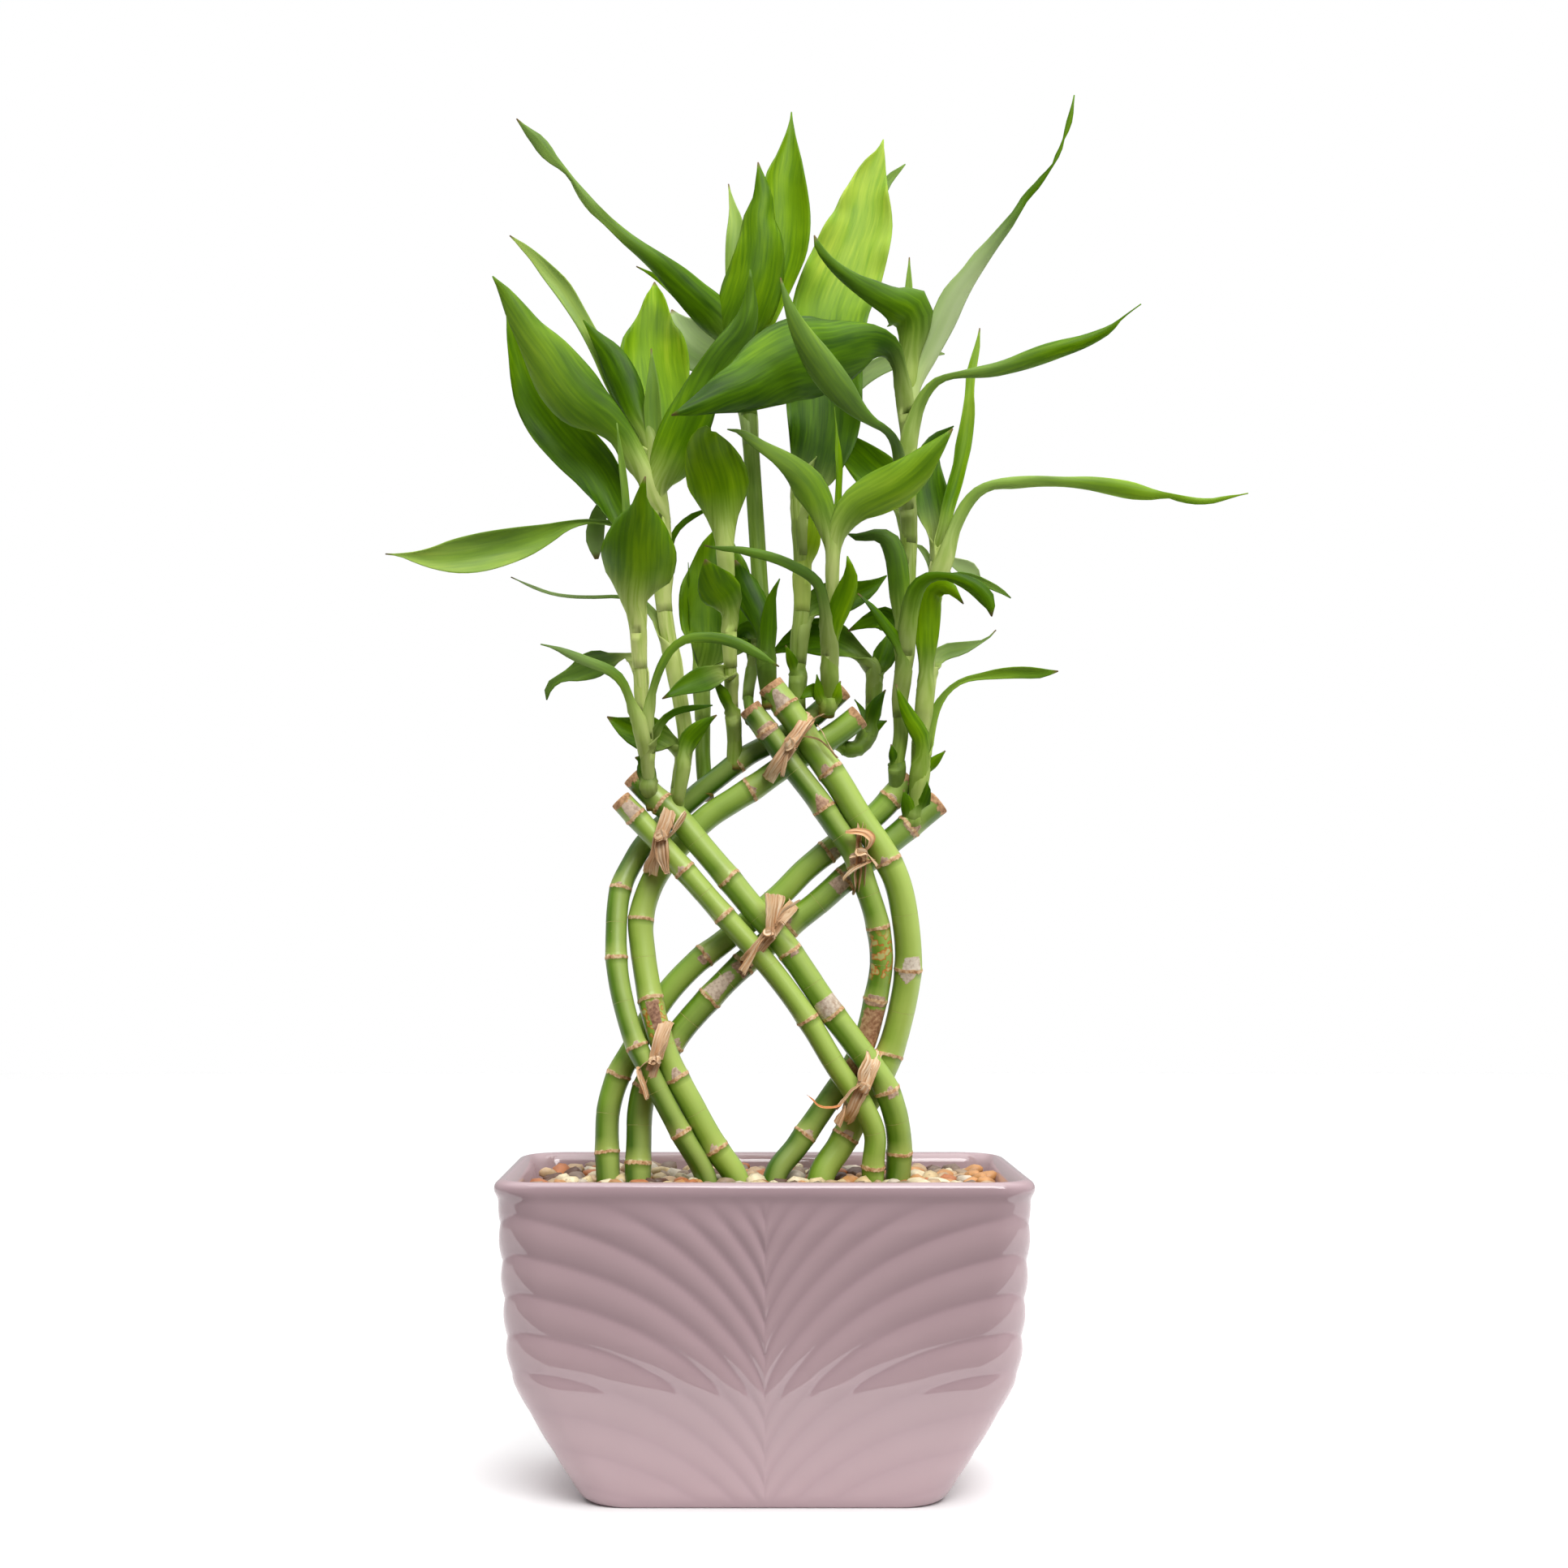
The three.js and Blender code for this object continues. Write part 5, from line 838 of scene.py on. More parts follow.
# Ties: natural raffia, tan and papery. Each crossing is bound with a few turns of it that are
# knotted in front, and the flat ends are left to fan out, gathered into pleats.
TIES = {
    # Where the knot is, then its ribbons: how many pleats, how dark (below 0, how orange), and the
    # line, each point with its half width
    "tie_top": ((7.1, 0, 226), [
        (3, .1, [(7.6, -11.4, 225.4, .98), (9.9, -11.6, 228.3, 1.26), (12.2, -11.4, 231.4, 1.49),
            (14.2, -11.2, 234.3, 1.61), (15.9, -10.8, 235.6, 1.26), (17.8, -10, 236.2, .63)]),
        (4, .15, [(6.7, -11.4, 225.1, .86), (6.1, -11.6, 222.8, 1.43), (5.5, -11.4, 220.2, 1.89),
            (4.9, -11, 217.1, 1.61)]),
        (1, 0, [(11.3, -11, 229.4, .63), (13.9, -11.2, 229.1, .86), (16.2, -11, 228.4, .69),
            (19.1, -10.6, 226, .52), (21.9, -9.6, 222.8, .46)]),
        (1, .3, [(15.6, -10.6, 233.1, .57), (17.3, -10.6, 230.8, .86), (19.3, -10.4, 226.8, .46),
            (21.5, -9.8, 223.4, .34)])]),
    "tie_upper_left": ((-31.9, 0, 198.3), [
        (3, .05, [(-30.6, -11.2, 198.1, .96), (-28.7, -11.6, 199.9, 1.28), (-27.2, -11.6, 202.4, 2.1),
            (-25.8, -11.2, 204.3, 1.98), (-24.8, -10.6, 206, 1.15)]),
        (1, -.1, [(-28.5, -11.8, 200.2, .64), (-28.7, -12, 202.1, .89), (-29, -12, 203.9, .83)]),
        (4, .2, [(-32.2, -11, 197.6, 1.91), (-32.2, -11.4, 195.1, 2.3), (-31.9, -11.2, 191.9, 2.1),
            (-30.6, -10.2, 187.4, .83)])]),
    "tie_upper_right": ((28.8, 0, 192.9), [
        (2, -.35, [(30.5, -11.4, 194, .92), (32.1, -12.4, 196, 1.49), (32.6, -13, 197.9, 1.95),
            (30.5, -13, 199.8, 1.95), (27.6, -12.6, 200.2, 1.49), (24.5, -12, 200, .69)]),
        (2, 0, [(30.5, -11.8, 194.6, 1.26), (28.2, -12, 193, 1.61), (25.9, -11.4, 192.3, 1.26)]),
        (3, 0, [(33.3, -10.4, 191.5, 1.15), (29.9, -11.4, 190.1, 1.95), (26.5, -11.2, 188.3, 2.07),
            (23.8, -10, 185.5, 1.72)]),
        (1, .35, [(30.8, -11.2, 193.7, .69), (32.5, -11, 191.7, .8), (34.1, -10, 189.6, .69)])]),
    "tie_centre": ((1, 0, 168.8), [
        (5, 0, [(1.2, -11.4, 169.7, 1.49), (1.7, -12, 173.4, 2.07), (2.3, -12, 176.8, 2.75),
            (2.7, -11.6, 180.3, 3.67)]),
        (1, .1, [(2.7, -11.4, 171.7, .69), (5.3, -11, 175.7, .8), (7.9, -10.6, 177.4, .57),
            (10.3, -10.2, 179.1, .23)]),
        (1, .1, [(3, -11, 171.1, .57), (4.4, -11, 172.9, .57), (6.6, -10.6, 170.5, .57),
            (8.8, -9.4, 167.9, .52)]),
        (4, .25, [(.1, -11.4, 168.5, 1.49), (-2.2, -11.8, 165.9, 1.95), (-4.8, -11.6, 161.3, 2.64),
            (-7.5, -11, 157, 2.98)])]),
    "tie_lower_left": ((-33.7, 0, 130.4), [
        (1, .15, [(-33.7, -11.2, 131.2, .57), (-31.9, -11.4, 133.8, .63), (-30.5, -11.2, 136.7, .57),
            (-29.6, -10.6, 139.3, .34), (-29.8, -9.6, 141.6, .17)]),
        (1, 0, [(-32.2, -11.2, 131, .57), (-30.9, -11.2, 133.8, .69), (-29.8, -10.8, 136.7, .4),
            (-29.4, -10, 139.6, .23)]),
        (2, .2, [(-33.4, -11.4, 130.4, 1.03), (-35.4, -11.6, 130.1, 1.03), (-37.4, -11.4, 128.7, 1.09),
            (-39.1, -11, 126.9, .92)]),
        (4, -.1, [(-39.5, -10.8, 127.7, .8), (-38.8, -11.4, 124.6, 1.66), (-37.6, -11.4, 121.5, 1.89),
            (-36.7, -11, 117.9, 1.78)])]),
    "tie_lower_right": ((29.3, 0, 121.9), [
        (2, 0, [(29.1, -11.4, 123.2, .76), (29.3, -11.6, 125.7, 1.19), (30.4, -11.4, 127.9, 1.25),
            (31.4, -11, 129.8, 1.08), (31.1, -9.8, 132.4, .38)]),
        (3, .35, [(28.8, -11.6, 122.1, 1.19), (26.5, -12, 120.5, 1.57), (24.5, -12, 118.2, 1.63),
            (23, -12, 116.3, 1.57), (21.6, -12, 114.6, 1.19)]),
        (2, -1, [(23, -12.4, 115.8, .92), (20.3, -12.8, 115.1, 1.3), (17.6, -13, 115.2, 1.3),
            (15.7, -13, 116, 1.25), (14.4, -12.8, 117.5, .92), (12.6, -12.4, 118.9, .16)]),
        (3, .05, [(24.2, -12.4, 115.7, .7), (23.6, -12.6, 113.5, 1.52), (22.7, -12.4, 111.6, 2.01),
            (21.9, -12, 109.9, 2.06)])]),
}


def raffia_tree():
    """A thin ribbon along a line: pleated across, ragged at its end and a little crumpled"""
    tree, given = shaping_tree("raffia ribbon", ["Thickness", "Crumple", "Ragged", "Sides"])
    line = put(tree, "GeometryNodeMeshToCurve", {0: given["Geometry"]})
    twisted = put(tree, "GeometryNodeSetCurveTilt", {"Curve": line.outputs[0], "Tilt": read(tree, "twist")})
    circle, on_circle = round_profile(tree, given["Sides"])
    flat = vector(tree, on_circle[0], calc(tree, "MULTIPLY", on_circle[1], given["Thickness"]))
    pressed = put(tree, "GeometryNodeSetPosition", {"Geometry": circle, "Position": flat})
    strip = swept(tree, twisted.outputs[0], store(tree, pressed.outputs[0], "side", on_circle[0]))
    side, strand = read(tree, "side"), read(tree, "strand")
    across = calc(tree, "MULTIPLY_ADD", calc(tree, "MULTIPLY", side, read(tree, "pleats")), 0.5, strand)
    fold = calc(tree, "ABSOLUTE", calc(tree, "MULTIPLY_ADD", calc(tree, "FRACT", across), 2.0, -1.0))
    forward = vector(tree, 0.0, calc(tree, "MULTIPLY", fold, read(tree, "pleat_depth")))
    pleated = moved(tree, strip, forward)
    spread = vector(tree, calc(tree, "MULTIPLY", side, 3.0), strand)
    torn = noise(tree, spread, scale=2.2, detail=2.0)[0]
    reach = calc(tree, "MULTIPLY", calc(tree, "SUBTRACT", torn, 0.5), given["Ragged"])
    ragged = moved(tree, pleated, scaled(tree, read(tree, "heading", "FLOAT_VECTOR"), reach))
    crumpled = worn(tree, ragged, scale=480.0, amount=given["Crumple"])
    return close_tree(tree, crumpled, given["Material"])


def raffia():
    """The ties' skin: long fibres from tan to cream, some ribbons darker and some orange"""
    material, tree, shader = new_material("raffia")
    grain = vector(tree, calc(tree, "MULTIPLY", read(tree, "side"), read(tree, "girth")),
                   calc(tree, "MULTIPLY", read(tree, "length"), 0.05), read(tree, "strand"))
    fibres = noise(tree, grain, scale=1900.0, detail=3.0)[0]
    tan = ramp(tree, fibres, [(0.28, srgb(172, 124, 84)), (0.42, srgb(214, 168, 122)),
                              (0.56, srgb(234, 200, 158)), (0.72, srgb(246, 228, 200))])
    dark = read(tree, "dark")
    tan = mix_colours(tree, fade(tree, dark, 0.0, 1.0), tan, srgb(160, 114, 82))
    orange = calc(tree, "MULTIPLY", fade(tree, dark, 0.0, -1.0), 0.8)
    tan = mix_colours(tree, orange, tan, srgb(206, 122, 52))
    feed(tree, shader, {"Base Color": tan, "Roughness": 0.6,
                        "Normal": bump(tree, fibres, strength=0.6, distance=0.0002)})
    return material


def raffia_ribbons(name, knot, ribbons):
    """Each ribbon of a tie as its path, with the numbers that its sweep and its skin read"""
    draw = np.random.default_rng(sum(ord(letter) for letter in name))
    made = []

    def ribbon(points, widths, twist, pleats=0, dark=0.0, torn=0.0, spacing=0.0007):
        points = np.asarray(points, float)
        walked = np.linalg.norm(np.diff(points, axis=0), axis=1).sum()
        count = max(int(walked / spacing), 6)
        path = smooth_path(np.column_stack([points, widths]), count)
        share = np.linspace(0, 1, count)
        path, half = path[:, :3], path[:, 3]
        made.append((path, dict(
            girth=half, twist=twist[0] + (twist[1] - twist[0]) * share, length=walked * share,
            strand=np.full(count, draw.random()), dark=np.full(count, dark), pleats=np.full(count, pleats),
            pleat_depth=np.minimum(half * 0.5, 0.0010) * (pleats > 1),
            heading=np.gradient(path, axis=0) / (walked / count) * (share ** 4 * torn)[:, None])))

    middle = sighted(knot)
    for pleats, dark, line in ribbons:
        row = np.array(line, float)
        points = sighted(row[:, :3])
        slack = 0.0003 * draw.normal(size=len(points)) * (pleats == 1)
        points[:, 1] -= np.abs(slack)
        lean = draw.normal() * 0.15
        twist = (lean, lean + draw.normal() * (0.9 if pleats == 1 else 0.2))
        ribbon(points, row[:, 3] / 1000, twist, pleats, dark, torn=1.0 if pleats > 3 else 0.4)
    # The turns cross the front on a slant and go round behind both pairs of canes.
    ends = [np.array(line[-1][:3], float) for _, _, line in ribbons]
    lean = max((a - b for a in ends for b in ends), key=np.linalg.norm) * (1, 0, 1)
    lean /= np.linalg.norm(lean)
    turn_steps, reach_aside, reach_back, squareness = 17, 0.0118, 0.0101, 0.72
    for turn in (-1, 0, 1):
        side = np.cross(lean, (0, 1, 0)) * turn * 0.0011
        points = []
        for angle in np.linspace(0, 2 * math.pi, turn_steps):
            bulge = np.array([math.cos(angle), math.sin(angle)])
            bulge = np.sign(bulge) * np.abs(bulge) ** squareness
            points.append(middle + side + lean * reach_aside * bulge[1]
                          + np.array([0, -reach_back * bulge[0], 0]) + draw.normal(size=3) * 0.0002)
        ribbon(points, [0.0009 + 0.0003 * draw.random()] * turn_steps,
               (math.pi / 2, math.pi / 2 + draw.normal() * 0.3), dark=0.3 * draw.random(), spacing=0.0012)
    # The knot: three hitches over the turns
    hitch_steps = 12
    front = middle + np.array([0, -0.0112, 0])
    for hitch in range(3):
        tip = draw.normal() * 0.4 + hitch * 1.15
        points = []
        for angle in np.linspace(0, 1.9 * math.pi, hitch_steps):
            x, y, z = (math.cos(angle) * 0.0014, -math.sin(angle) * 0.0010,
                       0.0007 * math.sin(2 * angle + hitch))
            points.append(front + np.array([x * math.cos(tip) - z * math.sin(tip), y - 0.0010,
                                            x * math.sin(tip) + z * math.cos(tip)]))
        ribbon(points, [0.0008 + 0.0003 * draw.random()] * hitch_steps, (1.2, 2.4), dark=0.2 * hitch,
               spacing=0.0005)
    return made


def tie_base(name, knot, ribbons):
    """The lines of a tie's ribbons in one mesh"""
    made = raffia_ribbons(name, knot, ribbons)
    edges, first = [], 0
    for path, _ in made:
        edges += [(k, k + 1) for k in range(first, first + len(path) - 1)]
        first += len(path)
    numbers = {label: np.concatenate([values[label] for _, values in made]) for label in made[0][1]}
    return mesh_of(name, np.vstack([path for path, _ in made]), edges=edges, **numbers)


RAFFIA_TREE = raffia_tree()
RAFFIA = raffia()
for name, (knot, ribbons) in TIES.items():
    tie = shaped(name + "_raffia", tie_base(name, knot, ribbons), RAFFIA_TREE, {
        "Thickness": 0.09, "Crumple": 0.0005, "Ragged": 0.005, "Sides": 44, "Material": RAFFIA,
    })
    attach(tie, "root")
    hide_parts(name)


# Shoots: fresh growth from the upper joints, each a pale green stem with long soft leaves. Every
# leaf wraps the stem at its foot in a sheath, narrows to a channelled neck and opens into a blade.
SHOOTS = {
    # Stems as (across, depth, height, radius). Leaves as turn, brightness (partly painted shade) and
    # paleness (a greyer underside, partly painted sheen), each at foot and tip, how far the blade is
    # cupped, and rows of (across, depth, height, width as seen)
    "shoot_left_front": (
        [[(-34.5, -4.8, 207, 2.13), (-35.5, -6, 211.5, 2.3), (-36.5, -9, 218.75, 2.05),
         (-37.75, -12, 231.25, 1.97), (-38.5, -14, 243.75, 1.97), (-39.25, -16, 258.75, 2.13),
         (-39.5, -18, 270, 2.3)]],
        [((0, 0), (.5, .35), (0, 0), 1, [(-39.4, -17, 262, 5.8), (-40, -19.5, 267, 8),
         (-40.6, -22, 271, 13), (-40.2, -25, 275, 19.5), (-39.6, -28, 280, 23), (-39.5, -31.5, 285, 23),
         (-39.4, -34.5, 290, 19), (-38.9, -37.5, 294.5, 13.5), (-38.4, -40, 298.5, 7.5),
         (-38.6, -42, 302.5, 4), (-37.9, -44, 306.5, 2), (-37.2, -45, 309.5, 0)]),
         ((10, 10), (.35, .25), (.1, .3), .6, [(-38, -13.5, 229, 3.6), (-39.9, -15, 235, 3),
         (-41.9, -16.5, 240.5, 2.6), (-43.6, -18.5, 245, 2.8), (-46.2, -20, 248.4, 3.2),
         (-50, -21.5, 250.6, 3.2), (-55, -23, 252.5, 3.1), (-60, -24.5, 254.6, 2.6),
         (-65, -25.5, 256.7, 1.2), (-69.5, -26, 257.8, 0)]),
         ((0, 0), (.15, .2), (.1, .2), .6, [(-38.5, -13, 249, 2.4), (-40.6, -10, 253.2, 2),
         (-44.2, -5.5, 254.3, 1.6), (-47.2, -3, 252.9, 4.8), (-51, 0, 252.2, 8), (-55, 2, 250.8, 8),
         (-59, 4, 249, 5.2), (-62.5, 5, 247.7, 2.7), (-65.6, 5.5, 246, 2.6), (-67.3, 6, 243.4, 2),
         (-67.6, 6, 240.6, 0)]),
         ((0, 0), (.4, .3), (.1, .1), .6, [(-37, -11, 229, 3), (-36.5, -13, 235, 2.8),
         (-35.3, -15, 242, 2.4), (-33.6, -17, 248, 2.5), (-31.4, -18, 253, 2.6), (-28.4, -19, 257, 2.5),
         (-24.5, -20, 259.4, 2.8), (-19.5, -20, 260, 3.1), (-14, -20, 259.6, 3.3), (-8, -20, 257.7, 3.4),
         (-2, -20, 254.5, 2.6), (4, -19.5, 250.9, 0)]),
         ((0, 0), (.2, .1), (0, 0), .6, [(-36.5, -11, 225, 3), (-34.3, -13, 230, 2.8),
         (-31.8, -14, 234.2, 2.4), (-28, -15, 237, 2.1), (-24, -16, 238, 2), (-20, -17, 238.5, 1.4),
         (-16.5, -17, 239, 0)]),
         ((0, 0), (.35, .35), (.2, .2), .6, [(-39.3, -17, 268, 4), (-41.8, -16, 283, 3),
         (-42.8, -16, 296, 2.6), (-43.6, -17, 306, 2.3), (-44.8, -18, 316, 1.7), (-46, -19, 326, 0)]),
         ((0, 0), (.1, .05), (0, 0), .6, [(-36.4, -8.5, 214, 5), (-37, -10, 219, 5.6),
         (-38.4, -11, 222.2, 3), (-40.4, -11.5, 222.9, 0)])]),
    "shoot_left_back": (
        [[(-28, -4.5, 206, 2.4), (-27, -2, 213, 2.4), (-26, -1, 218.75, 2.4), (-24.75, 0, 227.5, 2.4),
         (-26.25, 0, 239.25, 2.4), (-28.25, 0, 250.25, 2.4), (-30.5, 0, 262.5, 2.4),
         (-31.75, 0, 272.5, 2.4), (-31.75, -1, 283.75, 2.4), (-32, -2, 297.5, 2.4), (-34, -3, 306.25, 2.4),
         (-34.5, -3, 316, 2.4)],
         [(-28, -4.5, 206, 1.8), (-26.5, -8, 214, 1.8), (-25.5, -9, 224, 1.8)]],
        [((0, 0), (.3, .5), (.05, .12), .8, [(-34.6, -4, 302, 5), (-37.3, -5, 308.5, 6.4),
         (-40.8, -6.5, 315.5, 7.8), (-44.7, -8, 322.5, 8), (-50, -10, 327.8, 11.6), (-56.7, -12, 332.8, 17),
         (-62.6, -13.5, 339.6, 17.6), (-67.5, -15, 346.8, 14.6), (-73, -17, 354.2, 9.6),
         (-77.1, -18.5, 360.6, 6.9), (-80.8, -19.5, 366.6, 3.5), (-84.3, -21, 371.2, 0)]),
         ((0, 0), (.15, .35), (0, 0), .8, [(-33, -1, 281, 4), (-38.5, .5, 287.5, 4), (-43.6, 2, 293.5, 5),
         (-46.9, 3.5, 300, 8.6), (-49.3, 4.5, 305.5, 12.2), (-53.2, 5.5, 311.8, 14.4),
         (-59.8, 6.5, 318.8, 15.5), (-66, 7, 326, 15.6), (-71, 6.5, 333.3, 13.2), (-73.9, 6, 340, 10),
         (-75.9, 5, 346.5, 7.2), (-77.8, 3.5, 353, 4.4), (-80, 2, 360.2, 0)]),
         ((0, 0), (.4, .6), (.2, .35), .6, [(-34, -2, 312, 4), (-36.5, -1.5, 318, 4.6),
         (-40.5, -.5, 325.5, 5), (-44.5, .5, 333, 5), (-48, 1, 340, 5), (-51, 1.5, 347, 5),
         (-55.2, 2, 355, 4.8), (-58, 2.5, 359.8, 5), (-62.8, 3, 367.3, 5.6), (-67.4, 3.5, 372.6, 4.6),
         (-71.6, 4, 377.3, 3.1), (-75.3, 4.5, 380.7, 1.9), (-79, 5, 383.7, 0)]),
         ((0, 0), (.4, .55), (.05, 0), .8, [(-33.5, -1, 306, 4), (-32.2, 2, 314, 5), (-31.6, 4.5, 321, 7),
         (-31.5, 7, 328, 12), (-32.2, 9.5, 334, 18), (-33.6, 12, 341, 21.5), (-34.4, 14.5, 348, 19.5),
         (-34.6, 17.5, 354.5, 13.5), (-34.3, 20, 359.8, 9.2), (-34.2, 22, 364.5, 5.4),
         (-34.4, 24, 369.4, 0)]),
         ((0, 0), (.45, .45), (.3, .3), .8, [(-34, -3, 307, 4), (-34.2, -3.5, 316, 4.4),
         (-34.6, -4, 324, 5.4), (-35, -4.5, 331, 5.2), (-34.9, -5, 337.5, 3.7), (-35.1, -5, 343, 2.1),
         (-35.4, -5, 348.9, 0)]),
         ((0, 0), (.45, .65), (.2, .4), .9, [(-32.25, 0, 279, 3.4), (-37.5, 2.5, 288.5, 3),
         (-45, 5, 294.3, 2), (-54, 6, 295.6, 1.4), (-61, 6, 294.4, 2.8), (-67, 6, 292, 5.8),
         (-74, 5, 289.5, 9), (-82, 3.5, 287.3, 10.9), (-90, .5, 285.6, 11.5), (-97, -2.5, 284.7, 10),
         (-103, -5, 284.3, 6.6), (-108, -7, 284.6, 3.6), (-112, -9, 285.2, 1.4), (-117.3, -11, 285.6, 0)]),
         ((0, 0), (.3, .2), (.7, .7), .6, [(-32.4, 0, 284, 3), (-38, 5, 293, 3), (-44.5, 9, 300.5, 3.6),
         (-49.5, 11, 300.5, 4.4), (-52.2, 12, 295, 5.2), (-52.7, 12, 289.5, 5.4), (-52.2, 12, 284, 1.2)]),
         ((0, 0), (.2, .2), (0, 0), .6, [(-31.4, 0, 279, 2.4), (-30, 0, 286, 2), (-29, 0, 290.3, 1.9),
         (-27.2, -1, 293.5, 1.9), (-24.3, -1, 296.2, 1.9), (-21.2, -1, 298, 1.7), (-17, -1, 299.6, 0)]),
         ((0, 0), (.4, .25), (0, .05), .8, [(-33.6, -2.5, 297, 3.6), (-34, -4, 303, 5),
         (-32.6, -6, 307.5, 8.5), (-29.8, -8, 313, 13), (-26, -9.5, 322, 15), (-22, -10.5, 331, 13.4),
         (-18.3, -11, 339.5, 10), (-13.2, -12, 347.3, 9), (-8.3, -12.5, 353, 9.2), (-5.5, -13, 359.5, 6.4),
         (-4.9, -13, 366, 3.3), (-4.9, -14, 373.3, 0)]),
         ((0, 0), (.3, .1), (.3, .5), .6, [(-28.6, 0, 253, 3), (-31, .5, 260, 3), (-34.4, 1, 266.6, 2.8),
         (-38.6, 1.4, 270.8, 2.2), (-45, 2, 272.4, 1.2), (-53, 3, 272.3, 1.1), (-60, 4, 272.5, 1.1),
         (-66, 5, 273.4, 1), (-72, 6, 275.5, 1), (-78.6, 7, 278.5, 0)]),
         ((0, 0), (.3, .3), (0, 0), .65, [(-25.5, -9, 220, 2.6), (-25, -9.5, 224, 3.8),
         (-24, -10, 227.9, 6), (-21.6, -10.7, 231, 5.2), (-18.6, -11.1, 233.7, 2.9), (-15.2, -11, 236, 0)]),
         ((0, 0), (.3, .3), (0, 0), .65, [(-25.4, -1, 224, 2.6), (-29.6, .3, 227.1, 5.5),
         (-34.3, 1.5, 229.3, 10.9), (-39.4, 2.5, 230.7, 9.5), (-44.4, 3.1, 232.7, 5.3),
         (-49, 3, 235.5, 0)]),
         ((0, 0), (.25, .15), (0, 0), .8, [(-34, -3, 309, 4), (-35, -4, 316, 4.6), (-37, -4.5, 323, 5.2),
         (-40.2, -4.5, 329.3, 6.4), (-42.6, -4, 335.8, 9.4), (-45.6, -3.5, 342.3, 9.6),
         (-48.3, -3, 347.4, 7.6), (-52.7, -2, 352.9, 3.4), (-56.3, -1, 357.6, 0)])]),
    "shoot_mid_left_back": (
        [[(-18.5, 6.2, 210.5, 2.2), (-19, 9, 216, 2.3), (-19.5, 10, 223.75, 2.3), (-19.5, 12, 232.5, 2.3),
         (-19.75, 14, 241.25, 2.3), (-20, 15, 248, 2.3)]],
        [((0, 0), (.4, .5), (0, 0), .7, [(-20, 14, 244, 4), (-17.6, 15.5, 250, 8), (-15.2, 17, 256, 18),
         (-14.8, 18.5, 262, 22.5), (-14.8, 20, 270, 23.5), (-14.8, 23, 278, 19.5), (-14.5, 26, 285, 13),
         (-13.8, 28, 291, 6.5), (-12.5, 30, 297, 0)]),
         ((60, 60), (.4, .4), (0, 0), .65, [(-20, 15.5, 245, 1.3), (-21, 16.3, 250.4, 1.4),
         (-22.1, 17.1, 255.7, 1.8), (-22.9, 17.9, 261.1, 2), (-23.4, 18.5, 266.5, 1.8),
         (-23.6, 19, 272, 1.3), (-23.8, 19.5, 277.5, .7), (-24, 20, 283, 0)])]),
    "shoot_mid_left": (
        [[(-9.75, 6, 219.5, 2.4), (-9.75, 5, 224, 2.4), (-9.75, 3, 230, 2.2), (-10.5, 0, 238.75, 1.9),
         (-11, -3, 251.25, 1.9), (-11.5, -5, 263.75, 2), (-12, -7, 276.25, 2.1), (-12.75, -9, 288, 2.4)]],
        [((0, 0), (.55, .55), (0, 0), .65, [(-12.6, -9, 285, 2.6), (-13.5, -11, 297, 10.1),
         (-14.5, -14, 307, 19), (-17.5, -19, 316, 14.8), (-18.5, -25, 322, 7.6), (-18, -28.9, 324, 3),
         (-17, -32, 324, 0)]),
         ((0, 0), (.4, .4), (0, 0), .65, [(-11.5, -5, 262, 2.6), (-11.2, -7.4, 267, 5.1),
         (-12.4, -10, 271.7, 11.5), (-15.3, -12.8, 275.5, 12.2), (-17.3, -16, 279.6, 7.2),
         (-18.8, -19, 284, 0)]),
         ((10, 10), (.15, .15), (0, 0), .65, [(-10.8, -2.5, 248.5, 2.6), (-14.3, -6.3, 248.7, 5.4),
         (-18.6, -8.8, 246.9, 8.3), (-23, -11, 245.3, 6.7), (-27.5, -12.7, 243.3, 3.6),
         (-32, -14, 241, 0)]),
         ((0, 0), (.3, .3), (0, 0), .65, [(-10.2, .5, 235.5, 2.6), (-10.9, -1.3, 237.8, 3.1),
         (-11.8, -2.8, 240.2, 4), (-13.2, -3.8, 242.6, 3.4), (-14.9, -4.4, 245.1, 1.9),
         (-16.5, -5, 247.5, 0)])]),
    "shoot_centre_back": (
        [[(-4.75, -4, 234, 1.6), (-4.9, -1, 236.5, 1.6), (-5.5, 4, 241.25, 1.6), (-4.75, 8, 247.5, 1.6),
         (-3.25, 10, 255, 1.6), (-2, 11, 260, 1.6)]],
        [((0, 0), (.15, .15), (0, 0), .65, [(-2.6, 10.5, 257.5, 2.6), (-3.5, 11.1, 259.6, 3.8),
         (-4.6, 11.8, 261.6, 6), (-6.5, 12.7, 262.2, 5.2), (-8.2, 13.5, 260.9, 2.9), (-9.5, 14, 259, 0)]),
         ((0, 0), (.2, .2), (0, 0), .65, [(-4.3, 9, 250, 2.6), (-4.2, 9.9, 253.2, 3.1),
         (-4.1, 10.8, 256.4, 4), (-3.6, 11.6, 259.6, 3.4), (-3.1, 12.3, 262.8, 1.9), (-2.5, 13, 266, 0)])]),
    "shoot_centre_tall": (
        [[(1.5, -4.8, 238, 2.5), (.5, -4.6, 245.5, 2.5), (.25, -4.5, 250, 2.5), (0, -4, 256, 2.5),
         (-.25, -2, 261.25, 2.5), (-1.5, 0, 271.25, 2.5), (-3, 3, 293.75, 2.5), (-4.5, 5, 316.25, 2.5),
         (-5.5, 7, 331.25, 2.5), (-6.5, 9, 344.5, 2.5)]],
        [((0, 0), (.15, .15), (0, 0), .65, [(-.2, -6.3, 252, 2.6), (-.5, -6.9, 256.9, 3),
         (-1, -6.7, 261.8, 4.5), (-2.1, -5.3, 266.4, 6.7), (-4, -3.9, 270.7, 8.6), (-6.1, -2.7, 275, 8.5),
         (-8.1, -2, 279.5, 5.1), (-9.5, -4, 283.8, 0)]),
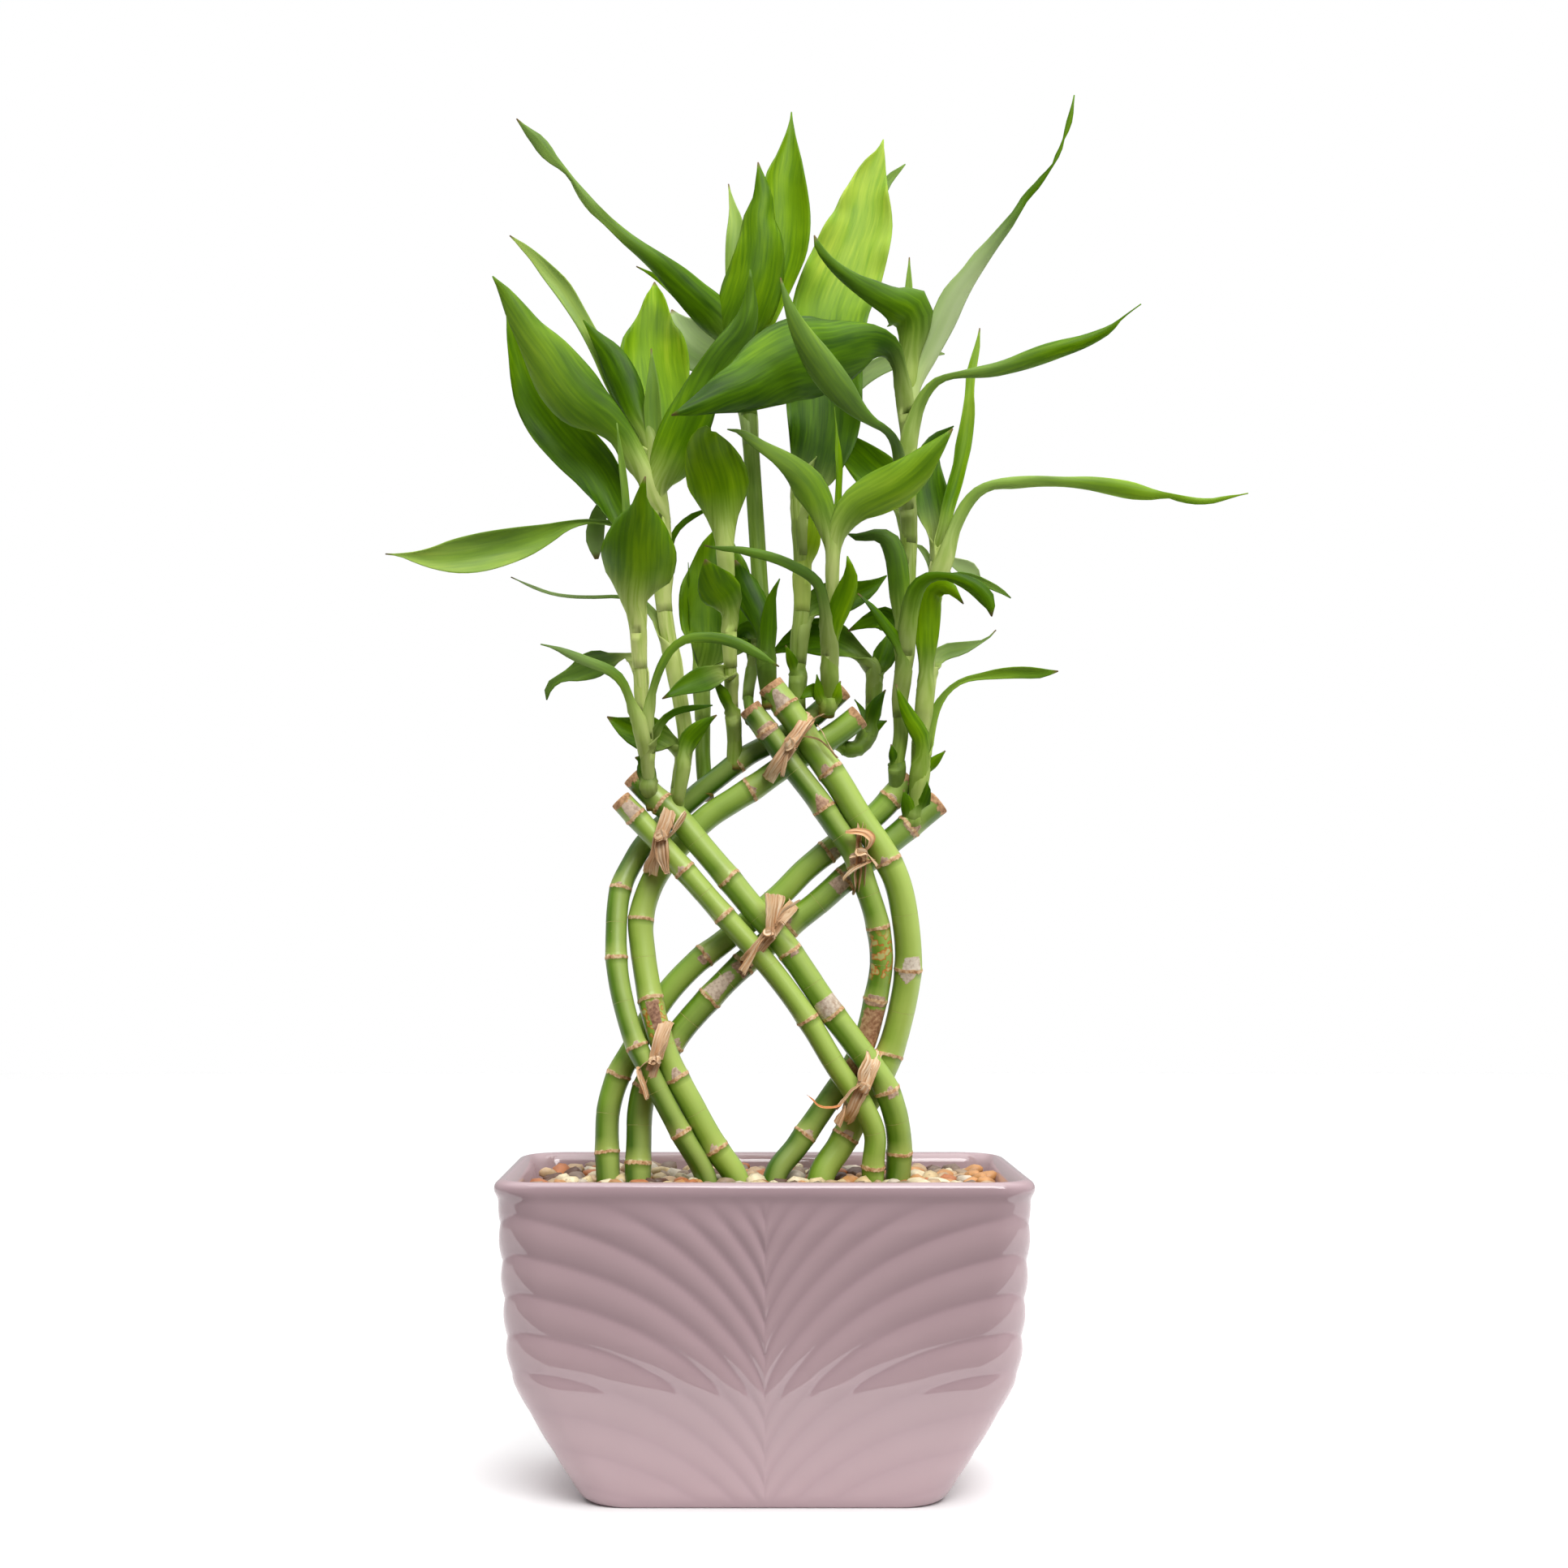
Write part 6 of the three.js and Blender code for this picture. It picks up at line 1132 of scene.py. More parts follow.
         ((0, 0), (.15, .15), (0, 0), .65, [(.2, -6.3, 250.5, 2.6), (.4, -8.2, 255.9, 4),
         (.6, -9.4, 261.6, 5.4), (1, -10, 267.3, 4.4), (1.9, -10.8, 272.9, 2.4), (4.2, -12, 278, 0)]),
         ((0, 0), (.25, .35), (0, 0), .8, [(-6.5, 8, 338, 5), (-8, 7, 345, 8), (-8.9, 6, 350.5, 11),
         (-8.4, 4.5, 355.5, 14.6), (-6.4, 3.5, 360.5, 17.4), (-4.5, 2.5, 366, 18.4), (-3, 2, 371, 17.9),
         (-2.2, 2, 375.5, 16.8), (-1.7, 2, 380, 15), (-1.6, 2, 384.5, 13), (-1.8, 2.3, 389.5, 10.3),
         (-1, 3, 395, 6.6), (-1.6, 3.5, 400.5, 3.6), (-2.5, 4, 406.3, 0)]),
         ((0, 0), (.4, .45), (0, 0), .8, [(-6.2, 9.5, 338, 5), (-5, 11, 346, 6), (-2.5, 13, 355, 8.5),
         (.8, 15, 364.5, 10.6), (3.6, 15.5, 372, 12), (5.2, 16, 378, 14.3), (5.9, 16.5, 384, 15.2),
         (6.1, 17, 390, 15), (5.9, 17.5, 396, 13.8), (6, 18, 402, 11.4), (6.8, 18.5, 406.5, 8.3),
         (7.2, 19, 410.5, 5.6), (7.5, 19.5, 414.3, 3.2), (7.7, 20, 418, 1.5), (7.8, 20.5, 421.8, 0)]),
         ((0, 0), (.5, .6), (.2, .3), .6, [(-6.6, 9.5, 341, 4), (-8.8, 13, 355, 5), (-9.6, 16, 368, 5.6),
         (-9.8, 18, 378, 5.6), (-9.6, 19, 383.5, 5.4), (-9.5, 20, 388, 4.4), (-10.2, 21, 392.3, 2.4),
         (-11, 22, 396, 1.1), (-11.6, 22.5, 399.6, 0)]),
         ((0, 0), (.2, .45), (0, .35), .8, [(-7, 8.5, 342, 4.4), (-9.5, 7.5, 349, 7),
         (-12.8, 5.5, 355.5, 10), (-16.6, 4, 360, 11.2), (-21.6, 2, 364.6, 10.2), (-27, .5, 369.9, 8.6),
         (-33.4, -1, 375.5, 6), (-38.4, -2, 379.4, 4.6), (-43.6, -3, 383.4, 3.9), (-48.8, -4, 388.1, 3.2),
         (-53.2, -4.5, 392.3, 3.4), (-57, -5, 397, 2.7), (-59.8, -5.5, 401.1, 1.4), (-62.2, -6, 404, 1.6),
         (-65, -6.5, 406.5, 2.9), (-68, -7, 409.9, 4.4), (-70.4, -7.5, 413, 4), (-73.6, -8, 416, 2.3),
         (-76.9, -9, 419.7, 0)]),
         ((0, 0), (.4, .4), (0, 0), .65, [(-7, 9, 342, 2.6), (-9.7, 9.6, 348.2, 3),
         (-13.5, 10.2, 353.7, 4.2), (-18.4, 10.7, 358.3, 5), (-23.6, 11, 362.6, 4.5),
         (-28.6, 11.1, 367.1, 3.3), (-34.1, 10.8, 371.1, 1.7), (-40, 10, 374.2, 0)]),
         ((0, 0), (.2, .2), (.7, .7), .6, [(-5.6, 8, 329, 5), (-9.5, 15, 338.5, 8), (-14.5, 20, 345, 13),
         (-19.5, 24, 348.3, 15.5), (-23.3, 26.5, 351.3, 13.2), (-26.3, 29, 355.2, 8), (-28, 30, 358.3, 4),
         (-29.1, 31, 360.9, 0)])]),
    "shoot_mid_giant": (
        [[(10, 4.8, 232, 2.2), (9.8, 4.6, 237.5, 2.2), (9.5, 5, 243.75, 2.4), (10, 6, 256.25, 2.5),
         (11, 7, 270, 2.5), (11, 7, 281.25, 2.5), (10.5, 7, 293.75, 2.5), (10, 8, 303.75, 2.5),
         (11.5, 9, 313.75, 2.2)]],
        # The giant leaf runs from dark at its foot to bright at its tip: painted shade on its lower half.
        [((0, 0), (.08, .75), (0, .15), .7, [(10.6, 7.5, 296, 4), (12.5, 9, 303, 8), (15, 11, 311, 15),
         (17, 13, 319.5, 20.5), (17.9, 15, 328, 23), (17.9, 17, 336, 23.4), (18.2, 19, 345, 23),
         (18.9, 21.5, 354, 23.2), (20.2, 24, 362, 23.8), (23, 26.5, 369.3, 23.8), (25.3, 28.5, 375.5, 22.6),
         (27.4, 30.5, 381.5, 20.8), (29.6, 32.5, 387.5, 18.6), (30.4, 34, 392, 15.8),
         (31, 35.5, 396.5, 12.4), (32, 37, 400.5, 10.4), (33.4, 38.5, 404.8, 7), (35, 40, 409, 3),
         (36.1, 41, 413.3, 0)]),
         ((0, 0), (.3, .3), (0, 0), .65, [(9.9, 5, 248, 2.6), (9.1, 3.9, 249.8, 2.9),
         (8.4, 2.9, 251.6, 3.5), (7.6, 2.1, 253.5, 3), (6.8, 1.5, 255.5, 1.7), (6, 1, 257.5, 0)]),
         ((0, 0), (.7, .7), (0, 0), .65, [(10.9, 6.5, 279, 2.6), (12.2, 5.8, 283.5, 3.8),
         (13.4, 5.2, 288, 6), (14.2, 5, 292.6, 5.2), (14.1, 5.5, 297.3, 2.9), (14, 6, 302, 0)]),
         ((0, 0), (.2, .2), (0, 0), .65, [(10.6, 6.5, 262, 2.6), (12, 10.3, 265.5, 4), (14, 14, 268.8, 8.3),
         (18.3, 16.5, 270.8, 11), (23.2, 18.2, 272.2, 9.9), (28.2, 19.4, 273.6, 7.4),
         (33, 20.2, 275.8, 3.8), (37.2, 21, 279, 0)]),
         ((0, 0), (.35, .35), (.6, .6), .6, [(10.8, 8.6, 309, 3.6), (14, 15, 319, 5), (20, 20, 329.5, 6),
         (27.5, 24, 338.5, 6), (33.5, 26, 342.6, 5.4), (40, 27, 345.4, 5), (47, 27.5, 347.2, 4),
         (51.5, 27.5, 347.5, 2.4), (55, 27.5, 347.2, 0)]),
         ((0, 0), (.5, .4), (.3, .3), .6, [(10.8, 8.4, 305, 3), (16, 26, 335, 4), (26, 38, 370, 4.4),
         (33, 43, 392, 4), (38, 44, 401.2, 2.6), (40.3, 44, 403.3, 1.8), (42.9, 44, 405.7, 0)])]),
    "shoot_mid_right": (
        [[(18.5, 3, 236, 2.3), (19.25, .5, 240.5, 2.4), (19.5, -2, 246, 2.4), (19.75, -5, 253.5, 2.3),
         (20, -7, 263.75, 1.8), (20.5, -9, 274.5, 1.6), (20.5, -10, 283.75, 1.6), (20, -11, 294, 2.2)]],
        [((0, 0), (.4, .4), (0, 0), .65, [(19.5, -3, 247.5, 2.6), (19.8, -5.8, 252.7, 2.9),
         (20.1, -8.5, 257.9, 3.9), (20.8, -10.5, 263.4, 5.4), (22.6, -12, 268.8, 6.7),
         (24.7, -13.6, 274, 6.6), (26, -15.4, 279.4, 4), (25, -17, 285, 0)]),
         ((0, 0), (.25, .2), (.1, .1), .6, [(19.7, -5.5, 255, 3.4), (18.8, -9, 262, 3.2),
         (18, -12.5, 269, 3.4), (16.5, -15, 275.5, 3.3), (13.5, -17.5, 279, 3.2), (10, -19, 281, 3.2),
         (6, -20, 283, 3.2), (1, -21, 284.8, 3), (-4, -21, 286, 2.7), (-9, -21.5, 287, 2),
         (-14, -22, 287.3, 1.4), (-19, -22, 288.2, 0)]),
         ((10, 25), (.5, .45), (.1, .2), .9, [(20.3, -10, 279, 4), (20, -12, 287, 4), (19, -13, 294, 6),
         (17, -14.5, 301, 9), (14, -16, 307, 10.5), (9.5, -18, 311.8, 7.5), (4, -20.5, 315.8, 5.2),
         (-1, -22, 319, 4), (-5.5, -23, 322, 2.8), (-8.5, -24, 323.4, 1.4), (-12, -24.5, 324, 0)]),
         ((0, 0), (.5, .45), (.1, .05), .8, [(20.4, -9.6, 279, 4), (21, -11, 286, 5), (23, -14, 294, 7),
         (27.5, -16.5, 300.3, 10.5), (33, -18.5, 303.5, 12.9), (40, -20, 307, 13.2), (46, -21, 311.5, 10.5),
         (50.5, -22, 316.3, 7), (54.2, -22, 320.3, 3.6), (57.5, -22, 324.2, 0)]),
         ((60, 60), (.5, .5), (0, 0), .65, [(20.5, -9.5, 282, 1.3), (21, -8.7, 289, 1.5),
         (21.5, -8, 296, 1.9), (21.8, -7.5, 303, 2.2), (22, -7, 310, 2), (21.9, -6.3, 317, 1.5),
         (21.6, -5.9, 324, .8), (21, -6, 331, 0)]),
         ((0, 0), (.3, .3), (0, 0), .65, [(18.9, .5, 240, 2.6), (17.4, -0, 241.5, 3.4),
         (15.9, -.6, 242.9, 5), (13.9, -1.2, 243.4, 4.3), (12.2, -1.6, 242.3, 2.4), (10.5, -2, 241, 0)]),
         ((0, 0), (.4, .4), (0, 0), .6, [(19.4, -.5, 239.5, 5), (21.2, -3, 242, 4.4),
         (22.9, -4, 246.5, 0)]),
         ((0, 0), (.4, .3), (0, 0), .6, [(19, -.5, 239, 5), (16.6, -3, 242.5, 4), (15.6, -4, 248.5, 0)])]),
    "shoot_back_hook": (
        [[(20.5, 4.8, 228, 1.8), (22.8, 7, 226.5, 1.8), (26, 9, 224.75, 2), (29.5, 10, 226.75, 2.2),
         (32, 12, 232.5, 2.2), (33, 13, 240, 2.2), (33.25, 14, 247.5, 2.3), (33, 15, 254, 2.4)]],
        [((0, 0), (.25, .25), (0, 0), .65, [(33.2, 14.5, 250, 2.6), (29.6, 16.2, 253.5, 3.7),
         (25.6, 17.8, 256.6, 7.3), (21, 19.1, 258.9, 11.2), (16, 20.5, 260, 11.6), (10.9, 21.5, 259.4, 9),
         (6, 22.3, 257.4, 4.8), (1.5, 23, 254.8, 0)]),
         ((0, 0), (.3, .3), (0, 0), .65, [(33.3, 14, 246, 2.6), (34.6, 14.9, 249.4, 4.1),
         (35.8, 15.8, 252.7, 7), (37, 17.2, 255.9, 6), (37.9, 18.7, 259.1, 3.4), (38.5, 20, 262.5, 0)]),
         ((0, 0), (.2, .2), (0, 0), .65, [(31.6, 11, 230, 2.6), (32.2, 9.9, 232.8, 3.4),
         (32.7, 8.8, 235.6, 5), (33.6, 8, 238.5, 4.3), (35.1, 7.9, 241.2, 2.4), (36.8, 8, 243.8, 0)]),
         ((0, 0), (.2, .2), (0, 0), .65, [(30.8, 11, 230, 2.6), (32, 10.6, 231, 2.9),
         (33.1, 10.3, 232, 3.5), (34.4, 10, 232.9, 3), (35.8, 10, 233.6, 1.7), (37.2, 10, 234.2, 0)]),
         ((0, 0), (.2, .2), (0, 0), .65, [(32, 12.4, 232, 1.8), (31.2, 13, 233.8, 1.9),
         (30.4, 13.5, 235.6, 2), (29.6, 14, 237.4, 1.7), (28.5, 14.1, 239.1, 1), (27.2, 14, 240.8, 0)])]),
    "shoot_right_inner": (
        [[(40, 5.6, 211, 2.3), (40.3, 3.5, 216, 2.3), (40.25, 2, 221, 2.3), (41.5, 1, 230, 2.3),
         (41.25, 0, 241.25, 2.3), (42.25, 0, 250, 2.3), (43.25, 0, 260.25, 2.3), (43.75, 0, 274.5, 2.3),
         (44, 0, 288, 2.3), (44, 0, 301.5, 2.3), (44, 0, 313.75, 2.3), (43.75, 1, 326, 2.3),
         (43.25, 2, 338.25, 2.3), (43.3, 1, 347, 2.2)]],
        [((0, 20), (.35, .25), (0, .05), 1.1, [(43.6, 1, 338, 4.8), (44.4, 0, 345, 6.3),
         (45.3, -2, 351, 8.4), (45.8, -3.5, 355.5, 10.6), (45, -5.5, 360, 15.5), (40.2, -8, 363, 10),
         (33.5, -10, 366.4, 7.4), (28, -12, 369.4, 5), (22.5, -14, 373.6, 3.6), (18.5, -15.5, 377.3, 2.8),
         (15.9, -16.5, 380.8, 2.2), (14.8, -17, 383.8, 0)]),
         ((0, 0), (.5, .2), (1, 0), .7, [(43.6, 1, 330, 4), (46, 1, 338.5, 4.6), (49, 1, 345.5, 6),
         (52, 1, 352, 7.2), (54.9, .5, 358.3, 8), (58, 0, 365, 7.8), (62.6, -.5, 371.6, 5.8),
         (66.1, -1, 376.6, 5.2), (69.1, -1.5, 380.3, 4.2), (72, -2, 384, 3.6), (74.6, -2, 387.3, 3.2),
         (77, -2.5, 390.6, 2.4), (80, -2.5, 395.4, 2.2), (83, -3, 398.7, 2.1), (86, -3, 402.5, 1.5),
         (87.9, -3.5, 404.8, .6), (89.6, -4, 408.1, 1.3), (91, -4, 411.2, 1), (91.6, -4.5, 413.3, .6),
         (93, -4.5, 417.5, 1.8), (94, -5, 421.5, 1.4), (94.9, -5, 427, 0)]),
         ((0, 0), (.4, .3), (.2, 0), .8, [(43.4, -1, 316, 4), (45.2, -3, 325, 4), (47, -4.5, 331, 3.8),
         (49.3, -5.5, 335.3, 3.2), (52.5, -6.5, 338.7, 2.6), (56, -7, 340.2, 2), (60, -7.5, 340.9, 2.2),
         (65, -8, 341.5, 3.3), (70, -8.5, 342.2, 4), (75, -9, 343.5, 4.5), (80, -9.5, 345.2, 5.3),
         (86, -10, 347.3, 5.6), (91, -10, 348.9, 5.1), (97, -10, 350.7, 4.1), (102, -10, 352.8, 3.2),
         (106, -10, 355, 2.2), (108.9, -10, 357.6, .8), (111.5, -10, 359.7, .5), (115.5, -10, 362.6, 0)]),
         ((0, 0), (.15, .2), (0, 0), .8, [(43.2, 0, 329, 4), (42, -3, 337, 4), (40.9, -6.5, 344, 4.4),
         (38.4, -10.5, 349, 7), (34, -14, 351, 10.4), (28.4, -18, 350.4, 16.6), (21.8, -22, 348.6, 22.2),
         (15, -26, 347.3, 25), (8, -29.5, 345.8, 24.4), (1, -32.5, 342.4, 21.6), (-6.1, -34.5, 338.1, 15.8),
         (-12.7, -36.5, 335.4, 12), (-19, -38, 332.4, 7.4), (-24, -39, 330.2, 4), (-29.2, -40, 328.3, 0)]),
         ((0, 0), (.2, .3), (.1, .15), .9, [(43.6, -1.5, 300, 4), (42, -7, 309, 4), (41, -11.5, 315.5, 3.8),
         (39.4, -16, 320.6, 3), (36.8, -20, 323.9, 2.4), (33.5, -24, 326, 2.8), (28.5, -29, 330.2, 5.8),
         (24.2, -33.5, 335, 8.6), (20.2, -37, 340, 9.7), (16.3, -40, 345.4, 9.2), (13, -42, 350.4, 7.4),
         (10, -43, 355.4, 5.5), (7.7, -44, 360.3, 3.7), (5.7, -44, 366, 1.8), (4.4, -44, 370.7, 0)]),
         ((0, 0), (.3, .3), (0, 0), .65, [(43.8, 1, 293, 2.6), (42, 5.1, 298.7, 4.3),
         (39.5, 9.3, 304.1, 9.6), (35.5, 13.2, 308.6, 13), (31.2, 17.1, 312.9, 11.7),
         (26.6, 20.7, 317.2, 8.7), (21.4, 23.2, 321.5, 4.5), (16, 25, 326, 0)]),
         ((0, 0), (.5, .5), (.1, .2), .6, [(43.3, 2, 342, 3), (43.5, 4, 356, 3), (43.9, 5, 366, 2.6),
         (44, 5.5, 371, 1.6), (44.1, 6, 377, 0)]),
         ((0, 0), (.3, .1), (.05, .1), 1, [(42.6, 0, 258, 4.4), (42, -2, 266, 5.4), (41.3, -4, 273, 6.2),
         (40.9, -5.5, 279, 6.6), (40, -6.5, 285, 6.6), (38, -7, 289.6, 6), (34.8, -7, 291.6, 4),
         (31.3, -6.5, 291.2, 2.9), (28, -5.5, 290.8, 2.3), (25.1, -4.5, 291.8, 0)]),
         ((30, 30), (.2, .2), (0, 0), .65, [(42, -1, 246.5, 2.3), (42.1, -2.4, 250.9, 2.5),
         (42, -3.8, 255.3, 3.4), (40.3, -4.6, 259.5, 3.9), (37.6, -5.1, 263.3, 3.5),
         (34.7, -5.8, 266.9, 2.6), (31.6, -6.1, 270.3, 1.4), (28.2, -6, 273.5, 0)]),
         ((0, 0), (.25, .25), (0, 0), .65, [(42.5, 1, 254, 2.6), (41.2, 4.6, 258.5, 4.5),
         (39.7, 8.2, 262.9, 7.9), (35.6, 11.3, 265.8, 6.9), (30.4, 12.8, 264.5, 3.9),
         (25.2, 14, 261.8, 0)]),
         ((0, 0), (.25, .15), (0, 0), .9, [(43, -1, 255, 4), (43.6, -5, 262, 5), (44.6, -8, 269, 5.6),
         (46.3, -10, 274.6, 5), (49.6, -12, 278, 3.6), (54.5, -13.5, 278.8, 2.4), (59.5, -14.5, 277.7, 3.6),
         (64.3, -15, 275.3, 4.8), (67.8, -15, 271.9, 4.8), (69.2, -15, 269, 2.6), (69.5, -15, 266.3, 0)]),
         ((0, 0), (.3, .3), (0, 0), .65, [(40.3, 1.5, 220, 2.6), (39.9, .5, 221.3, 2.7),
         (39.5, -.4, 222.5, 3), (39.1, -1.2, 223.9, 2.6), (38.8, -1.6, 225.4, 1.5), (38.5, -2, 227, 0)])]),
    "shoot_right_outer": (
        [[(45, 4.8, 202.5, 2.4), (46, 3.6, 208, 2.4), (46.75, 2, 213.5, 2.4), (47, 2, 221.25, 2.4),
         (47.25, 2, 228, 2.4), (48.75, 2, 236.25, 2.4), (49.5, 2, 250, 2.4), (49.75, 2, 260.25, 2.4),
         (50.75, 2, 270.5, 2.4), (53, 1, 281.25, 2.4), (54.75, 1, 289, 2.4)]],
        [((0, 0), (.55, .6), (.4, .1), .8, [(53.3, 0, 280, 3.4), (55.8, -1, 285, 3.4), (57.3, -2, 291, 3.6),
         (59.4, -2.5, 296.6, 3.8), (62.2, -3, 301.5, 3.7), (65.6, -4, 305, 3.3), (70, -4.5, 306.9, 2.9),
         (76, -5, 307.5, 3.6), (84, -5.5, 308, 3.3), (92, -6, 307.8, 3), (100, -6, 307.3, 4.1),
         (107, -6, 306.2, 5), (113, -6, 305, 5.1), (119, -6, 303.9, 3.3), (124, -6, 303.6, 1.6),
         (128, -6, 302.6, 2.1), (133, -6, 301.8, 2), (138, -6, 302, 1.6), (141.5, -6, 302.9, 1.3),
         (144.6, -6, 303.5, .7), (148.5, -6, 304.3, 0)]),
         ((0, 0), (.3, .65), (0, .1), .8, [(53.4, 1.5, 281, 3.4), (54.2, 2, 290, 3.6), (56, 3, 300, 4.2),
         (58, 4, 307, 4.4), (59.6, 4.5, 313, 4.2), (60.6, 5, 318.5, 4.9), (61.6, 5.5, 324, 4.4),
         (62.3, 6, 329.5, 3.7), (62.6, 6.5, 335, 2.7), (63.1, 7, 341, 2.8), (64.1, 7.5, 345.5, 2.4),
         (65.1, 8, 350, 1.6), (65.8, 8, 355.2, 0)]),
         ((0, 0), (.1, .1), (0, 0), .65, [(53.4, 2, 283, 2.6), (52.6, 4.4, 289.2, 4),
         (51.7, 6.4, 295.5, 8.3), (50.6, 7.9, 302, 11), (49.6, 9.3, 308.5, 9.9), (49.8, 10.4, 315.1, 7.4),
         (52.4, 11.2, 321.1, 3.8), (57.8, 12, 325, 0)]),
         ((0, 0), (.45, .45), (0, 0), .65, [(48.7, .5, 238, 2.6), (49, -.6, 245.2, 3.1),
         (49.4, -1.6, 252.5, 4.8), (49.5, -2.3, 259.8, 7.3), (49.5, -2.6, 267.1, 8.9),
         (50.6, -4.2, 274.1, 7.9), (55.9, -8, 275.5, 4.5), (60.8, -9, 270.2, 0)]),
         ((0, 0), (.55, .5), (.2, .1), .8, [(47.3, 1, 216, 4), (49, 1, 223.5, 4), (50.1, 1, 230, 3.6),
         (51.4, .5, 235.5, 3.2), (53.2, 0, 239.6, 2.5), (55.5, -.5, 242.8, 1.9), (58.5, -1, 245.5, 1.7),
         (62, -1.5, 247.1, 1.7), (66, -2, 247.9, 2.1), (70, -2.5, 248.5, 2.9), (75, -3, 249, 3.5),
         (80, -3, 249.1, 3.6), (84, -3.5, 248.9, 3.2), (87.2, -4, 249.1, 1.8), (90, -4, 249.5, 0)]),
         ((0, 0), (.5, .45), (.6, .6), .6, [(49.6, 3, 247, 4), (52.5, 8, 253.5, 4.6), (56, 10, 255.7, 4.8),
         (60, 11, 256.5, 4), (63.5, 12, 257.6, 2.4), (66.3, 13, 258.6, 1), (68.5, 13, 259.8, .7),
         (70.8, 13, 262.2, 0)]),
         ((0, 0), (.4, .4), (1, 1), .6, [(53.6, 2, 278, 3), (56.5, 6, 283, 2.6), (59.6, 8, 282.2, 4),
         (62.6, 9, 280.8, 4.8), (64.9, 9, 279.2, 2.6), (66, 9, 277.8, 0)]),
         ((0, 0), (.4, .4), (.8, .8), .6, [(51.8, 2, 275, 2.6), (50.9, 5, 281.5, 2), (49.3, 7, 285.4, 1.9),
         (47.7, 8, 287.5, 1.6), (45.9, 8, 288.6, 0)]),
         ((20, 20), (.4, .4), (0, 0), .65, [(47, .5, 218, 2.4), (47.8, -1.3, 222, 3),
         (48.6, -3.1, 226, 4.6), (47.9, -4.7, 230, 5.6), (45.6, -5.8, 233.6, 5.1), (43.4, -6.6, 237.4, 3.8),
         (41.4, -7.2, 241.4, 2), (40, -8, 245.5, 0)]),
         ((0, 0), (.4, .4), (0, 0), .65, [(47.2, 1.5, 218, 2.6), (48.9, .8, 219.3, 2.9),
         (50.5, .2, 220.6, 3.5), (52.1, -.3, 222, 3), (53.7, -.7, 223.5, 1.7), (55.2, -1, 225, 0)]),
         ((0, 0), (.3, .3), (.2, .2), .6, [(50.9, 2, 270, 3), (54, 4, 276.6, 3.2), (59, 5, 278.6, 3),
         (64, 5.5, 278, 2.6), (68.6, 5.5, 276.1, 2.2), (72.4, 5.5, 274.2, 1.6), (75.4, 5.5, 272, 0)]),
         ((0, 0), (.2, .1), (0, 0), .6, [(46, 3, 205, 5.4), (47.6, .5, 209.5, 6), (49, -.5, 213, 3.6),
         (49.3, -1, 216, 0)]),
         ((0, 0), (.15, .1), (0, 0), .6, [(45.2, 3, 203.5, 5), (43.6, 0, 208.5, 4.2),
         (42.3, -1, 213, 0)])]),
}
# How pale and fresh each stem is, from deep green to nearly white
FRESH = {"shoot_left_front": 1, "shoot_left_back": 0.95, "shoot_mid_left": 0.8,
         "shoot_centre_tall": 0.2, "shoot_mid_giant": 0.55, "shoot_mid_right": 0.85,
         "shoot_right_inner": 0.5, "shoot_right_outer": 0.75}


def smooth_step(value):
    """0 up to 0, 1 from 1 on, and smooth between"""
    value = np.clip(value, 0, 1)
    return value * value * (3 - 2 * value)


def between(pair, share):
    """A number on the way from the first of a pair to the second"""
    return pair[0] + (pair[1] - pair[0]) * share


def unit(vectors):
    """Vectors at length 1"""
    return vectors / np.maximum(np.linalg.norm(vectors, axis=-1, keepdims=True), 1e-9)


def round_about(across, out, angle):
    """Directions at an angle round a path, from its side vector across to its side vector out"""
    return across * np.cos(angle)[:, None] + out * np.sin(angle)[:, None]


def carried_along(path, start=0):
    """Directions along a path, and a side vector carried along it both ways from one point"""
    along = unit(np.gradient(path, axis=0))
    across = np.zeros_like(path)
    across[start] = unit(np.cross(along[start], (0, 1, 0)))
    for steps in (range(start + 1, len(path)), range(start - 1, -1, -1)):
        previous = start
        for k in steps:
            across[k] = unit(across[previous] - along[k] * (across[previous] @ along[k]))
            previous = k
    return along, across, np.cross(along, across)


def young_share(fresh, length):
    """How pale a stem or sheath is at a distance from the stem's foot"""
    return fresh * (0.45 + 0.55 * smooth_step((length - 0.006) / 0.04))


def shoot_mesh(name, tubes):
    """One mesh of the closed tubes that a shoot grew, each with the numbers that its skin reads"""
    labels = ("across", "length", "tone", "sheath", "tip", "pale", "seed")
    points, faces, numbers = [], [], []
    first = 0
    for grid, *values in tubes:
        rows, sides = grid.shape[:2]
        points.append(grid.reshape(-1, 3))
        faces += tube_faces(rows, sides, first) + end_faces(rows, sides, first)
        numbers.append([np.broadcast_to(value, (rows, sides)).ravel() for value in values])
        first += rows * sides
    fields = dict(zip(labels, np.concatenate(numbers, axis=1)))
    mesh = mesh_of(name, np.concatenate(points), faces, **fields)
    mesh.shade_smooth()
    return mesh


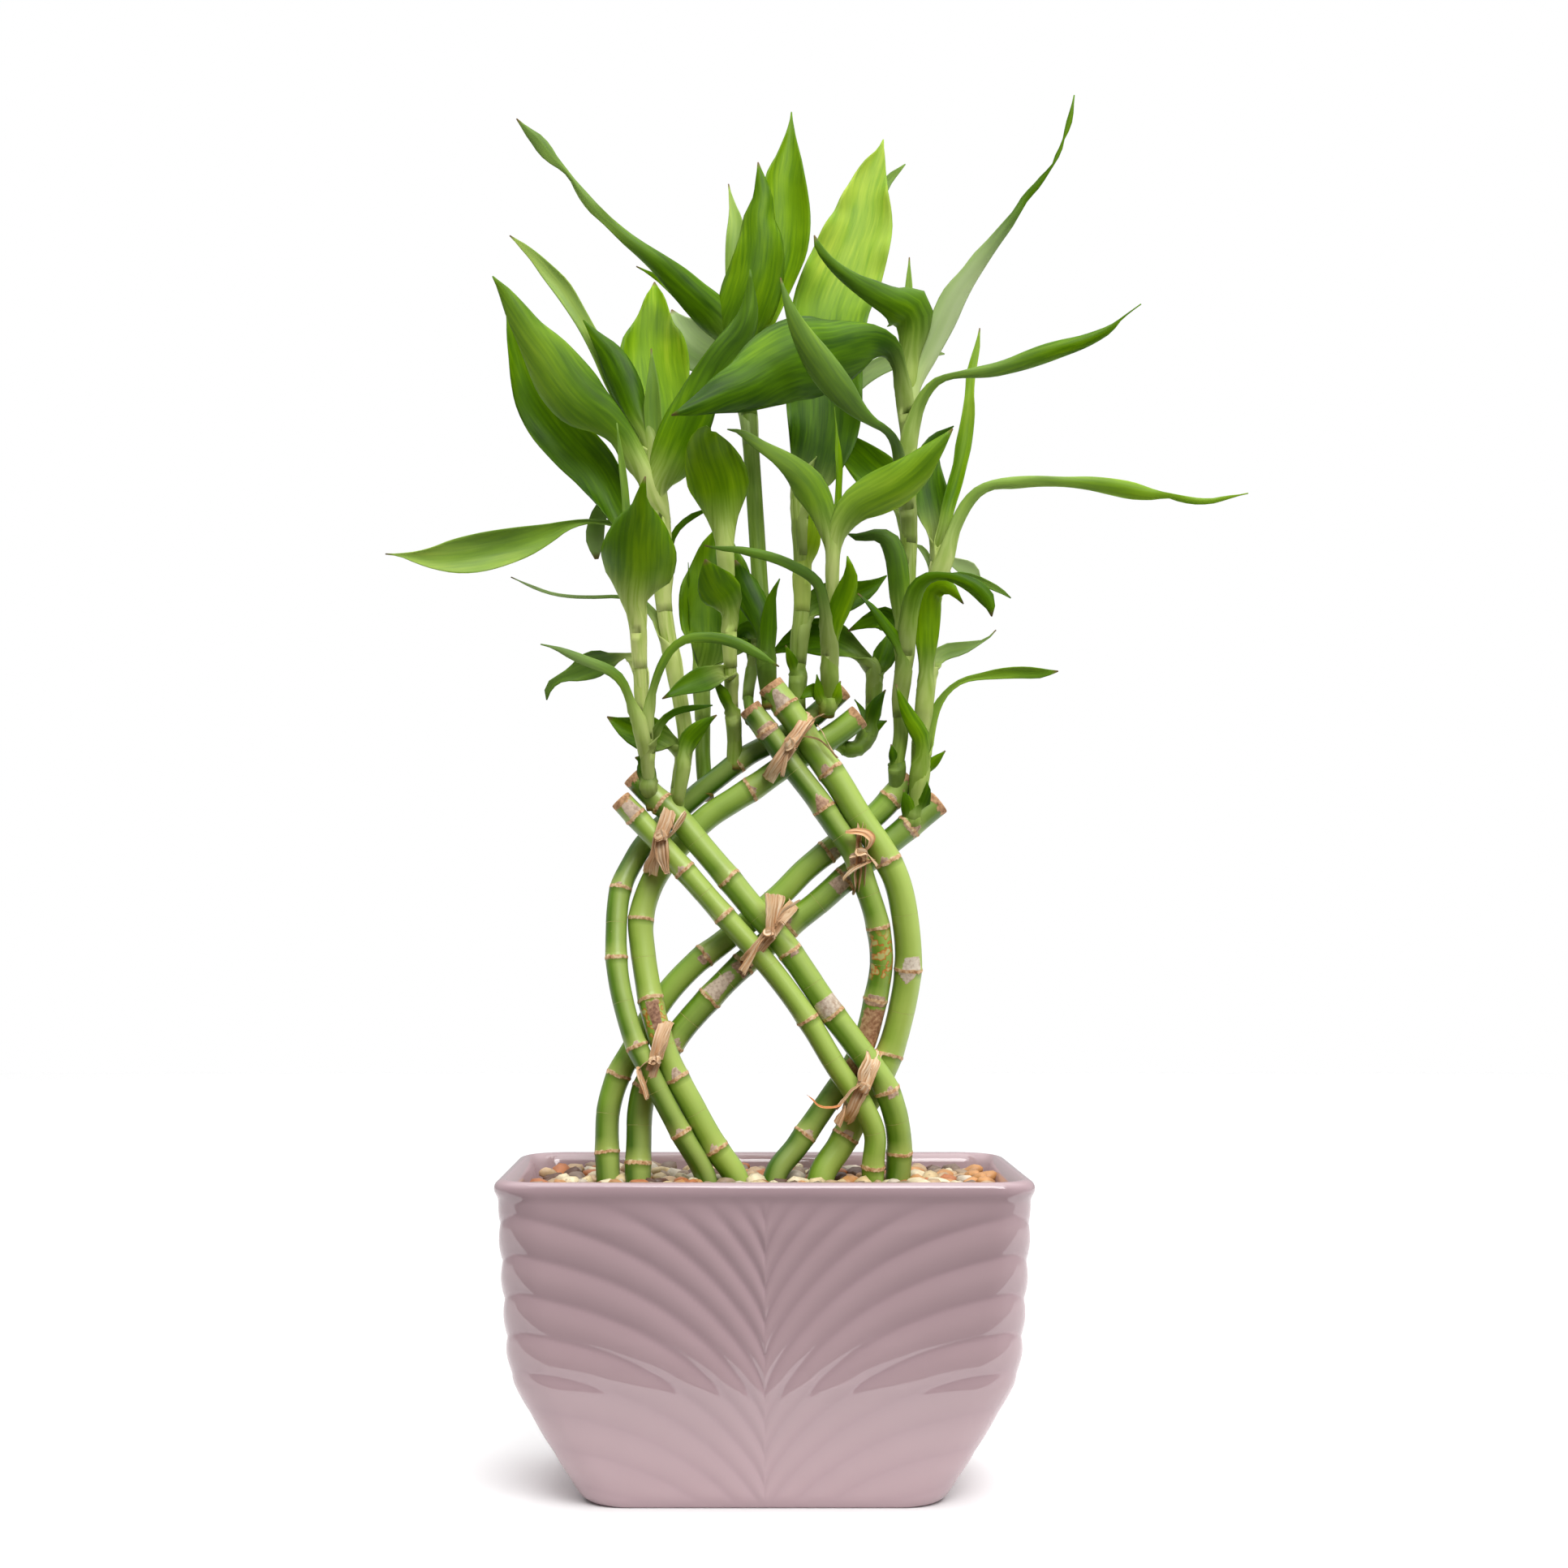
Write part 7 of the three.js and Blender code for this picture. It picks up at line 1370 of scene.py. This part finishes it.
def grow_stem(line, tone, fresh):
    """A stem: round, with a faint swelling at its foot, and closed at the top. Returns its path and
    radii, and its tube."""
    flat_length = np.linalg.norm(np.diff(np.array(line)[:, :3], axis=0), axis=1).sum()
    reading = smooth_path(line, max(int(flat_length), 8))
    path = sighted(reading[:, :3])
    length = distances(path)
    radius = reading[:, 3] / 1000 * grown(path)
    radius = radius * (1 + 0.12 * np.exp(-(length / 0.0022) ** 2))
    radius = radius * np.sqrt(np.clip((length[-1] - length) / 0.004, 0.02, 1))
    _, across, out = carried_along(path)
    turn = np.linspace(0, 2 * math.pi, 16, endpoint=False)
    grid = path[:, None] + radius[:, None, None] * (across[:, None] * np.cos(turn)[:, None]
                                                    + out[:, None] * np.sin(turn)[:, None])
    foot = np.exp(-(length / 0.0016) ** 2)
    young = young_share(fresh, length)
    tube = (grid, 0.2 * np.cos(turn), length[:, None], tone, young[:, None], -foot[:, None], 0.0, tone)
    return path, radius, tube


def grow_leaf(stem_path, stem_radius, leaf, fresh, draw):
    """The tube of a leaf: it leaves the stem as a sheath, narrows to a neck and opens as a blade
    that turns its face as its reading says. A blade is a flat tube, its two faces close together."""
    step, under, sheath_play, wrap = 0.0026, 5, 0.00022, 2.6
    turns, tones_and_shade, paleness_and_sheen, cup, line = leaf
    reading = smooth_path(line, count=160)
    blade = np.column_stack([sighted(reading[:, :3]), reading[:, 3]])
    near = np.linalg.norm(stem_path - blade[0, :3], axis=1).argmin()
    radius = stem_radius[max(near - 2, 0)] + sheath_play
    stem_length = distances(stem_path)
    sheath_length = min(0.011, stem_length[near] * 0.8)
    below = sampled(stem_length[near] - np.array([1, 0.5]) * sheath_length, stem_length, stem_path)
    # From the stem's axis into the blade's own line
    walked = distances(blade[:, :3])
    total = walked[-1]
    stops = np.linspace(0, total, max(int(total / step), 10))
    blade = sampled(stops, walked, blade)
    lead = smooth_path(np.vstack([below, blade[0, :3], blade[3, :3]]), count=60)
    cut = np.linalg.norm(lead - blade[0, :3], axis=1).argmin()
    lead = lead[np.linspace(0, cut - 1, under).astype(int)]
    path = np.vstack([lead, blade[:, :3]])
    along, across, out = carried_along(path, under)
    distance = distances(path)
    distance -= distance[under]
    share = np.clip(distance / total, 0, 1)
    neck_length = min(0.016, total * 0.30)
    settle = smooth_step(distance / neck_length)
    # Which side of the stem the leaf leaves from, and how it turns to show its face
    axis = unit(stem_path[min(near + 1, len(stem_path) - 1)] - stem_path[max(near - 3, 0)])
    leave = blade[np.searchsorted(stops, min(0.018, total * 0.4)), :3] - stem_path[near]
    leave = unit(leave - axis * (leave @ axis))
    foot_roll = math.atan2(leave @ across[under], -(leave @ out[under]))
    shown = np.cross(along, path - EYE)
    shown = np.unwrap(np.arctan2((shown * out).sum(axis=1), (shown * across).sum(axis=1)))
    turn = np.radians(between(turns, share))
    facing = shown - shown[under] + turn
    # How many half turns bring the blade's roll closest to the sheath's, at best an even number
    flip = min(range(-3, 4), key=lambda k: abs(turn[0] + math.pi * k - foot_roll) + 0.35 * (k % 2))
    roll = foot_roll + (facing + math.pi * flip - foot_roll) * settle
    sideways = round_about(across, out, roll)
    upwards = unit(np.cross(along, sideways))
    # Across, the leaf is an arc: round the stem at the sheath, cupped along the blade
    seen = np.concatenate([np.full(under, blade[0, 3]), blade[:, 3]]) / 2000 * grown(path) / np.cos(turn)
    seen = np.maximum(seen, 0.0002)
    curl = math.sin(cup) / np.maximum(seen, 0.0018)
    half = np.arcsin(np.minimum(seen * curl, 0.99)) / curl
    wrap *= radius
    arc = np.where(distance <= 0, wrap, np.sqrt(half ** 2 + (wrap * (1 - settle)) ** 2))
    bend = ((1 - settle) / radius + curl * settle)[:, None]
    shrink = np.where(distance < 0, 1 - 0.16 * smooth_step(-distance / sheath_length), 1)[:, None]
    u = np.linspace(-1, 1, 15)
    angle = arc[:, None] * u * bend
    phase = draw.random(2) * 6.28
    wave_length = 0.016 + 0.014 * draw.random()
    wave_height = min(seen.max(), 0.01) * 0.11 * (0.5 + draw.random())
    wave = np.where(u > 0, np.sin(distance[:, None] / wave_length * 6.28 + phase[0]),
                    np.sin(distance[:, None] / wave_length * 5.4 + phase[1]))
    wave = wave * wave_height * np.abs(u) ** 2.5 * (settle * smooth_step((1 - share) * 5))[:, None]
    lift = ((1 - np.cos(angle)) / bend - (radius * (1 - settle))[:, None]) * shrink + wave
    middle = (path[:, None] + sideways[:, None] * (np.sin(angle) / bend * shrink)[..., None]
              + upwards[:, None] * lift[..., None])
    # The two faces of the leaf stand apart by its thickness, thinnest at the edges.
    normal = unit(np.cross(np.gradient(middle, axis=1), np.gradient(middle, axis=0)))
    thick = (0.00026 * (1 - 0.55 * np.abs(u) ** 3) * np.minimum(1, half / 0.001)[:, None]
             * (1 + 0.25 * (1 - settle))[:, None])
    apart = normal * thick[..., None]
    grid = np.concatenate([middle + apart, (middle - apart)[:, ::-1]], axis=1)
    # Brightness from foot to tip, on some leaves carrying painted shade; paleness, a greyer underside look
    # that is partly painted sheen
    tone = between(tones_and_shade, smooth_step(share * 2 - 0.5))
    pale = between(paleness_and_sheen, smooth_step(share * 3 - 1.1))
    tip = smooth_step((share - 0.965) / 0.035) if draw.random() < 0.6 else share * 0
    sheath = 1 - smooth_step(distance / min(neck_length * 1.5, total * 0.5))
    sheath = sheath * young_share(fresh, stem_length[near])
    veined = np.concatenate([u, u[::-1]]) * np.minimum(seen / 0.011, 1)[:, None]
    return grid, veined, *(values[:, None] for values in (distance, tone, sheath, tip, pale)), draw.random()


def leaf_skin():
    """The shoots' skin: veined green, darker where a leaf's brightness carries painted shade, silvery where
    pale (a greyer underside, partly painted sheen), with fresh sheaths and dry tips
    """
    material, tree, shader = new_material("leaf and stem")
    across, length, sheath = read(tree, "across"), read(tree, "length"), read(tree, "sheath")
    grain = vector(tree, calc(tree, "MULTIPLY", across, 0.010), calc(tree, "MULTIPLY", length, 0.05),
                   read(tree, "seed"))
    veins = noise(tree, grain, scale=1500.0, detail=2.0)[0]
    broad = noise(tree, grain, scale=230.0, detail=1.0)[0]
    cloud = use(tree, MOTTLE, Scale=38.0, Strength=0.1, Depth=0.0002)
    shade = read(tree, "tone")
    for texture, amount in ((broad, 0.6), (cloud["Shade"], 0.6), (veins, 0.55)):
        shade = vary(tree, shade, texture, amount)
    green = ramp(tree, shade, [(0.0, srgb(54, 88, 14)), (0.3, srgb(92, 134, 6)),
                               (0.6, srgb(134, 176, 10)), (1.0, srgb(194, 218, 52))])
    # Pale parts: a leaf's greyer underside, partly painted sheen where its face is seen at a slant
    underside_and_sheen = ramp(tree, broad, [(0.35, srgb(168, 194, 120)), (0.65, srgb(206, 220, 172))])
    green = mix_colours(tree, calc(tree, "MULTIPLY", read(tree, "pale"), 0.8), green, underside_and_sheen)
    fresh = ramp(tree, veins, [(0.3, srgb(200, 222, 108)), (0.6, srgb(240, 248, 160))])
    green = mix_colours(tree, calc(tree, "MULTIPLY", sheath, 0.85), green, fresh)
    # tip runs above 0 to a leaf's dry tip, and below 0 to the brown foot of a stem.
    tip = read(tree, "tip")
    green = mix_colours(tree, fade(tree, tip, 0.2, 0.9), green, srgb(120, 96, 62))
    scale = calc(tree, "MULTIPLY", fade(tree, tip, -0.25, -0.8), 0.8)
    green = mix_colours(tree, scale, green, srgb(138, 96, 54))
    normal = bump(tree, veins, strength=0.2, distance=0.00025, Normal=cloud["Normal"])
    rough = fade(tree, cloud["Shade"], 0.3, 0.7, 0.34, 0.48)
    feed(tree, shader, {"Base Color": green, "Roughness": rough, "Specular IOR Level": 0.15,
                        "Normal": normal})
    through = put(tree, "ShaderNodeBsdfTranslucent", {
        "Color": mix_colours(tree, 0.5, green, srgb(170, 200, 4)), "Normal": normal})
    both = put(tree, "ShaderNodeMixShader", {0: 0.22, 1: shader.outputs[0], 2: through.outputs[0]})
    feed(tree, tree.nodes["Material Output"], {"Surface": both.outputs[0]})
    return material


LEAF_SKIN = leaf_skin()
for number, (name, (stems, leaves)) in enumerate(SHOOTS.items()):
    draw = np.random.default_rng(20 + number)
    fresh = FRESH.get(name, 0.35)
    grown_stems = [grow_stem(stem, 0.2 + 0.25 * fresh, fresh) for stem in stems]
    tubes = [tube for _, _, tube in grown_stems]
    for leaf in leaves:
        foot = sighted(leaf[4][0][:3])
        path, radius, _ = min(grown_stems, key=lambda stem: np.linalg.norm(stem[0] - foot, axis=1).min())
        tubes.append(grow_leaf(path, radius, leaf, fresh, draw))
    shoot_leaves = shoot_mesh(name + "_leafy", tubes)
    shoot_leaves.materials.append(LEAF_SKIN)
    shoot = add_object(name + "_leafy", shoot_leaves)
    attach(shoot, "root")
    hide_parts(name)


# Floor and light: a plain white table top that ends just in front of the pot, in soft white light
# from all round, brightest from the upper left.
def floor():
    """The table top"""
    material, tree, shader = new_material("pale floor")
    feed(tree, shader, {"Base Color": (0.95, 0.95, 0.95, 1), "Roughness": 0.7})
    front, far = -0.105, 2
    corners = [(-far, front, 0), (far, front, 0), (far, far, 0), (-far, far, 0)]
    mesh = mesh_of("floor", corners, [(0, 1, 2, 3)])
    mesh.materials.append(material)
    return add_object("floor", mesh)


floor()

world = bpy.data.worlds.new("soft light")
world.use_nodes = True
bpy.context.scene.world = world
sky = world.node_tree
direction = put(sky, "ShaderNodeSeparateXYZ", {0: put(sky, "ShaderNodeTexCoord").outputs["Generated"]})
# The glow from all round, and what each side adds: its axis, where it starts, where it is full
glow = 0.10
for axis, start, full, strength in ((2, 0.45, 0.95, 1.5), (1, 0.0, 0.5, 0.38), (0, 0.55, 0.95, 0.32),
                                    (0, -0.6, -0.98, 0.10)):
    side = fade(sky, direction.outputs[axis], start, full, 0.0, strength, interpolation_type="SMOOTHSTEP")
    glow = calc(sky, "ADD", side, glow)
seen = put(sky, "ShaderNodeLightPath").outputs["Is Camera Ray"]
shown = put(sky, "ShaderNodeMix", {0: seen, 2: glow, 3: 1.0}, data_type="FLOAT")
feed(sky, sky.nodes["Background"], {"Color": shown.outputs[0]})


def soft_light(name, place, aim, size, power):
    """A rectangular lamp at a place, aimed at another"""
    data = bpy.data.lights.new(name, "AREA")
    data.shape = "RECTANGLE"
    data.size, data.size_y = size
    data.energy = power
    lamp = add_object(name, data)
    lamp.location = place
    x, y, z = np.array(aim, float) - np.array(place, float)
    lamp.rotation_euler = (math.atan2(math.hypot(x, y), -z), 0, math.atan2(-x, y))


soft_light("overhead light", (0.12, -0.45, 1.5), (0, 0, 0.15), (1.4, 1.4), 10)
soft_light("front light", (0.35, -1.0, 1.1), (0, 0, 0.2), (0.9, 0.7), 13)
bpy.context.scene.view_settings.view_transform = "Standard"
